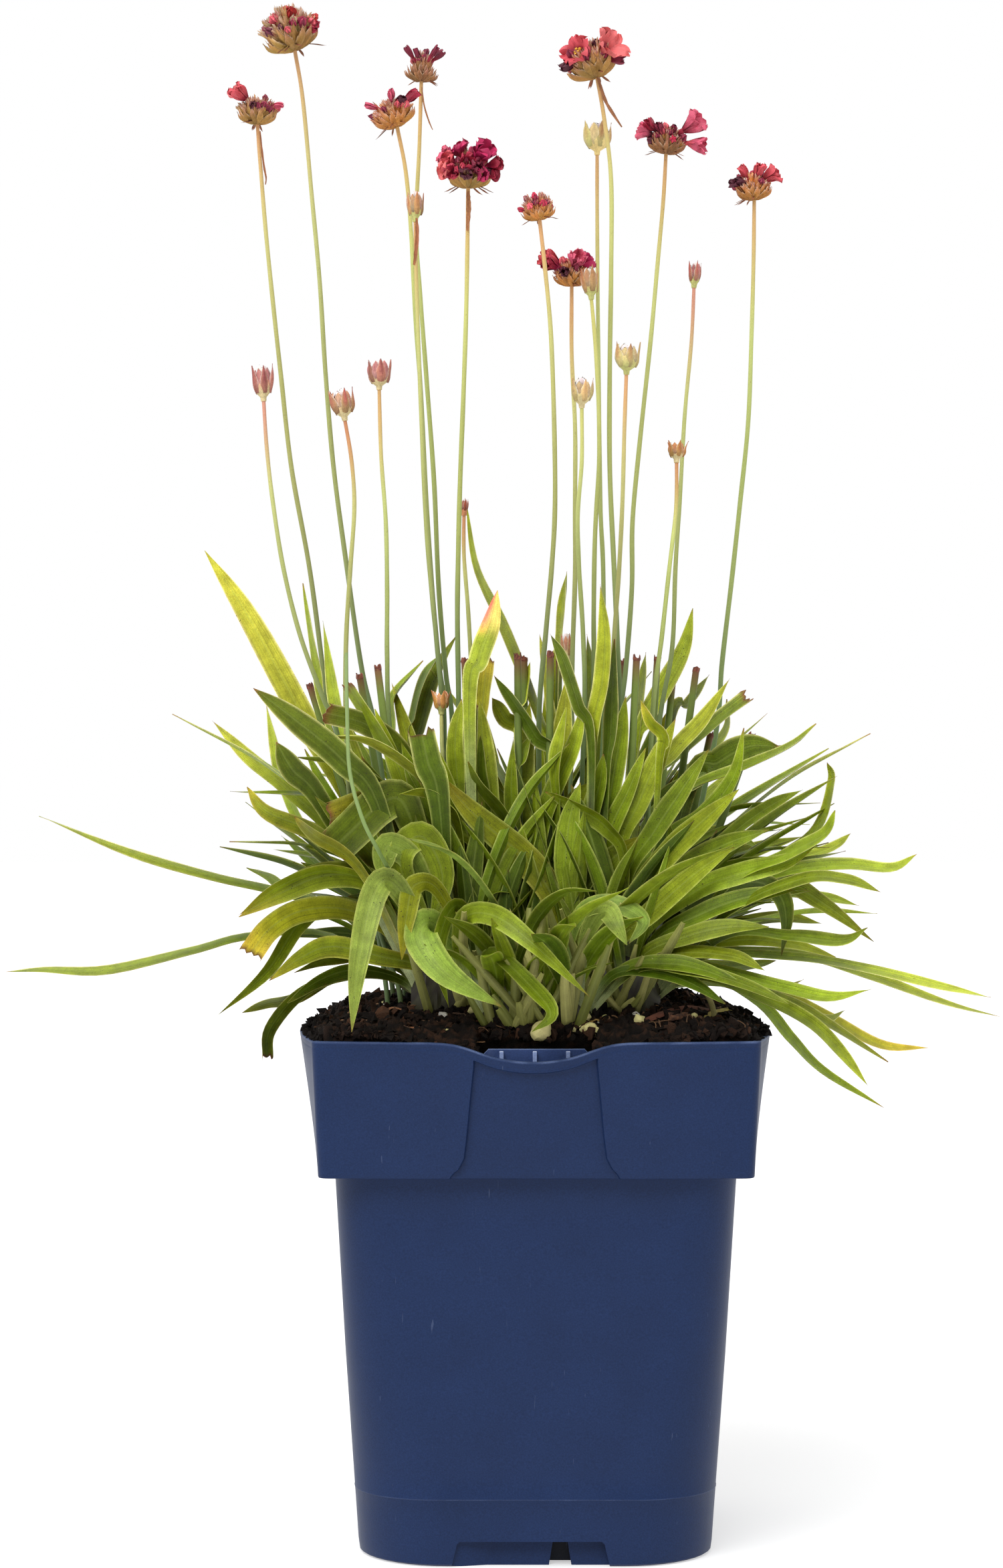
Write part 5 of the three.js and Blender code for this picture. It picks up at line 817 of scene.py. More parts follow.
def pot_finish():
    """Moulded dark blue plastic: an even grain, faint clouding, thin upright scuffs that are paler and
    duller, and the pale rim that the shade carries, partly wear and partly painted highlight."""
    finish = surface("blue_plastic", 0.44, (16, 0.14), (0.42, 0.42), 0.03, gloss=0.14,
                     Specular_IOR_Level=0.16)
    shader = finish.node_tree.nodes["Principled BSDF"]
    where = node(finish, "TexCoord").outputs["Object"]
    lines = node(finish, "Mapping", {"Vector": where, "Rotation": (0.02, 0.35, 0), "Scale": (1, 1, 0.045)})
    scuff = above(finish, noise(finish, lines.outputs[0], 0.7, 2), 0.705, 0.75)
    patch = above(finish, noise(finish, where, 17, 2), 0.52, 0.66)
    share = sum_of(finish, "MULTIPLY", sum_of(finish, "MULTIPLY", scuff, patch), 0.2)
    old = shader.inputs["Base Color"].links[0].from_socket
    finish.node_tree.links.new(blended(finish, share, old, (0.16, 0.20, 0.32, 1)),
                               shader.inputs["Base Color"])
    return finish


BLUE = pot_finish()
PEAT = surface("peat", 0.92, (5, 0.35), (0.35, 0.5), 0.35, gloss=0.1, Specular_IOR_Level=0.15)
GRAINS = surface("grains", 0.8, (2, 0.16), (0.25, 0.16), 0.12)
BARK = surface("bark", 0.85, (4, 0.3), (0.3, 0.35), 0.25, stretch=(1, 1, 3))
LEAF = surface("leaf", 0.4, (3.5, 0.5), (0.34, 0.42), 0.09, veins=(18, 0.6), rib=0.2,
               specks=(0.55, 0.85, (0.035, 0.022, 0.012)), gloss=0.16, Specular_IOR_Level=0.15,
               Subsurface_Weight=0.05, Subsurface_Scale=0.0015)
SHEATHS = surface("old_sheaths", 0.62, (3, 0.2), (0.25, 0.15), 0.08, veins=(9, 0.5),
                  specks=(0.5, 0.8, (0.04, 0.025, 0.015)))
STALK = surface("stalk", 0.5, (2.5, 0.10), (0.22, 0.14), 0.03, stretch=(1, 1, 0.45),
                specks=(0.4, 0.35, (0.12, 0.06, 0.03)), Specular_IOR_Level=0.25)
PAPER = surface("papery_bracts", 0.7, (0.8, 0.34), (0.2, 0.3), 0.07, veins=(7, 0.25), Specular_IOR_Level=0.2)
PETAL = surface("petals", 0.5, (1.2, 0.2), (0.16, 0.18), 0.05, veins=(9, 0.3), Specular_IOR_Level=0.3)
SILK = surface("silk", 0.6, (0.8, 0.12), (0.15, 0.16), 0.04, veins=(8, 0.12))

# The pot

# The second, paler blue serves both real wear and painted highlights along the rim and the slot's top edge.
POT_BLUE, POT_WEAR_AND_HIGHLIGHT = dye(24, 41, 76), dye(96, 112, 150)
ARCS = 9
PANEL_STOPS = np.array([0.302, 0.3055, 0.309, 0.3125, 0.316])
FRONT_STOPS = np.unique(np.round(np.concatenate([
    evenly(33, -1), evenly(41, -0.44, 0.44), -PANEL_STOPS, PANEL_STOPS]), 5))


def square_columns(front, sides, arcs):
    """Rows (side, stop, angle) once round a square: its stops, then the angles of its corner."""
    stops = [front, sides, sides, sides]
    return np.array([row for side in range(4) for row in
                     [(side, stop, 0.0) for stop in stops[side]] + [(side, 1.0, arc) for arc in arcs]])


COLUMNS = square_columns(FRONT_STOPS, evenly(25, -1), np.arange(1, ARCS + 1) / (ARCS + 1) * math.pi / 2)


def square_rings(half, radius, bow, columns=COLUMNS):
    """Rounded squares, a row for each half width: a corner lies at straight + radius sin angle and
    -(straight + radius cos angle), where straight is half less radius, and a side bows out by
    bow x (1 - s^2)."""
    half, radius, bow = (np.asarray(value, float)[:, None] for value in (half, radius, bow))
    side, stop, angle = columns.T
    straight = half - radius
    x = stop * straight + radius * np.sin(angle)
    y = -straight - radius * np.cos(angle) - bow * (1 - stop * stop)
    turn = side * math.pi / 2
    return np.stack([x * np.cos(turn) - y * np.sin(turn), x * np.sin(turn) + y * np.cos(turn)], -1)


def collar(z, inset=0.0):
    """Half width, corner radius and bow of the collar's skin at heights, moved in by an inset."""
    rise = (np.asarray(z, float) - LEDGE) / (HEIGHT - LEDGE)
    return (mixed(COLLAR_FOOT, RIM, rise) - inset, np.maximum(3 - inset, 0.8) + 0 * rise,
            mixed(1.8, BOW, rise))


def body(z, inset=0.0):
    """Half width, corner radius and bow (none) of the wall under the ledge, moved in by an inset."""
    heights, halves, radii = zip(*POT_PROFILE)
    return np.interp(z, heights, halves) - inset, np.interp(z, heights, radii) - inset, 0 * np.asarray(z)


def rim_height(x):
    """Height of the front rim: the dip's outline, rounded by the mean over 4 mm to each side."""
    across = x[..., None] + np.linspace(-4, 4, 9)
    return np.interp(across, *zip(*DIP)).mean(-1)


# The pot's rows: height, half width and corner radius under the foot; heights up the wall and the collar;
# for the rim the drop below it, the inset and the share of the panel's recess
UNDER_FOOT = [(0, 4, 3.9), (0, 7.7, 6), (0.3, 8, 6), (FLOOR_LOW - 0.2, 8, 6), (FLOOR_LOW, 8.3, 6.2),
              (FLOOR_LOW, 30, 20), (FLOOR_LOW, 45.7, 26), (FLOOR_LOW - 0.3, 46, 26), (0.3, 45.3, 26),
              (0, 45.6, 26), (0, 50.4, 24.8)]
BAND_EDGE = 19.65
ON_COLLAR = (LEDGE + 0.5, 115, 116.2, 117.5, 119.5, 122, 125, 130, 135, 139, 142, 145, 147.4, 149.2)
ON_RIM = [(2.75, 0, 1), (2.62, 0, 0.4), (2.5, 0, 0), (2.15, 0, 0), (2.0, 0.05, 0), (1.6, 0.05, 0),
          (1.45, 0, 0), (0.7, 0, 0), (0.28, 0.02, 0), (0.08, 0.1, 0), (0, 0.32, 0), (0, 1.3, 0), (0, 2.3, 0),
          (0.1, 2.5, 0), (0.32, 2.6, 0), (1.5, 2.6, 0)]
PANEL_EDGE, DIP_FOOT, RIM_BAND = 0.309, 136.0, 3.2
POT_CREASE = 34


def make_pot():
    """One closed profile carried round the square: under the foot, up the tapering wall, out over the
    ledge, up the collar, over the rim and down the inside to the floor. On the front the columns
    follow the panel's edges, the panel is set back, and the rows near the rim follow its dip. A row is
    height, half width, corner radius, bow, drop below the rim (or -1) and share of the recess."""

    def wall(levels, inset=0.0):
        """Rows of the wall below the ledge."""
        return [(z, *body(min(z, LEDGE), inset), -1, 0) for z in levels]

    def band(levels, inset=0.0, sunk=0):
        """Rows of the collar."""
        return [(z, *collar(z, inset), -1, sunk) for z in levels]

    rows = [(*row, 0, -1, 0) for row in UNDER_FOOT]
    rows += wall((0.35, 0.8, 2, 3.5, 6, 9, 13, BAND_EDGE - 0.25)) + wall([BAND_EDGE], -0.14)
    rows += wall((BAND_EDGE + 0.25, 28, 40, 60, 80, 100, LEDGE - 0.7))
    rows += [(LEDGE - 0.15, *body(LEDGE, -0.25), -1, 0), (LEDGE, *body(LEDGE, -0.8), -1, 0),
             (LEDGE, COLLAR_FOOT - 0.5, 3, 1.8, -1, 1), (LEDGE + 0.15, COLLAR_FOOT - 0.12, 3, 1.8, -1, 1)]
    rows += band(ON_COLLAR, sunk=1)
    rows += [(HEIGHT, *collar(HEIGHT - drop, inset), drop, sunk) for drop, inset, sunk in ON_RIM]
    rows += band((140, 130, LEDGE + WALL + 0.2), COLLAR_WALL)
    rows += wall((LEDGE + WALL, 100, 60, FLOOR_TOP + 1, FLOOR_TOP), WALL) + [(FLOOR_TOP, 20, 8, 0, -1, 0)]
    z, half, radius, bow, drop, sunk = (values[:, None] for values in np.array(rows, float).T)
    flat = square_rings(half[:, 0], radius[:, 0], bow[:, 0])
    places = np.concatenate([flat, np.where(drop < 0, z, HEIGHT - drop)[..., None] + 0 * flat[..., :1]], -1)

    front = COLUMNS[:, 0] == 0
    stop = COLUMNS[front, 1]
    straight = half - radius
    inner = np.arange(len(z))[:, None] > int(np.argmax(drop == 0)) + 1
    on_collar = (half > 55) & (z >= LEDGE) & (COLUMNS[front, 2] == 0)
    level = np.clip(np.where(drop < 0, z, HEIGHT - 4), 112, 148)
    left, right = np.interp(level, PANEL_Z, PANEL_LEFT), np.interp(level, PANEL_Z, PANEL_RIGHT)
    beside = (np.abs(stop) - PANEL_EDGE) / (1 - PANEL_EDGE)
    x = np.where(np.abs(stop) <= PANEL_EDGE, mixed(left, right, (stop / PANEL_EDGE + 1) / 2),
                 np.where(stop < 0, mixed(left, -straight, beside), mixed(right, straight, beside)))
    x = np.where(on_collar & ~inner, x, places[:, front, 0])
    out = -half - bow * (1 - (x / np.maximum(straight, 1)) ** 2)
    back = RECESS * sunk * smooth(0.3125, 0.3055, np.abs(stop)[None])
    top = rim_height(x)
    below = drop * np.where(drop > 1.4, 1 + 0.25 * (HEIGHT - top) / 5.6, 1)
    share = (z - DIP_FOOT) / (HEIGHT - RIM_BAND - DIP_FOOT)
    hung = np.where(drop >= 0, top - below, DIP_FOOT + share * (top - RIM_BAND - DIP_FOOT))
    high = on_collar & ((drop >= 0) | (z > DIP_FOOT))
    places[:, front] = np.stack([x, np.where(on_collar, out + back, places[:, front, 1]),
                                 np.where(high, hung, places[:, front, 2])], -1)

    # The pale line along the rim's lip is partly wear and partly a painted highlight; a fainter pale line
    # runs along the step low on the wall.
    pale_wear_and_highlight = np.where((drop >= 0) & (drop < 0.5), 1.0, np.where(np.abs(z - BAND_EDGE) < 0.1, 0.35, 0.0))
    patchy = 0.35 + 0.65 * smooth(-0.4, 0.9, waves(places, 9, 3))
    shade = mixed(POT_BLUE, POT_WEAR_AND_HIGHLIGHT, (pale_wear_and_highlight * patchy * 0.55)[..., None])
    skin = Skin()
    closed(skin, places, shade, [[0, 0, 0], [0, 0, FLOOR_TOP]], [POT_BLUE] * 2)
    cut_foot(skin.make("blue_pot", [BLUE], "pot", ["pot"], crease=POT_CREASE))


def prism(skin, outline, inner, low, high, degrees, shade=POT_BLUE):
    """An outline in the front view (x, z) at one depth, carried to the inner outline at another depth,
    and turned about +Z."""
    rings = np.stack([np.insert(np.array(line, float), 1, depth, axis=1)
                      for line, depth in ((outline, low), (inner, high))])
    closed(skin, turned_flat(rings, degrees), shade)


def cut_foot(pot):
    """Cuts the foot's wide notches, the slits over them and the drain holes out of the pot, then keeps
    the edges under it sharp."""
    face, (near, far), right, h = -52.6, FOOT["slit"], FOOT["right"], FOOT["height"]
    slit = [(near - 1.4, -1.5), (near, h - 0.4), (far, h - 0.4), (far + 1.4, -1.5)]

    def notch(start):
        """The notch's outline (x, z) from its start to its right end, with small bevels."""
        return [(start - 1.8, -1), (start, h - 0.8), (start + 0.8, h), (right - 0.8, h), (right, h - 0.8),
                (right + 1.8, -1)]

    notches, slits, drains = Skin(), Skin(), Skin()
    turn = around(20)
    drain = 27 + FOOT["drain"] * np.column_stack([np.cos(turn), np.sin(turn)])
    for degrees in range(0, 360, 90):
        prism(notches, notch(FOOT["left"]), notch(FOOT["left"]), face - 8, face + 1.4, degrees)
        prism(notches, notch(FOOT["left"]), notch(FOOT["facet"]), face + 1.4, face + FOOT["depth"], degrees)
        prism(slits, slit, slit, face - 9, face + 14, degrees)
        rings = np.stack([np.insert(drain, 2, level, axis=1) for level in (-1, 10)])
        closed(drains, turned_flat(rings, degrees), POT_BLUE)
    for cutter in (notches, slits, drains):
        tool = cutter.make("foot_cutter", [BLUE], "pot")
        cut = pot.modifiers.new("cut", "BOOLEAN")
        cut.operation, cut.solver, cut.object = "DIFFERENCE", "EXACT", tool
        whole = pot.evaluated_get(bpy.context.evaluated_depsgraph_get())
        mesh = bpy.data.meshes.new_from_object(whole)
        pot.modifiers.remove(cut)
        pot.data = mesh
        bpy.data.objects.remove(tool)
    shade = mesh.attributes["shade"].data
    levels = np.empty(len(shade) * 4, np.float32)
    shade.foreach_get("color", levels)
    levels = levels.reshape(-1, 4)
    levels[levels[:, 0] > 0.5] = [*POT_BLUE, 1]
    shade.foreach_set("color", levels.ravel())
    mesh.set_sharp_from_angle(angle=math.radians(POT_CREASE))
    places, ends = np.empty(len(mesh.vertices) * 3), np.empty(len(mesh.edges) * 2, int)
    mesh.vertices.foreach_get("co", places)
    mesh.edges.foreach_get("vertices", ends)
    x, y, z = places.reshape(-1, 3).T / MM
    most, least = np.maximum(abs(x), abs(y)), np.minimum(abs(x), abs(y))
    under = (z < h + 0.4) & (most < 52.2) & (most > 44) & (least < 26)
    sharp = np.empty(len(mesh.edges), bool)
    mesh.attributes["sharp_edge"].data.foreach_get("value", sharp)
    sharp |= under[ends.reshape(-1, 2)].all(1)
    mesh.attributes["sharp_edge"].data.foreach_set("value", sharp)


def make_painted_shade_ribs():
    """Ribs under the floor close behind the slits, painted near black as painted shade so that the
    slits look dark: one plate to each side.
    """
    skin = Skin()
    rib = [(0, 0.6), (0, FLOOR_LOW + 3), (14, FLOOR_LOW + 3), (14, 0.6)]
    for degrees in range(0, 360, 90):
        # The ribs' near black is painted shade.
        prism(skin, rib, rib, -45.2, -43.8, degrees, np.array(POT_BLUE) * 0.12)
    return skin


def make_slot():
    """The label slot behind the dipped rim: a thin wall whose top is rounded, painted lighter than the pot
    with a paler top edge as painted light, two cheeks, and three thin ribs painted pale as painted
    highlights."""
    skin = Skin()

    def plate(x0, x1, near, far, top, corner, edge, hue=POT_BLUE):
        """An upright plate between two insets of the collar's skin, its top corners rounded to a quarter
        circle; its top edge is bevelled and has a hue of its own."""
        x = evenly(15, x0, x1)
        share = np.clip(np.minimum(x - x0, x1 - x) / corner, 0, 1)
        tops = top - corner * (1 - np.sqrt(np.clip(1 - (1 - share) ** 2, 0, 1)))
        foot, rings = np.full_like(x, LEDGE + 2.2), []
        for level, inset, down, back in [(foot, near, 0, 0), (tops, near, 0.25, 0), (tops, near, 0, 0.15),
                                         (tops, far, 0, -0.15), (tops, far, 0.25, 0), (foot, far, 0, 0)]:
            half, radius, bow = collar(level, inset)
            rings.append([x, back - half - bow * (1 - (x / (half - radius)) ** 2), level - down])
        shade = np.tile([hue, hue, edge, edge, hue, hue], (len(x), 1))
        closed(skin, np.array(rings).transpose(2, 0, 1), shade, end_shade=[POT_BLUE] * 2)

    half, wall, top = SLOT["half"], SLOT["wall"], SLOT["top"]
    front = COLLAR_WALL + SLOT["gap"]
    # Painted light: the slot's wall is lighter than the pot, and its top edge paler still.
    plate(-half, half, front, front + wall, top, 2.4, POT_WEAR_AND_HIGHLIGHT, dye(38, 56, 98))
    for x in (-half, half - wall):
        plate(x, x + wall, COLLAR_WALL - 0.3, front + wall, top - 3.6, 0.2, POT_BLUE)
    # Painted highlights: the ribs are pale blue, their top edges nearly white.
    for x in SLOT["ribs"]:
        plate(x - SLOT["rib"] / 2, x + SLOT["rib"] / 2, front - 1.0, front + 0.3, top - 0.6, 0.2,
              dye(190, 200, 224), dye(120, 136, 176))
    return skin


# Soil and bark

def soil_height(x, y):
    """The edge, which is high at the sides and the back, plus a mound of 1 less the sixth power of
    the share of the way out, plus slow waves that fade outwards."""
    out = np.maximum(np.abs(x), np.abs(y)) / 60
    uneven = 0.9 * np.sin(0.31 * x + 1) * np.cos(0.27 * y) + 0.5 * np.sin(0.8 * x - 0.6 * y)
    edge = SOIL_EDGE + 3.9 * np.maximum(smooth(-56, -40, y), smooth(26, 46, np.abs(x)))
    mound = edge + (SOIL_MOUND - 0.8 - edge) * (1 - np.minimum(out, 1) ** 6)
    return mound + uneven * np.clip(1.9 - 1.5 * out, 0, 1)


SOIL_COLUMNS = square_columns(evenly(141, -1), evenly(141, -1), (0.4, 0.8, 1.2))


def make_soil():
    """The peat that fills the pot. Its top is rows of shrinking squares whose height is the mound plus
    three sizes of rounded crumbs, with painted shade that darkens their hollows and the edge along the pot's
    wall; its side goes down inside the pot to the floor."""
    bottom = FLOOR_TOP + 0.4
    shares = evenly(112, 1, 0.015)
    half, _, bow = collar(np.full(len(shares), 150.0), COLLAR_WALL + 0.5)
    top = square_rings(half * shares, mixed(10, 2.5, shares) * shares, bow * shares, SOIL_COLUMNS)
    spots = np.concatenate([top, 0 * top[..., :1]], -1)
    x, y = top[..., 0], top[..., 1]
    crumbs = (0.8 * np.abs(waves(spots, 7, 11)) + 0.9 * np.abs(waves(spots, 3.2, 12, 30))
              + 0.7 * np.abs(waves(spots, 1.9, 13, 40)) - 1.4)
    pocket = smooth(21, 14, np.abs(x)) * smooth(-58, -62.5, y)
    rough = crumbs * mixed(0.5, 1.0, smooth(1.0, 0.97, shares)[:, None]) * (1 - 0.6 * pocket)
    spots[..., 2] = soil_height(x * 0.88, y * 0.88) + rough - 1.2 * pocket
    rows = [(z, *collar(z, COLLAR_WALL + 0.5)) for z in (146, 130, LEDGE + 2.6)]
    rows += [(z, *body(min(z, LEDGE), WALL + 0.4)) for z in (LEDGE + 2.4, 90, 40, bottom)]
    rows.append((bottom, 20, 8, 0))
    level, *ring = np.array(rows, float).T
    flat = square_rings(*ring, SOIL_COLUMNS)
    skirt = np.concatenate([flat, level[:, None, None] + 0 * flat[..., :1]], -1)
    places = np.concatenate([skirt[::-1], spots])
    at_slot = (np.abs(places[..., 0]) < 17) & (places[..., 2] > LEDGE + 2.5)
    places[..., 1] = np.where(at_slot, np.maximum(places[..., 1], -56.4), places[..., 1])
    dry = smooth(-0.2, 1.3, waves(places, 4, 17) + 0.5 * waves(places, 1.2, 18))
    shade = mixed(HUES["peat"], HUES["peat_dry"], 0.35 * dry[..., None])
    # Painted shade: the crumbs are darker in their hollows, and the soil darker along its edge by the pot's
    # wall.
    painted_hollow_shade = mixed(0.3, 1.2, smooth(-1.1, 0.3, crumbs)) * mixed(0.35, 1, smooth(1, 0.93, shares)[:, None])
    shade[len(skirt):] *= painted_hollow_shade[..., None]
    skin = Skin()
    closed(skin, places, shade, [[0, 0, bottom], [0, 0, spots[-1, :, 2].mean()]], [HUES["peat"]] * 2)
    return skin


def ball(levels):
    """Corners and faces of an eight-sided ball, each face split in four as often as levels says."""
    tips = [(1, 0, 0), (0, 1, 0), (-1, 0, 0), (0, -1, 0), (0, 0, 1), (0, 0, -1)]
    base = [(k, (k + 1) % 4, 4) for k in range(4)] + [((k + 1) % 4, k, 5) for k in range(4)]
    places, middles = [np.array(t, float) for t in tips], {}

    def middle(a, b):
        """The corner half way between two, pushed out to the ball."""
        key = (min(a, b), max(a, b))
        if key not in middles:
            middles[key] = len(places)
            places.append(unit(places[a] + places[b]))
        return middles[key]

    for _ in range(levels):
        faces = []
        for a, b, c in base:
            ab, bc, ca = middle(a, b), middle(b, c), middle(c, a)
            faces += [(a, ab, ca), (b, bc, ab), (c, ca, bc), (ab, bc, ca)]
        base = faces
    return np.array(places), np.array([face + (-1,) for face in base])


def lumps(skin, spots, sizes, shades, seed, rough=0.25, stretch=1.5, finish=0, levels=1):
    """Small uneven lumps: the ball with drawn radii, stretched and turned by draws, at each spot."""
    rng = np.random.default_rng(seed)
    places, faces = ball(levels)
    count = len(spots)
    shape = places[None] * (1 + rough * rng.normal(size=(count, len(places), 1)).clip(-1.6, 1.6))
    shape = shape * rng.uniform(1 / stretch, stretch, (count, 1, 3))
    axis = unit(rng.normal(size=(count, 3)))
    first, second = frames(axis, rng.uniform(0, 6.28, count))
    turn = np.stack([first, second, axis], 1)
    shape = np.einsum("nij,njk->nik", shape, turn) * np.asarray(sizes)[:, None, None] + spots[:, None]
    shade = np.broadcast_to(shades[:, None], shape.shape) * rng.uniform(0.85, 1.15, (count, len(places), 1))
    skin.add(shape, repeated(faces, count, len(places)), shade.reshape(-1, 3), None, finish)


def bowed(along, half):
    """How far out a side that bows lies, along its length."""
    return half + BOW * (1 - (np.clip(along, -62, 62) / 62) ** 2)


def on_soil(count, rng, reach=67):
    """Drawn spots on the soil's top, more of them near the front, within the bowed sides and clear of the
    label slot."""
    x = rng.uniform(-reach, reach, count)
    y = reach * (2 * rng.uniform(0, 1, count) ** 1.35 - 1)
    keep = (np.abs(x) < bowed(y, 60.4)) & (np.abs(y) < bowed(x, 60.4)) & ~((np.abs(x) < 18) & (y < -59))
    x, y = x[keep], y[keep]
    return np.stack([x, y, soil_height(x * 0.96, y * 0.96)], -1)


# Where the shoots stand

def fronts(layer, x, margin):
    """A layer's side, and its near and far fronts at x, moved in by the margin."""
    side, near, far = LAYERS[layer][:3]
    inner = near[0] + near[1] * np.abs(x) + margin
    outer = far[0] + far[1] * np.abs(x) - margin
    return (side, inner, np.maximum(inner, outer)) if side else (1, -outer, outer)


def depth_in_layer(layer, x, y, margin):
    """A depth held between its layer's fronts."""
    side, inner, outer = fronts(layer, x, margin)
    return side * np.clip(side * y, inner, outer)


def depth_at_level(layer, x, level, margin):
    """The depth at a level of the layer: 0 at its near front, 1 at its far one."""
    side, inner, outer = fronts(layer, x, margin)
    return side * mixed(inner, outer, level)


def crown_span(layer):
    """How far along x a layer's crown runs."""
    half = LAYERS[layer][3][2]
    return {"left": (-half, -7), "right": (7, half)}.get(layer, (-half, half))


def crown_point(layer, x):
    """The heart of a layer's crown next to x."""
    side, _, _, (depth, slope, _, heart, _) = LAYERS[layer]
    place = np.clip(x, *crown_span(layer))
    return np.array([place, side * (depth + slope * abs(place)), heart])


# Leaves

STATIONS, BLADE_COLUMNS = 30, 11
SHARES, LEAF_STOPS = evenly(STATIONS), eased(BLADE_COLUMNS)
LEAF_SHARES = SHARES[None, :, None]


def blade_shape(cut):
    """Half width along a leaf: it swells from the narrow sheath as a power of a quarter sine until the
    broadest share, and then tapers as 1 less the square of what is left; a cut leaf stays broad."""
    swell = SHEATH + (1 - SHEATH) * np.sin(np.pi / 2 * np.minimum(SHARES / BROADEST, 1)) ** 1.8
    taper = np.clip((SHARES - BROADEST) / (1 - BROADEST), 0, 1)
    return swell if cut else np.where(SHARES < BROADEST, swell, np.maximum(1 - taper**2.0, 0.02))


def seen_leaf(layer, index, width, places, level=None, lean=0, cut=False):
    """Spine, sideways directions and half widths of a leaf read from the front view: its depth eases
    from its crown to its level of the layer, or out to its lean, and it turns to show nine tenths of the
    width that was read, eight tenths in the slender layers."""
    level = draw(index, 1) if level is None else level
    width = width * (0.8 if layer in SLENDER else 0.9)
    full = max(width, TRUE_WIDTH)
    facing = width / full
    turned_away = math.sqrt(1 - facing * facing)
    margin = full / 2 * turned_away + MARGIN
    crown = crown_point(layer, seen(places[-1], 0)[0] * 0.85)
    crown[1] += (level - 0.5) * 5
    spine = []
    for i, place in enumerate(places):
        x = seen(place, crown[1])[0]
        far = -lean if lean else depth_at_level(layer, x, level, margin)
        y = mixed(crown[1], far, min((1 - i / len(places)) * (1.2 if lean else 3), 1))
        spine.append(seen(place, depth_in_layer(layer, x, y, margin)))
    spine = curve([crown] + spine[::-1], SHARES)
    along = unit(np.gradient(spine, axis=0))
    in_view = unit(np.cross(along, unit(spine - EYE)))
    in_depth = unit(np.cross(in_view, along))
    return spine, in_view * facing + in_depth * turned_away, full / 2 * blade_shape(cut)


def arc_leaf(layer, index, heading, length, steep, droop, width, along_bank=None):
    """A leaf that leaves its crown at a plan heading; its lean from upright grows evenly from steep
    to droop along its length, and its depth is held in its layer."""
    share = draw(index, 3) if along_bank is None else along_bank
    in_bank = (share * 2 - 1) * LAYERS[layer][3][2] * 0.9
    in_wing = np.sign(math.cos(heading)) * (8 + 22 * share)
    start = crown_point(layer, in_bank if LAYERS[layer][0] else in_wing)
    flat = np.array([math.cos(heading), math.sin(heading), 0])
    bend = (droop - steep) / length
    knots = [start]
    for share in (0.25, 0.5, 0.75, 1):
        lean = steep + bend * share * length
        spot = start + flat * (math.cos(steep) - math.cos(lean)) / bend
        spot[2] += (math.sin(lean) - math.sin(steep)) / bend
        spot[1] = depth_in_layer(layer, spot[0], spot[1], width / 2 + MARGIN)
        knots.append(spot)
    spine = curve(knots, SHARES)
    along = unit(np.gradient(spine, axis=0))
    roll = (draw(index, 2) - 0.5) * 0.9 + 0.5 * (draw(index, 4) - 0.5) * SHARES[:, None] ** 2
    level = np.array([-flat[1], flat[0], 0])
    over = unit(np.cross(level, along))
    return spine, unit(level * np.cos(roll) + over * np.sin(roll)), width / 2 * blade_shape(False)


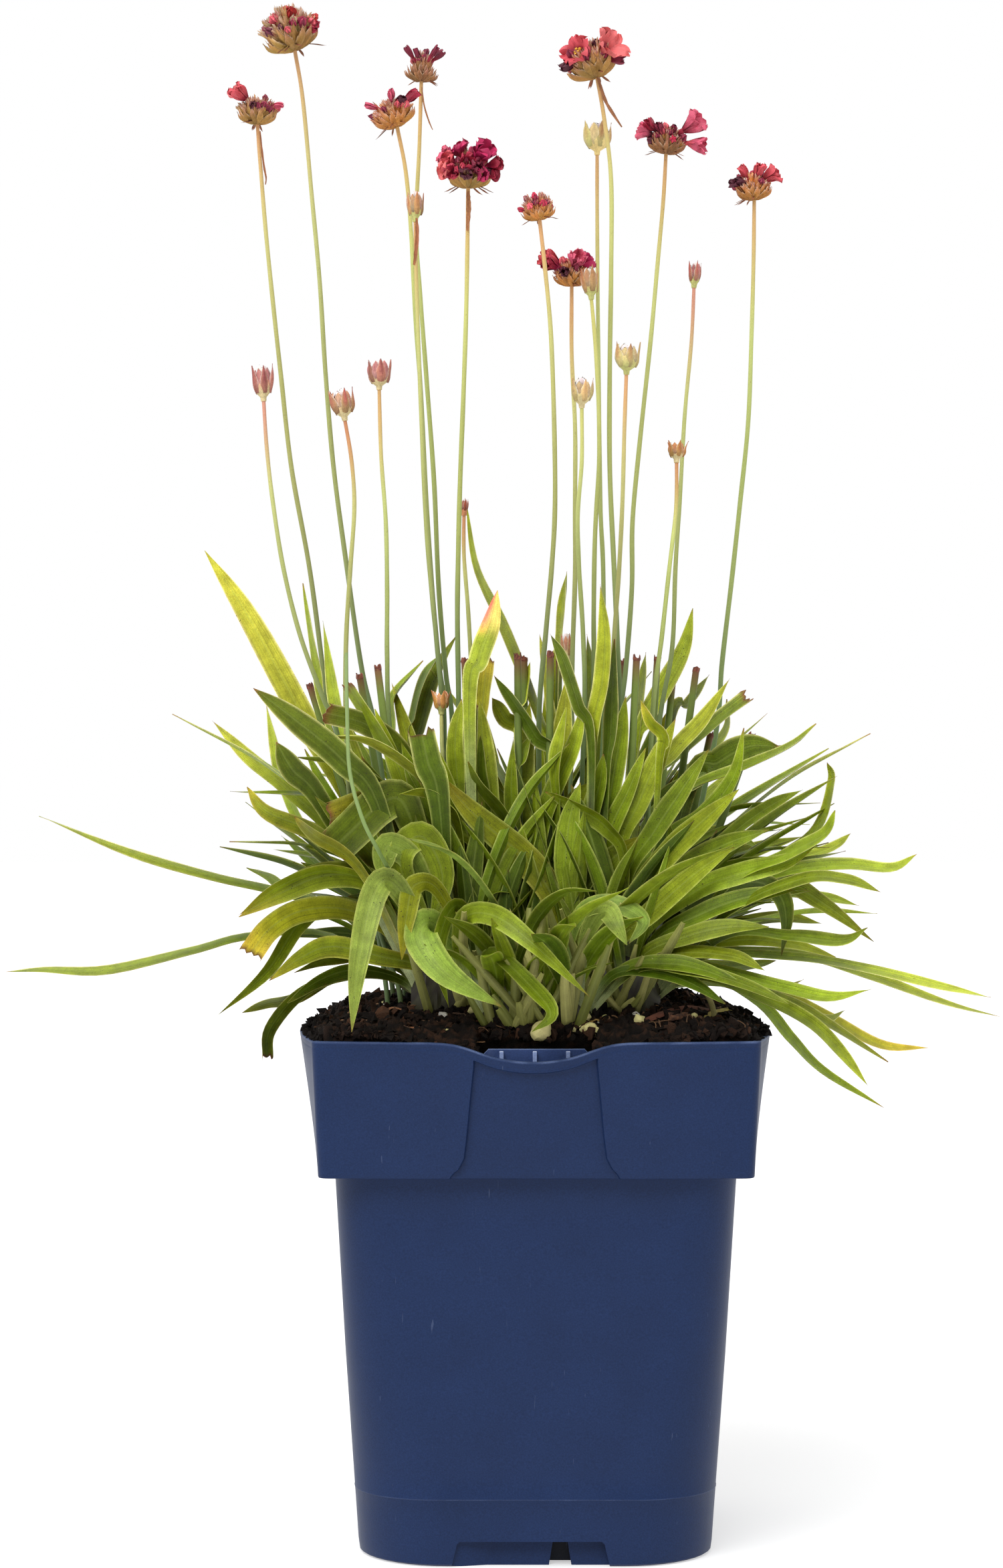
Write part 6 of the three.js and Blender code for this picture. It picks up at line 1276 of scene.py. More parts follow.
def leaf_shades(tones, cuts, spine, rng):
    """The colour over each blade: its tone, slow clouds and streaks along it, darker towards its foot and
    lighter towards its tip (partly its own colour, partly painted shade), a pale foot, a thin pale edge,
    yellow on the tips and edges of old leaves, a brown tip, and a brown edge where it was cut. Painted light
    makes it lighter and paler out at the sides and the top, and painted shade makes it darker deep in the
    clump."""
    count, t, u = len(tones), LEAF_SHARES, LEAF_STOPS
    shade = column([LEAF_TONES[tone] for tone in tones])
    shade = shade * rng.uniform(0.78, 1.18, (count, 1, 1, 1)) * rng.uniform(0.93, 1.07, (count, 1, 1, 3))
    a, b, c, d = rng.uniform(0, 6.28, (4, count, 1, 1))
    streak = (0.07 * np.sin(5 * t + a + 1.5 * u) + 0.05 * np.sin(12 * t + b - 2.5 * u)
              + 0.05 * np.sin(3 * u + c) + 0.05 * np.sin(23 * t + d) * np.sin(4 * u + b))
    # The blade grows darker towards its foot and lighter towards its tip: partly its own colour, partly
    # painted shade.
    shade = shade * (1 + streak + 0.14 * (t - 0.5))[..., None]
    old = column([{"y": 0.45, "o": 0.25, "g": 0.25, "f": 0.2}.get(tone, 0.0) for tone in tones])
    margin = old * (0.8 * np.abs(u) ** 4 * smooth(-0.4, 0.8, np.sin(5 * t + a)) + 0.9 * smooth(0.74, 1.0, t))
    fire = column([tone == "f" for tone in tones]) * smooth(0.62, 0.8, t)
    tips = rng.uniform(0.1, 0.9, (count, 1, 1)) * smooth(0.955, 1.0, t)
    for hue, share in [(HUES["pale_foot"], 0.8 * smooth(0.24, 0.04, t)),
                       (dye(188, 194, 100), 0.7 * np.abs(u) ** 16 * smooth(0.05, 0.3, t)),
                       (dye(196, 166, 48), np.clip(margin, 0, 1)), (dye(168, 164, 60), fire),
                       (dye(222, 104, 60), fire * smooth(0.0, 0.8, u)), (dye(112, 64, 36), tips)]:
        shade = mixed(shade, hue, share[..., None])
    x, y, z = spine.transpose(2, 0, 1)
    # Painted light: blades are made lighter and paler out at the sides and the top.
    painted_light_outside = smooth(60, 125, np.abs(x)) * np.where(x < 0, 1.1, 0.95)
    painted_light_outside = np.clip(painted_light_outside + 0.75 * smooth(212, 255, z), 0, 1.15)[:, :, None, None]
    # Painted shade: blades are made darker deep in the clump, low, near the middle and behind the front.
    deep = smooth(212, 180, z) * smooth(64, 42, np.abs(x)) * smooth(-50, -38, y)
    deep = 0.5 * deep * smooth(0.1, 0.35, SHARES)
    shade = shade * ((1 + painted_light_outside) * (1 - deep[:, :, None, None])) * (1 + painted_light_outside * [0.28, 0.04, 1.3])
    brown = rng.uniform(0.6, 1.3, (count, 1, 1, 1)) * dye(112, 68, 40)
    return mixed(shade, brown, (column(cuts) * smooth(0.968, 0.99, t))[..., None])


def make_crown(skin, layer, rng):
    """A rounded bank of old sheaths along the layer: half a superellipse across, pleated by fine
    waves, smaller at both ends; then short sheaths that lie on it."""
    heart, top = LAYERS[layer][3][3:]
    low, high = crown_span(layer)
    x = np.concatenate([[low - CROWN_END], evenly(60, low, high), [high + CROWN_END]])
    size = np.where((x < low) | (x > high), CROWN_SMALL, 1.0)[:, None]
    middle = np.array([crown_point(layer, at)[1] for at in x])[:, None]
    x, angle = x[:, None], evenly(25, 0, np.pi)
    pleat = 1 + 0.07 * np.sin(x * 2.6 + 3 * np.sin(angle)) + 0.05 * np.sin(x * 5.3 + angle * 2)
    radius = CROWN_RADIUS * size * pleat * 0.94
    y = middle - np.sign(np.cos(angle)) * np.abs(np.cos(angle)) ** 0.8 * radius
    z = mixed(heart - 2, mixed(heart, top, size) - 1.5, np.sin(angle) ** 1.3) + 0.5 * np.sin(x * 1.7)
    foot = 0 * x + CROWN_FOOT + 0.5
    places = np.stack(np.broadcast_arrays(
        x, np.concatenate([middle - 0.9 * radius[:, :1], y, middle + 0.9 * radius[:, :1]], 1),
        np.concatenate([foot, z, foot], 1)), -1)
    tint = smooth(-0.3, 0.9, waves(places, 3, 5))[..., None]
    # The bank's dark olive and brown is partly the old sheaths' own colour and partly painted shade deep in
    # the crown.
    shade = mixed(dye(52, 50, 28), dye(32, 24, 17), tint)
    closed(skin, places, shade, None, [shade[0, 0], shade[-1, 0]], 1)
    count = int((high - low) * 1.5)
    at = rng.uniform(low, high, count)
    side = rng.choice([-1.0, 1.0], count)
    feet = np.array([crown_point(layer, a) for a in at])
    lean = [rng.normal(0, 0.4, count), side * rng.uniform(0.05, 0.75, count), np.ones(count)]
    lean = unit(np.stack(lean, -1))
    length = rng.uniform(0, 1, count) ** 1.3 * 34 + 12
    s = evenly(7)[None, :, None]
    foot = feet + np.stack([0 * at, side * 5.2, np.full(count, -5.0)], -1)
    spine = foot[:, None] + lean[:, None] * column(length) * s
    spine[..., 1] += side[:, None] * 1.5 * (s[..., 0] ** 2)
    across = unit(np.cross(lean, np.stack([0 * at, side, 0 * at], -1)))[:, None] + 0 * spine
    width = rng.uniform(0.9, 1.6, count)[:, None] * np.array([1, 1, 1, 0.98, 0.92, 0.8, 0.45])
    pale = mixed(dye(190, 184, 108), dye(112, 118, 42), rng.uniform(0, 1, (count, 1, 1, 1)))
    straps(skin, spine, across, width, pale * (0.75 + 0.3 * s[..., None]) * np.ones((7, 1)), fold=0.5,
           thick=0.5, finish=1)


# The lower part of a stem that bows out before the leaves: places u, v in the front view and their depths
STRAY_STEM = [(518, 955, -27.6), (518, 990, -33), (519, 1060, -52), (523, 1153, -70), (542, 1224, -76),
              (566, 1272, -74), (588, 1312, -56), (612, 1360, -44), (650, 1440, -40), (668, 1500, -38)]
STUB_SIDES, STUB_STATIONS, STRAY_STATIONS = 12, 14, 40


def make_stubs(skin, layer, rng):
    """The cut ends of old flower stems: a leaning tube whose torn rim rises and falls by draws, with a
    hollow end, reddish near the cut."""
    own = [(place, depth) for at, place, depth in STUBS if at == layer]
    if not own:
        return
    tops = np.array([seen(p, float(depth_in_layer(layer, seen(p, d)[0], d, 2.4))) for p, d in own])
    feet = np.array([crown_point(layer, top[0] * 0.8) for top in tops])
    middles = (tops + feet) / 2
    middles[:, 0] += (tops[:, 0] - feet[:, 0]) * 0.06
    count, share = len(own), evenly(STUB_STATIONS)
    spine = np.array([curve(knots, share) for knots in zip(feet, middles, tops)])
    radius = np.ones((count, 1, STUB_SIDES)) * evenly(STUB_STATIONS, 1.2, 1.05)[:, None]
    radius[:, -1] *= 0.98
    share = share[:, None]
    green = mixed(dye(84, 106, 48), dye(112, 128, 58), share)
    shade = mixed(green, dye(116, 76, 54), smooth(0.95, 0.995, share)) * rng.uniform(0.85, 1.1, (count, 1, 1))
    tubes(skin, spine, radius, shade, STUB_SIDES, finish=2)
    if layer == "front":
        fade = evenly(STRAY_STATIONS)
        stray = curve([seen((u, v), depth) for u, v, depth in STRAY_STEM], fade)
        tubes(skin, stray[None], np.full((1, STRAY_STATIONS, 10), 0.56),
              mixed(dye(128, 148, 92), dye(112, 136, 66), fade[None, :, None]), 10, finish=2)
    axis = unit(spine[:, -1] - spine[:, -2])
    rim = rng.uniform(0.2, 1.5, (count, 1, STUB_SIDES)) ** 1.2
    rise = np.concatenate([0 * rim - 0.6, 0 * rim, rim, rim - 0.1, 0 * rim - 0.2], 1)
    radius = np.array([1.06, 1.12, 1.1, 0.85, 0.7])[:, None] * (1 + 0.08 * rng.normal(size=rise.shape))
    torn = mixed(dye(146, 84, 66), dye(64, 34, 28), rng.uniform(0, 1, rise.shape + (1,)))
    turned(skin, tops, axis, rng.uniform(0, 6, count), radius, rise, torn, finish=2)


# More leaves deep in the clump: layer, how many, plan headings, lengths, start and end lean, tones
FILL_LEAVES = [
    ("front", 38, (-178, -2), (36, 76), (4, 26), (14, 60), "mmdbd"),
    ("back", 42, (2, 178), (44, 98), (4, 24), (16, 66), "mmdbm"),
    ("left", 22, (150, 210), (40, 92), (10, 50), (50, 100), "mdbmm"),
    ("right", 34, (-30, 30), (44, 100), (12, 54), (56, 108), "mdbmm"),
    ("lowBack", 26, (12, 168), (40, 90), (6, 40), (60, 120), "mbdmp"),
    ("lowFront", 7, (-150, -30), (30, 52), (8, 34), (50, 96), "mbm"),
]


def make_shoots(index, layer):
    """All the leaves of a layer, its crown and its cut stems as one piece."""
    rng = np.random.default_rng(100 + index)
    leaves = []
    for i, (at, width, tone, places, *options) in enumerate(SEEN_LEAVES):
        if at == layer:
            leaf = seen_leaf(at, i, width, np.reshape(places, (-1, 2)), *options)
            leaves.append((*leaf, tone, len(options) > 2))
    for rules, start in ((ARC_LEAVES, 1), (FILL_LEAVES, 200)):
        for at, count, *spans, some in rules:
            for i in range(start, start + count if at == layer else start):
                heading, length, steep, droop = (mixed(*map(float, span), draw(i, use))
                                                 for span, use in zip(spans, (0, 2, 1, 4)))
                heading, steep, droop = map(math.radians, (heading, steep, droop))
                width, place = 4.6 + 3.8 * draw(i, 1), None
                if rules is FILL_LEAVES:
                    width = (2.6 if layer in SLENDER else 3.6) + 3.0 * draw(i, 2)
                    place = (i - start + 0.5) / count
                leaf = arc_leaf(layer, i, heading, length, steep, droop, width, place)
                leaves.append((*leaf, some[i % len(some)], False))
    *shapes, tones, cuts = zip(*leaves)
    spine, across, half = map(np.array, shapes)
    count, t, u = len(leaves), LEAF_SHARES, LEAF_STOPS
    a, b = rng.uniform(0, 6.28, (2, count, 1, 1))
    ripple = 0.22 * np.sin(9 * t + a) * u**2 * np.sin(np.pi * t) + 0.16 * np.sin(15 * t + b) * u
    ripple = ripple + half[..., None] * rng.uniform(0.05, 0.26, (count, 1, 1)) * np.abs(u) ** 1.5
    torn = column(cuts) * smooth(0.93, 1, t) * rng.normal(0, 0.7, (count, 1, BLADE_COLUMNS))
    half = half * (1 + 0.03 * np.sin(7 * SHARES + a[..., 0]))
    skin = Skin()
    straps(skin, spine, across, half, leaf_shades(tones, cuts, spine, rng), fold=0.0, keel=0.35, thick=0.42,
           wave=ripple, pull=torn, under=np.array([0.94, 0.96, 0.98]))
    make_crown(skin, layer, rng)
    make_stubs(skin, layer, rng)
    name = SHOOT_NAMES[layer]
    skin.make(name + "_grown", [LEAF, SHEATHS, STALK], "leaf", [name], crease=60)


# Stems

def stem_knots(data):
    """The places a stem passes, from its root up: it goes down its lane among the leaves, and eases out
    to the depth of its head above them."""
    lane, root, clear = LANES[data["lane"]], data["root"], LEAF_TOP + 8
    slope = np.sign(lane) * LANE_SLOPE
    neck_z = seen(data["stem"][0], data["depth"])[2]
    places = []
    for place in data["stem"]:
        x, _, z = seen(place, 0.0)
        rise = smooth(clear, max(neck_z, LEAF_TOP + 60), z)
        places.append(seen(place, mixed(lane + slope * abs(x), data["depth"], rise)))
    for level in ((SOIL_MOUND + places[-1][2]) / 2 - 4, SOIL_MOUND + 3, STEM_ROOT):
        last = places[-1]
        share = np.clip((last[2] - level) / (last[2] - STEM_ROOT), 0, 1)
        x = root if level <= SOIL_MOUND + 3 else mixed(last[0], root, share * 1.4)
        places.append(np.array([x, lane + slope * abs(x), level]))
    return places[::-1]


STEM_STATIONS, STEM_SIDES, STRIP_STATIONS = 90, 12, 12


def add_stem(skin, data, low, high, top_hue):
    """The stem as a tube, a little uneven, green low down and warmer towards its head."""
    share = evenly(STEM_STATIONS)
    spine = curve(stem_knots(data), share)
    seed = int(abs(data["root"]) * 7 + data["stem"][0][0])
    radius = (mixed(low, high, share**2) * (1 + 0.03 * np.sin(share * 60 + seed)))[:, None]
    radius = radius * (1 + 0.035 * np.cos(around(STEM_SIDES) * 3 + seed))
    shade = HUES["stem_low"]
    for hue, start, end, most in [(HUES["stem_mid"], 0.25, 0.62, 1), (HUES["stem_high"], 0.6, 0.85, 1),
                                  (top_hue, 0.78, 0.985, 0.92)]:
        shade = mixed(shade, hue, smooth(start, end, share)[:, None] * most)
    sun = np.random.default_rng(seed).uniform(-0.06, 0.06, (1, 3))
    tubes(skin, spine[None], radius[None], (shade * (1 + sun))[None], STEM_SIDES)


def add_strips(skin, name, data, seed):
    """Thin brown strips of torn sheath under a head, their lower ends loose and ragged."""
    for which, places, width, hue in SHEATH_STRIPS:
        if which == name:
            rng = np.random.default_rng(seed)
            spine = curve([seen(place, data["depth"] - 1.0) for place in places], evenly(STRIP_STATIONS))
            along = unit(np.gradient(spine, axis=0))
            across = unit(np.cross(along, unit(spine - EYE)))[None]
            half = width / 2 * (0.3 + 0.5 * np.sin(evenly(STRIP_STATIONS, 0.2, 3.0)))[None]
            half = half * rng.uniform(0.8, 1.15, half.shape)
            shade = dye(*hue) * rng.uniform(0.75, 1.2, (1, STRIP_STATIONS, 5, 1))
            straps(skin, spine[None], across, half, shade, fold=0.5, thick=0.14, finish=1)


# Heads and buds

def head_frame(data, tilt):
    """The head's foot and its turn: +Z is carried to the last stretch of the stem, tilted in the view."""
    before, neck = stem_knots(data)[-2:]
    x, y, z = unit(neck - before)
    c, s = math.cos(math.radians(tilt)), math.sin(math.radians(tilt))
    along = np.array([x * c + z * s, y, z * c - x * s])
    a, b, _ = np.cross([0.0, 0, 1], along)
    skew = np.array([[0, 0, b], [0, 0, -a], [-b, a, 0]])
    return neck, np.eye(3) + skew + skew @ skew / (1 + along[2])


def put(head, places):
    """Places of a head's own frame, turned its way and moved to its foot."""
    neck, turn = head
    return np.asarray(places) @ turn.T + neck


def add_core(skin, head, rows, sides, uneven, shade, rng, finish):
    """The solid middle of a head or bud: (radius, height) rows turned about its axis, a little uneven."""
    rows = np.array(rows)
    core = rows[None, :, :1] * (1 + uneven * rng.normal(size=(1, len(rows), sides)))
    axis = head[1] @ [0.0, 0, 1]
    turned(skin, head[0][None], axis[None], np.zeros(1), core, rows[None, :, 1], shade, finish)


FULL = 0.55


def ring_of_bracts(skin, head, angles, rows, half, shade, rng, fold=0.5, thick=0.2, finish=0, tip=None,
                   edge=None, streak=None, point=1.6, ragged=0.12):
    """Pointed bracts about a head's axis. Rows are (radius, height) places from foot to tip, carried
    round to each angle; the half width is full until 55 percent and then tapers to the tip as 1 less
    a power. Their tips, their thin edges and a streak along their middle have hues of their own."""
    count, stations, columns = len(angles), 11, 9
    s, u = evenly(stations), evenly(columns, -1)
    path = curve([(r, 0, z) for r, z in rows], s)[None]
    jitter = rng.normal(0, 0.05, (count, 1, 1)) * path[..., :1]
    out = np.stack([np.cos(angles), np.sin(angles), 0 * angles], -1)
    side = np.stack([-np.sin(angles), np.cos(angles), 0 * angles], -1)
    local = out[:, None] * (path[..., :1] + jitter) + path[..., 2:] * np.array([0, 0, 1.0])
    local = local * rng.uniform(0.93, 1.06, (count, 1, 1))
    local = local + side[:, None] * (rng.normal(0, 0.06, (count, 1, 1)) * rows[-1][0] * s[:, None] ** 2)
    spine = put(head, local)
    across = (side @ head[1].T)[:, None] + 0 * spine
    taper = 1 - (np.clip((s - FULL) / (1 - FULL), 0, 1)) ** point
    width = half * np.where(s < FULL, 0.6 + 0.4 * np.sin(s / FULL * np.pi / 2), taper)
    width = np.maximum(width, 0.05 * half)[None] * rng.uniform(0.85, 1.15, (count, 1))
    torn = rng.normal(0, ragged, (count, stations, columns)) * u**4 * half
    off, s = np.abs(u)[None, None], s[None, :, None]
    colour = shade * rng.uniform(0.72, 1.25, (count, 1, 1, 1)) * np.ones((1, stations, columns, 3))
    colour = colour * rng.uniform(0.92, 1.08, (count, 1, 1, 3)) * (1 - 0.45 * (1 - s[..., None]) ** 2)
    for hue, share, least in [(streak, 0.75 * smooth(0.5, 0.1, off) * smooth(0.2, 0.6, s), 0.3),
                              (tip, smooth(0.5, 0.98, s) * (0.45 + 0.55 * off**2), 0.3),
                              (edge, 0.8 * smooth(0.6, 1.0, off) * smooth(0.15, 0.5, s), 0.5)]:
        if hue is not None:
            colour = mixed(colour, hue, (share * rng.uniform(least, 1, (count, 1, 1)))[..., None])
    wave = 0.08 * half * np.sin(7 * s + rng.uniform(0, 6.28, (count, 1, 1)) + 3 * u)
    straps(skin, spine, across, width, colour, fold=fold, thick=thick, finish=finish, pull=torn, wave=wave)


def scaled(rows, radius, height):
    """(radius, height) rows given in shares of a size."""
    return [(a * radius, b * height) for a, b in rows]


# The rows of bracts in a bowl: how many, inner end, outer rows in shares of the radius, half width, start
BOWL_ROWS = [
    (15, (0.7, 0.1), [(0.5, 0.08), (0.86, 0.28), (1.0, 0.60)], 0.175, 0.0),
    (16, (0.7, 0.3), [(0.5, 0.2), (0.8, 0.45), (0.92, 0.86)], 0.17, 0.35),
    (13, (0.6, 0.5), [(0.44, 0.32), (0.66, 0.6), (0.74, 1.02)], 0.16, 0.1),
]


def add_bowl(skin, head, r, hue, rng):
    """A head's bowl: a solid receptacle, rows of overlapping papery bracts with pale torn edges and
    browned tips, and thin ones spread below it."""
    rows = [(0.9, 0.0), (1.15, 0.35)] + scaled([(0.4, 0.16), (0.62, 0.34), (0.66, 0.5), (0.4, 0.58)], r, r)
    add_core(skin, head, rows, 20, 0.04, np.broadcast_to(hue * 0.6, (1, len(rows), 3)), rng, 0)
    for count, first, others, half, start in BOWL_ROWS:
        angles = start + around(count) + rng.normal(0, 0.12, count)
        ring_of_bracts(skin, head, angles, [first] + scaled(others, r, r), half * r, hue, rng,
                       tip=dye(196, 128, 118), edge=dye(226, 206, 178), streak=hue * 0.6, ragged=0.34,
                       thick=0.12, fold=0.7, point=1.3)
    low = scaled([(0.3, 0.2), (0.72, 0.06), (0.98, -0.04), (1.16, -0.10)], r, r)
    ring_of_bracts(skin, head, rng.uniform(0, 2 * np.pi, 5), low, 0.05 * r, HUES["brown"] * 1.7, rng,
                   fold=0.2, thick=0.14, point=1.0)


# Profiles (radius, height) of a calyx with the depth of its ribs and the rise of its teeth, and of a tuft
CALYX = np.array([[0.3, 0, 0, 0], [0.7, 0.16, 0.05, 0], [1.0, 0.42, 0.08, 0], [1.02, 0.64, 0.1, 0],
                  [0.84, 0.84, 0.1, 0], [0.9, 0.96, 0.16, 0.07], [0.55, 1.0, 0.2, 0.10], [0.4, 0.9, 0, 0]])
TUFT = np.array([[0.35, 0], [0.62, 0.22], [0.9, 0.45], [1.0, 0.66], [0.72, 0.85], [0.3, 1.0]])
CALYX_SIDES, TUFT_SIDES, GOLDEN_TURN = 12, 15, 2.39996


def add_calyces(skin, head, r, count, tufts, hue, spread, tall, rng):
    """The calyces fan out of the bowl: each is a ribbed, pleated tube that swells and narrows, with
    pale torn teeth. In some of them a closed or withered floret stands, its five folds twisted."""
    i = np.arange(count) + 0.5
    lean, heading = np.sqrt(i / count) * spread, i * GOLDEN_TURN
    flat = np.stack([np.cos(heading), np.sin(heading), 0 * heading], -1) * np.sin(lean)[:, None]
    foot = flat * 0.22 * r + np.outer(0.16 * r + 0.08 * r * np.cos(lean), [0, 0, 1])
    end = flat * 0.96 * r + np.outer(0.48 * r + tall * r * np.cos(lean), [0, 0, 1])
    end = foot + (end - foot) * rng.uniform(0.86, 1.12, (count, 1)) + rng.normal(0, 0.05 * r, (count, 3))
    length, way, foot = np.linalg.norm(end - foot, axis=1), unit(end - foot) @ head[1].T, put(head, foot)
    ridge = np.where(np.arange(CALYX_SIDES) % 2 == 0, 1.0, -1.0)
    wide, level, ribs, teeth = (CALYX[:, k, None] for k in range(4))
    size = (0.115 * r + 0.2) * rng.uniform(0.75, 1.2, (count, 1, 1))
    uneven = 1 + 0.06 * rng.normal(size=(count, len(CALYX), CALYX_SIDES))
    radius = wide * (1 + ribs * ridge) * size * uneven
    rise = (level + teeth * ridge * rng.uniform(0.4, 1.6, (count, 1, CALYX_SIDES))) * column(length)
    level = level[..., None]
    own = hue * rng.uniform(0.75, 1.25, (count, 1, 1, 1)) * rng.uniform(0.92, 1.08, (count, 1, 1, 3))
    colour = own * (0.7 + 0.35 * level) * (1 - 0.16 * ridge[:, None])
    blush = mixed(dye(196, 120, 112), dye(132, 52, 66), rng.uniform(0, 1, (count, 1, 1, 1)))
    colour = mixed(colour, blush, smooth(0.6, 0.95, level) * rng.uniform(0.1, 0.9, (count, 1, 1, 1)))
    colour = mixed(colour, dye(232, 214, 196),
                   smooth(0.9, 1.0, level) * rng.uniform(0, 0.7, (count, 1, CALYX_SIDES, 1)))
    turned(skin, foot, way, heading, radius, rise, colour, finish=1)
    if not tufts:
        return
    pick = rng.permutation(count)[:tufts]
    foot, way = foot[pick] + way[pick] * (length[pick] * 0.72)[:, None], way[pick]
    grid = (tufts, len(TUFT), TUFT_SIDES)
    wide, level = TUFT[:, :1], TUFT[:, 1:]
    ridge = np.cos(5 * around(TUFT_SIDES) + rng.uniform(-2.5, 2.5, (tufts, 1, 1)) * level)
    radius = wide * (1 + 0.24 * ridge + 0.10 * rng.normal(size=grid))
    radius = radius * (0.10 * r + 0.35) * rng.uniform(0.7, 1.3, (tufts, 1, 1))
    height = (0.26 * r + 1.2) * rng.uniform(0.6, 1.3, (tufts, 1, 1))
    rise = (level + 0.06 * rng.normal(size=grid)) * height
    hues = np.array([HUES[name] for name in ("maroon", "wine", "crimson", "wine", "rose_tip")])
    own = column(hues[rng.integers(0, 5, tufts)]) * rng.uniform(0.8, 1.25, (tufts, 1, 1, 1))
    # Painted highlight on the ridges of the folds and painted shade between them; lighter towards the top.
    colour = own * (1 + 0.55 * ridge[..., None]) * (0.8 + 0.5 * level[..., None])
    way = unit(way + rng.normal(0, 0.16, (tufts, 3)))
    turned(skin, foot, way, np.zeros(tufts), radius, rise, colour, finish=0)


PETALS, PETAL_STATIONS, PETAL_COLUMNS, THROAT_STATIONS, BROAD_AT = 5, 11, 7, 6, 0.62


def add_florets(skin, bases, mouths, lengths, widths, claw, tip, inner, outer, rng):
    """Florets: a slender tube from each base to its mouth, and five petals from the mouth. A petal's
    lean from the axis goes from that of the claw to that of the tip, its width swells to 62 percent of
    its length and ends round, and its edge is ruffled."""
    count = len(bases)
    axis, reach = unit(mouths - bases), np.linalg.norm(mouths - bases, axis=1)
    s = evenly(THROAT_STATIONS)
    throat = np.maximum(widths * 0.17, 0.45)[:, None] * np.array([0.55, 0.7, 0.8, 0.9, 1.05, 1.1])
    throat = throat[..., None] * (1 + 0.048 * rng.normal(size=(count, THROAT_STATIONS, 8)))
    shade = outer[:, None] * mixed(0.7, 1, s[:, None])
    turned(skin, bases, axis, np.zeros(count), throat, s * reach[:, None], shade, finish=0)

    first, second = (way[:, None] for way in frames(axis, rng.uniform(0, 6.28, count)))
    t, u = evenly(PETAL_STATIONS), eased(PETAL_COLUMNS)
    angle = (around(PETALS) + rng.normal(0, 0.12, (count, PETALS)))[..., None]
    out = first * np.cos(angle) + second * np.sin(angle)
    side = second * np.cos(angle) - first * np.sin(angle)
    lean = np.radians(mixed(column(claw), column(tip), t**0.8) + rng.normal(0, 5, (count, PETALS, 1)))
    step = column(lengths) * rng.uniform(0.88, 1.08, (count, PETALS, 1)) / (PETAL_STATIONS - 1)
    along, away = (np.insert(np.cumsum(part(lean[..., 1:]), -1), 0, 0, axis=-1) * step
                   for part in (np.cos, np.sin))
    away = np.maximum(away + column(widths * 0.14), 0.12 * column(widths) * (1.2 - t))
    spine = (mouths[:, None, None] + axis[:, None, None] * (along - 0.4)[..., None]
             + out[:, :, None] * away[..., None])
    across = side[:, :, None] + 0 * spine
    spine, across = (places.reshape(-1, PETAL_STATIONS, 3) for places in (spine, across))
    lengths, widths, outer, inner = (np.repeat(values, PETALS, 0)
                                     for values in (lengths, widths, outer, inner))
    count = len(lengths)
    swell = 0.36 + 0.64 * np.sin(np.pi / 2 * np.minimum(t / BROAD_AT, 1))
    round_end = 1 - np.clip((t - BROAD_AT) / 0.40, 0, 1) ** 2.4
    shape = swell * np.sqrt(np.clip(round_end, 0.02, 1))
    half = widths[:, None] / 2 * shape * rng.uniform(0.85, 1.1, (count, 1))
    a, b = rng.uniform(0, 6.28, (2, count, 1, 1))
    t = t[:, None]
    wave = 0.14 * column(widths) * t**1.5 * (np.sin(4.5 * u + a) + 0.6 * np.sin(8 * u + 6 * t + b))
    notch = -0.10 * column(lengths) * np.exp(-((u / 0.3) ** 2)) * smooth(0.8, 1, t)
    face = column(inner) * rng.uniform(0.85, 1.15, (count, 1, 1, 1))
    colour = mixed(column(outer) * 0.8, face, smooth(0.05, 0.5, t)[..., None])
    colour = colour * (1 + 0.18 * (u * u * smooth(0.4, 1, t)))[..., None]
    straps(skin, spine, across, half, colour, fold=0.32, thick=0.16, wave=wave, pull=notch, under=0.9)


def add_anthers(skin, mouth, axis, rng):
    """Five fine filaments with yellow anthers in the mouth of an open floret."""
    first, second = frames(axis[None], np.zeros(1))
    angle = (around(5) + 0.3)[:, None]
    ends = mouth + axis * rng.uniform(1.6, 3.0, (5, 1)) + first * np.cos(angle) + second * np.sin(angle)
    spine = mouth + (ends - mouth)[:, None] * evenly(5)[:, None]
    tubes(skin, spine, np.full((5, 5), 0.09), np.broadcast_to(dye(226, 150, 130), (5, 5, 3)), 5)
    lumps(skin, ends, np.full(5, 0.42), np.broadcast_to(HUES["pollen"], (5, 3)), 7, 0.08, 1.3)


WIDE_OPEN = 60


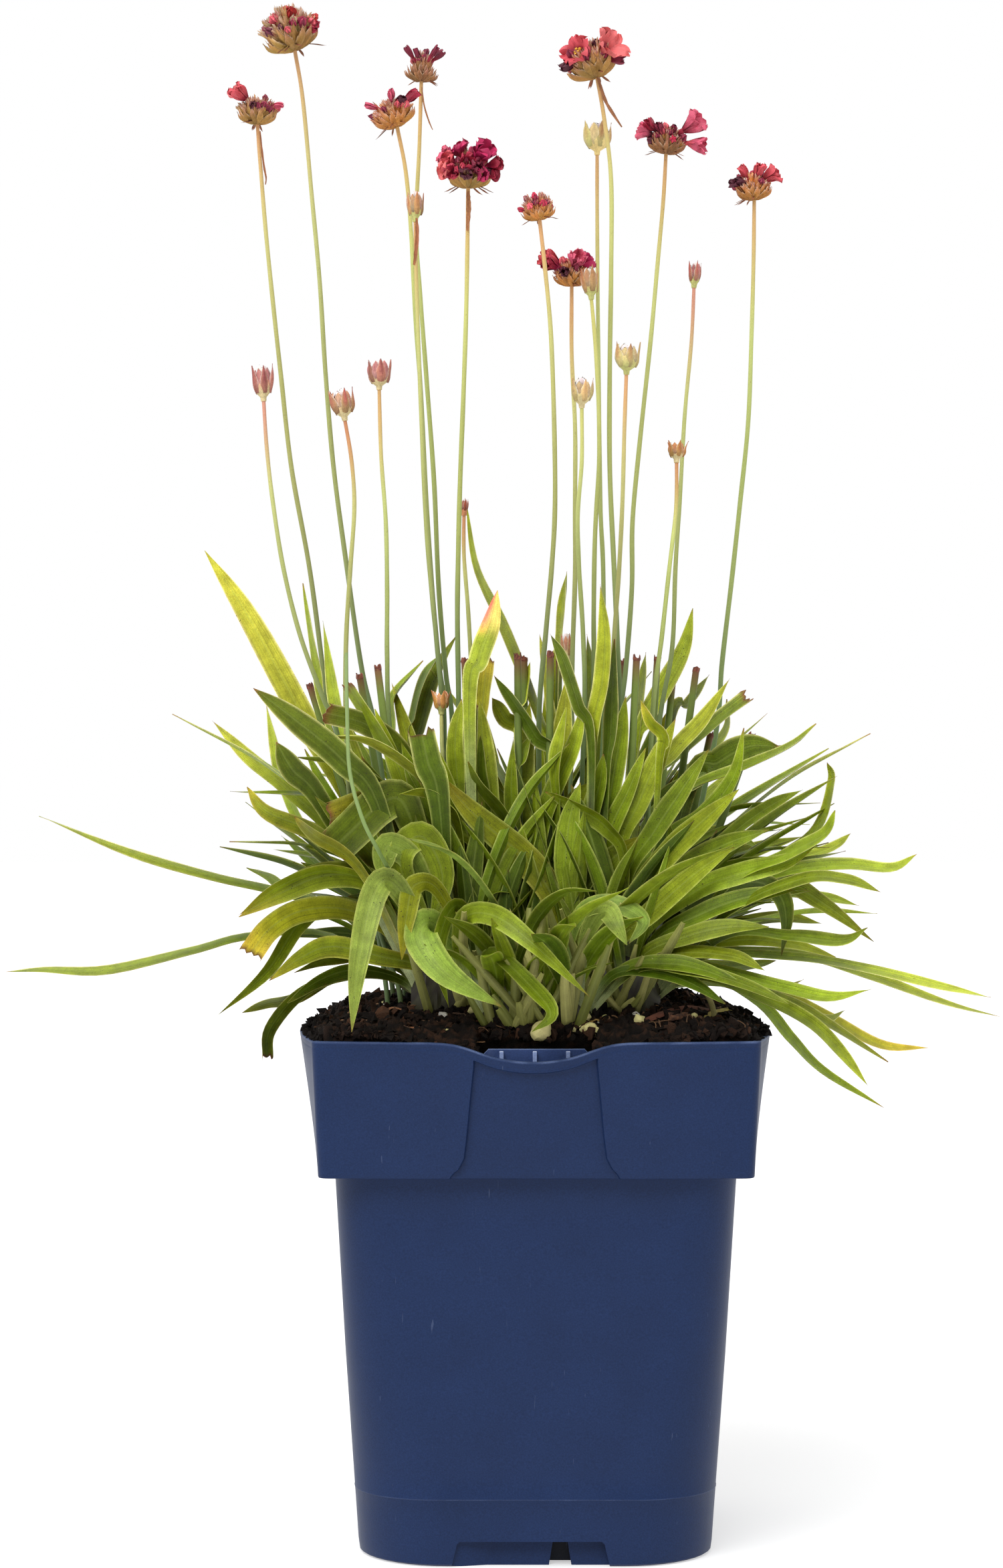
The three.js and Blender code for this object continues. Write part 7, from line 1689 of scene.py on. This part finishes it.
def make_head(index, name, data):
    """A stem, its bowl, and everything that stands in the bowl, as three pieces."""
    rng = np.random.default_rng(500 + index)
    stem, bowl, skin = Skin(), Skin(), Skin()
    add_stem(stem, data, 0.8, 0.58, HUES["sand"])
    add_strips(stem, name, data, index)
    stem.make("stem_%s_grown" % name, [STALK, PAPER], "stem", ["stem_" + name])
    head, r = head_frame(data, data["tilt"]), data["radius"]
    add_bowl(bowl, head, r, HUES[data["bract_hue"]], rng)
    bowl.make("bracts_%s_grown" % name, [PAPER], "bract", ["bracts_" + name])
    add_calyces(skin, head, r, data["calyces"], data["withered"], HUES[data["calyx_hue"]], data["spread"],
                data["tall"], rng)
    if data["florets"]:
        *numbers, inner, outer = zip(*data["florets"])
        u, v, near, length, width, claw, tip = np.array(numbers, float)
        heart = put(head, [0, 0, 0.75 * r])
        mouths = np.array([seen(place, heart[1] - n) for *place, n in zip(u, v, near)])
        closer = (mouths - heart) * (0.22 if name != "red_middle" else 0.0)
        mouths = mouths - closer
        bases = heart + (mouths - heart) * 0.25
        bases[:, 1] = heart[1] - near * 0.3
        inner, outer = (np.array([HUES[hue] for hue in hues]) for hues in (inner, outer))
        length = length + 0.8 * np.linalg.norm(closer, axis=1)
        add_florets(skin, bases, mouths, length, width * 1.22, claw, tip, inner, outer, rng)
        for k in np.flatnonzero(tip >= WIDE_OPEN):
            add_anthers(skin, mouths[k], unit(mouths[k] - bases[k]), rng)
    skin.make("florets_%s_grown" % name, [PETAL, PAPER], "floret", ["florets_" + name])


SPRAWLING, WITHOUT_SILK = ("bud_dry", "bud_low_orange"), ("bud_dry", "tip_dry", "bud_low_orange")


def make_bud(index, name, data):
    """A bud on its stem: a green receptacle, five outer scales with dark tips, five rounder inner
    scales between them, and crumpled silk in the mouth."""
    rng = np.random.default_rng(800 + index)
    foot, scale, tip, top = (HUES[data[part]] for part in ("foot", "scale", "tip", "top"))
    white, skin = HUES["silk"], Skin()
    add_stem(skin, data, 0.76, 0.54, top)
    add_strips(skin, name, data, 3)
    head, r, h = head_frame(data, 0), data["radius"], data["height"]
    rows = np.array([(0.8, -1.2), (0.95, 0.0), (0.62 * r + 0.2, 0.14 * h)]
                    + scaled([(0.82, 0.3), (0.86, 0.5), (0.7, 0.68), (0.4, 0.76)], r, h))
    shade = mixed(foot, scale, smooth(0.1, 0.6, rows[:, 1:] / h))[None]
    add_core(skin, head, rows, 16, 0.02, shade, rng, 1)
    lean = 1.32 if name in SPRAWLING else 1.04
    scales = dict(edge=white, fold=0.6, thick=0.2, finish=1)
    outer = scaled([(0.7, 0.12), (0.92, 0.34), (1.0, 0.62), (lean, 1.0)], r, h)
    ring_of_bracts(skin, head, around(5), outer, 0.44 * r, mixed(foot, scale, 0.8), rng, tip=tip, streak=tip,
                   point=1.15, **scales)
    inner = scaled([(0.6, 0.2), (0.86, 0.42), (0.86, 0.68), (0.66, 0.9)], r, h)
    ring_of_bracts(skin, head, around(5) + 0.6, inner, 0.46 * r, mixed(scale, white, 0.25), rng, tip=scale,
                   streak=mixed(scale, tip, 0.6), point=1.8, **scales)
    if name not in WITHOUT_SILK:
        silk = scaled([(0.3, 0.55), (0.5, 0.74), (0.44, 0.88), (0.26, 0.97)], r, h)
        ring_of_bracts(skin, head, np.arange(7) * 0.9, silk, 0.36 * r, white, rng, fold=0.7, thick=0.16,
                       finish=2, point=2.4, ragged=0.25)
    skin.make(name + "_grown", [STALK, PAPER, SILK], "bud", [name])


# Torn strips of sheath: stem, places (u, v) from the fast end to the loose end, width in mm, hue
SHEATH_STRIPS = [
    ("left", [(389, 196), (392, 226), (395, 250), (398, 266), (397, 276)], 0.8, (150, 96, 66)),
    ("high_mid", [(631, 130), (634, 156), (641, 180), (647, 194)], 0.7, (158, 110, 76)),
    ("high_right", [(893, 114), (900, 134), (906, 152), (918, 172), (930, 190)], 1.3, (156, 106, 74)),
    ("bud_pair", [(623, 326), (624, 350), (622, 376), (619, 396)], 1.6, (158, 100, 70)),
    ("red_middle", [(700, 286), (701, 310), (699, 345)], 1.8, (164, 112, 76)),
]

def on_top(x, y, above=0.0):
    """Places on the soil's top, raised by so much."""
    return np.stack([x, y, soil_height(x * SOIL_SPREAD, y * SOIL_SPREAD) + above], -1)


def peat_tones(count, rng, power, most=1.0):
    """Peat hues from moist to dry, most of them moist."""
    return mixed(HUES["peat"], HUES["peat_dry"], rng.uniform(0, most, (count, 1)) ** power)


def make_crumbs(rng):
    """Loose crumbs of peat all over the soil, along its left, right and back edges and on the rim there,
    and along its front edge; then perlite, feed grains, and the grains that the photo shows in front."""
    skin = Skin()
    spots = on_soil(4900, rng)
    sizes = rng.uniform(0.3, 1.0, len(spots)) ** 2 * 1.4
    spots[:, 2] += sizes * 0.5 + 0.7
    lumps(skin, spots, sizes, peat_tones(len(spots), rng, 4), 42, 0.42, 1.8)

    inner, outer = 420, 820
    count = inner + outer
    side = rng.integers(0, 3, count)
    along = rng.uniform(-61, 62, count)
    out = np.concatenate([60.5 - rng.uniform(0, 1, inner) ** 2 * 7, rng.uniform(61.0, 63.6, outer)])
    on_rim = out > 61
    bowed_out = out * (bowed(along, 0) / out + 1)
    x = np.where(side == 0, -bowed_out, np.where(side == 1, bowed_out, along))
    y = np.where(side == 2, bowed_out, along)
    spots = np.stack([x, y, 0 * out], -1)
    heap = smooth(0.1, 1.0, waves(np.stack([x, y, 0 * out], -1), 14, 88))
    level = np.where(on_rim, HEIGHT + 0.1, on_top(x, y, 0.5)[:, 2])
    spots[:, 2] = level + 2.2 * heap * rng.uniform(0, 1, count) * ~on_rim
    sizes = rng.uniform(0.4, 1.0, count) ** 1.6 * np.where(on_rim, 0.9, 1.3)
    lumps(skin, spots, sizes, np.broadcast_to(HUES["peat"], (count, 3)), 46, 0.42, 1.8)

    x = rng.uniform(-60, 60, 560)
    x = x[np.abs(x) > 17]
    y = -bowed(x, 61.2 - rng.uniform(0, 1, len(x)) ** 1.5 * 4)
    sizes = rng.uniform(0.5, 1.0, len(x)) ** 1.6 * 1.3
    lumps(skin, on_top(x, y, 0.5 + sizes * 0.6), sizes, peat_tones(len(x), rng, 3, 0.7), 48, 0.42, 1.8)

    for count, low, high, hue in [(80, 0.45, 1.3, "perlite"), (26, 0.9, 1.7, "prill")]:
        spots = on_soil(count, rng)
        sizes = rng.uniform(low, high, len(spots))
        spots[:, 2] += sizes * 0.7 + 0.4
        tones = HUES[hue] * rng.uniform(0.75, 1.05, (len(spots), 1))
        lumps(skin, spots, sizes, tones, 43 + count, 0.12, 1.25, finish=1)
    sizes = np.array([size for _, _, size, _ in GRAINS_SEEN])
    x, y, _ = np.array([seen((u, v), depth) for u, v, _, depth in GRAINS_SEEN]).T
    tones = np.broadcast_to(HUES["prill"], (len(x), 3))
    lumps(skin, on_top(x, y, sizes * 0.7), sizes, tones, 77, 0.05, 1.15, finish=1, levels=2)
    skin.make("soil_crumbs", [PEAT, GRAINS], "soil", crease=25)


def lying(places):
    """Places (x, y, height over the soil)."""
    return np.array([(x, y, float(soil_height(np.array(x), np.array(y))) + over) for x, y, over in places])


def make_fibres(rng):
    """Fine threads that wander over the soil by a drawn turn, the flat stray bits, a short upright stalk
    and a pale thread."""
    skin = Skin()
    spots = on_soil(180, rng, 58)
    count, stations = len(spots), 9
    heading = rng.uniform(0, 6.28, count)
    s = evenly(stations, -1)
    length = rng.uniform(2, 11, count)
    turn = heading[:, None] + rng.normal(0, 0.6, (count, 1)) * s
    x, y = (np.clip(spots[:, k:k + 1] + np.cumsum(way, 1) * length[:, None] / stations, -60, 60)
            for k, way in enumerate((np.cos(turn), np.sin(turn))))
    spine = on_top(x, y, 1.1 + rng.uniform(-0.4, 1.6, (count, 1)) * (1 - s**2))
    tones = mixed(dye(70, 48, 34), dye(138, 102, 68), rng.uniform(0, 1, (count, 1, 1)))
    tubes(skin, spine, 0.16 * np.ones((count, stations)) * rng.uniform(0.6, 2.2, (count, 1)),
          tones + np.zeros((count, stations, 3)), 5)
    for k, (places, wide, deep, hue) in enumerate(STRAY_BITS):
        bit_rng = np.random.default_rng(900 + k)
        spine = curve(lying(places), evenly(16))[None]
        along = unit(np.gradient(spine[0], axis=0))
        across = unit(np.cross(along, [0.2, 0.3, 1.0]))[None]
        half = wide / 2 * bit_rng.uniform(0.75, 1.1, (1, 16))
        shade = dye(*hue) * bit_rng.uniform(0.75, 1.2, (1, 16, 7, 1)) * np.ones(3)
        torn = np.concatenate([np.zeros((1, 15, 7)), bit_rng.normal(0, 0.7, (1, 1, 7))], 1)
        straps(skin, spine, across, half, shade, fold=0.35, thick=deep, pull=torn)
    for places, stations, radius, hue, sides in STRAY_THREADS:
        tubes(skin, curve(lying(places), evenly(stations))[None], np.full((1, stations), radius),
              dye(*hue) * np.ones((1, stations, 3)), sides)
    skin.make("soil_fibres", [BARK], "soil")


def make_chip(index):
    """A flake of bark: a rounded box drawn out along its length, split and worn by waves."""
    x, y, length, degrees = CHIPS[index]
    s, angle = evenly(26, -1), around(24)
    wide = 2.8 * (1 - 0.4 * np.abs(s) ** 6)[:, None]
    across = np.sign(np.cos(angle)) * np.abs(np.cos(angle)) ** 0.5 * wide
    deep = np.sign(np.sin(angle)) * np.abs(np.sin(angle)) ** 0.6 * 1.3 + 0 * across
    places = np.stack([(s * length / 2)[:, None] + 0 * across, across, deep], -1)
    rough = waves(places * [0.3, 1, 1], 1.1, 60 + index) * 0.16 + waves(places, 3, 70 + index) * 0.2
    places = places * (1 + rough[..., None] * [0.05, 0.5, 0.8])
    places = turned_flat(places, degrees) + [x, y, soil_height(x, y) + 0.9]
    ends = places[[0, -1]].mean(1)
    flat = np.concatenate([places.reshape(-1, 3), ends])
    tint = smooth(-0.6, 0.9, waves(flat, 1.2, 80 + index))[:, None]
    skin = Skin()
    closed(skin, places, mixed(HUES["bark_dark"], HUES["bark_light"], tint), ends)
    skin.make("bark_flake_%d" % (index + 1), [BARK], "bark", ["bark_chip_%d" % (index + 1)])


# Making the object

make_pot()
make_slot().make("label_slot", [BLUE], "pot")
make_painted_shade_ribs().make("painted_shade_ribs", [BLUE], "pot")
make_soil().make("peat_soil", [PEAT], "soil", ["soil"], crease=180)
soil_rng = np.random.default_rng(41)
make_crumbs(soil_rng)
make_fibres(soil_rng)
for index in range(len(CHIPS)):
    make_chip(index)
for index, layer in enumerate(LAYERS):
    make_shoots(index, layer)
for index, (name, data) in enumerate(HEADS.items()):
    make_head(index, name, data)
for index, (name, data) in enumerate(BUDS.items()):
    make_bud(index, name, data)

# The floor, the lights and the lens

floor_mesh = bpy.data.meshes.new("floor")
floor_mesh.from_pydata([(-6, -4, 0), (6, -4, 0), (6, 9, 0), (-6, 9, 0)], [], [(0, 1, 2, 3)])
white = bpy.data.materials.new("white_floor")
white.use_nodes = True
for socket, value in {"Base Color": (0.5, 0.5, 0.5, 1), "Emission Color": (1, 1, 1, 1),
                      "Emission Strength": 0.5, "Roughness": 0.8}.items():
    white.node_tree.nodes["Principled BSDF"].inputs[socket].default_value = value
floor_mesh.materials.append(white)
floor = placed("floor", floor_mesh)

SKY_FRONT, SKY_BACK = 0.3, 1.0
world = bpy.data.worlds.new("studio")
world.use_nodes = True
towards = node(world, "SeparateXYZ", {0: node(world, "TexCoord").outputs["Generated"]}).outputs["Y"]
lit = node(world, "MapRange", {"Value": towards, "From Min": -0.8, "From Max": 0.3, "To Min": SKY_FRONT,
                               "To Max": SKY_BACK}, interpolation_type="SMOOTHSTEP").outputs[0]
seen_white = sum_of(world, "MAXIMUM", node(world, "LightPath").outputs["Is Camera Ray"], lit)
background = world.node_tree.nodes["Background"]
background.inputs["Color"].default_value = (1, 1, 1, 1)
world.node_tree.links.new(seen_white, background.inputs["Strength"])
bpy.context.scene.world = world
bpy.context.scene.view_settings.view_transform = "Standard"


def soft_light(name, place, aim, size, watts):
    """A square soft box at a place, turned to its aim."""
    lamp = bpy.data.lights.new(name, "AREA")
    lamp.shape, lamp.size, lamp.energy = "SQUARE", size, watts
    x, y, z = np.array(aim) - np.array(place)
    placed(name, lamp, place, (math.atan2(math.hypot(x, y), -z), 0, math.atan2(y, x) - math.pi / 2))


soft_light("key", (-0.9, -1.3, 1.5), (0, 0, 0.22), 0.9, 9)
soft_light("fill", (1.3, -0.9, 0.9), (0, 0, 0.2), 0.9, 3)
day = bpy.data.lights.new("day", "SUN")
day.energy, day.angle = 2.3, math.radians(45)
placed("day", day, (0, 0, 0), (math.radians(38), 0, math.radians(-24)))

lens = bpy.data.cameras.new("lens")
lens.lens, lens.sensor_width = FOCAL / 2344 * 36, 36
lens.clip_start, lens.clip_end = 0.05, 50
bpy.context.scene.camera = placed("view", lens, EYE * MM, (math.pi / 2, 0, 0))
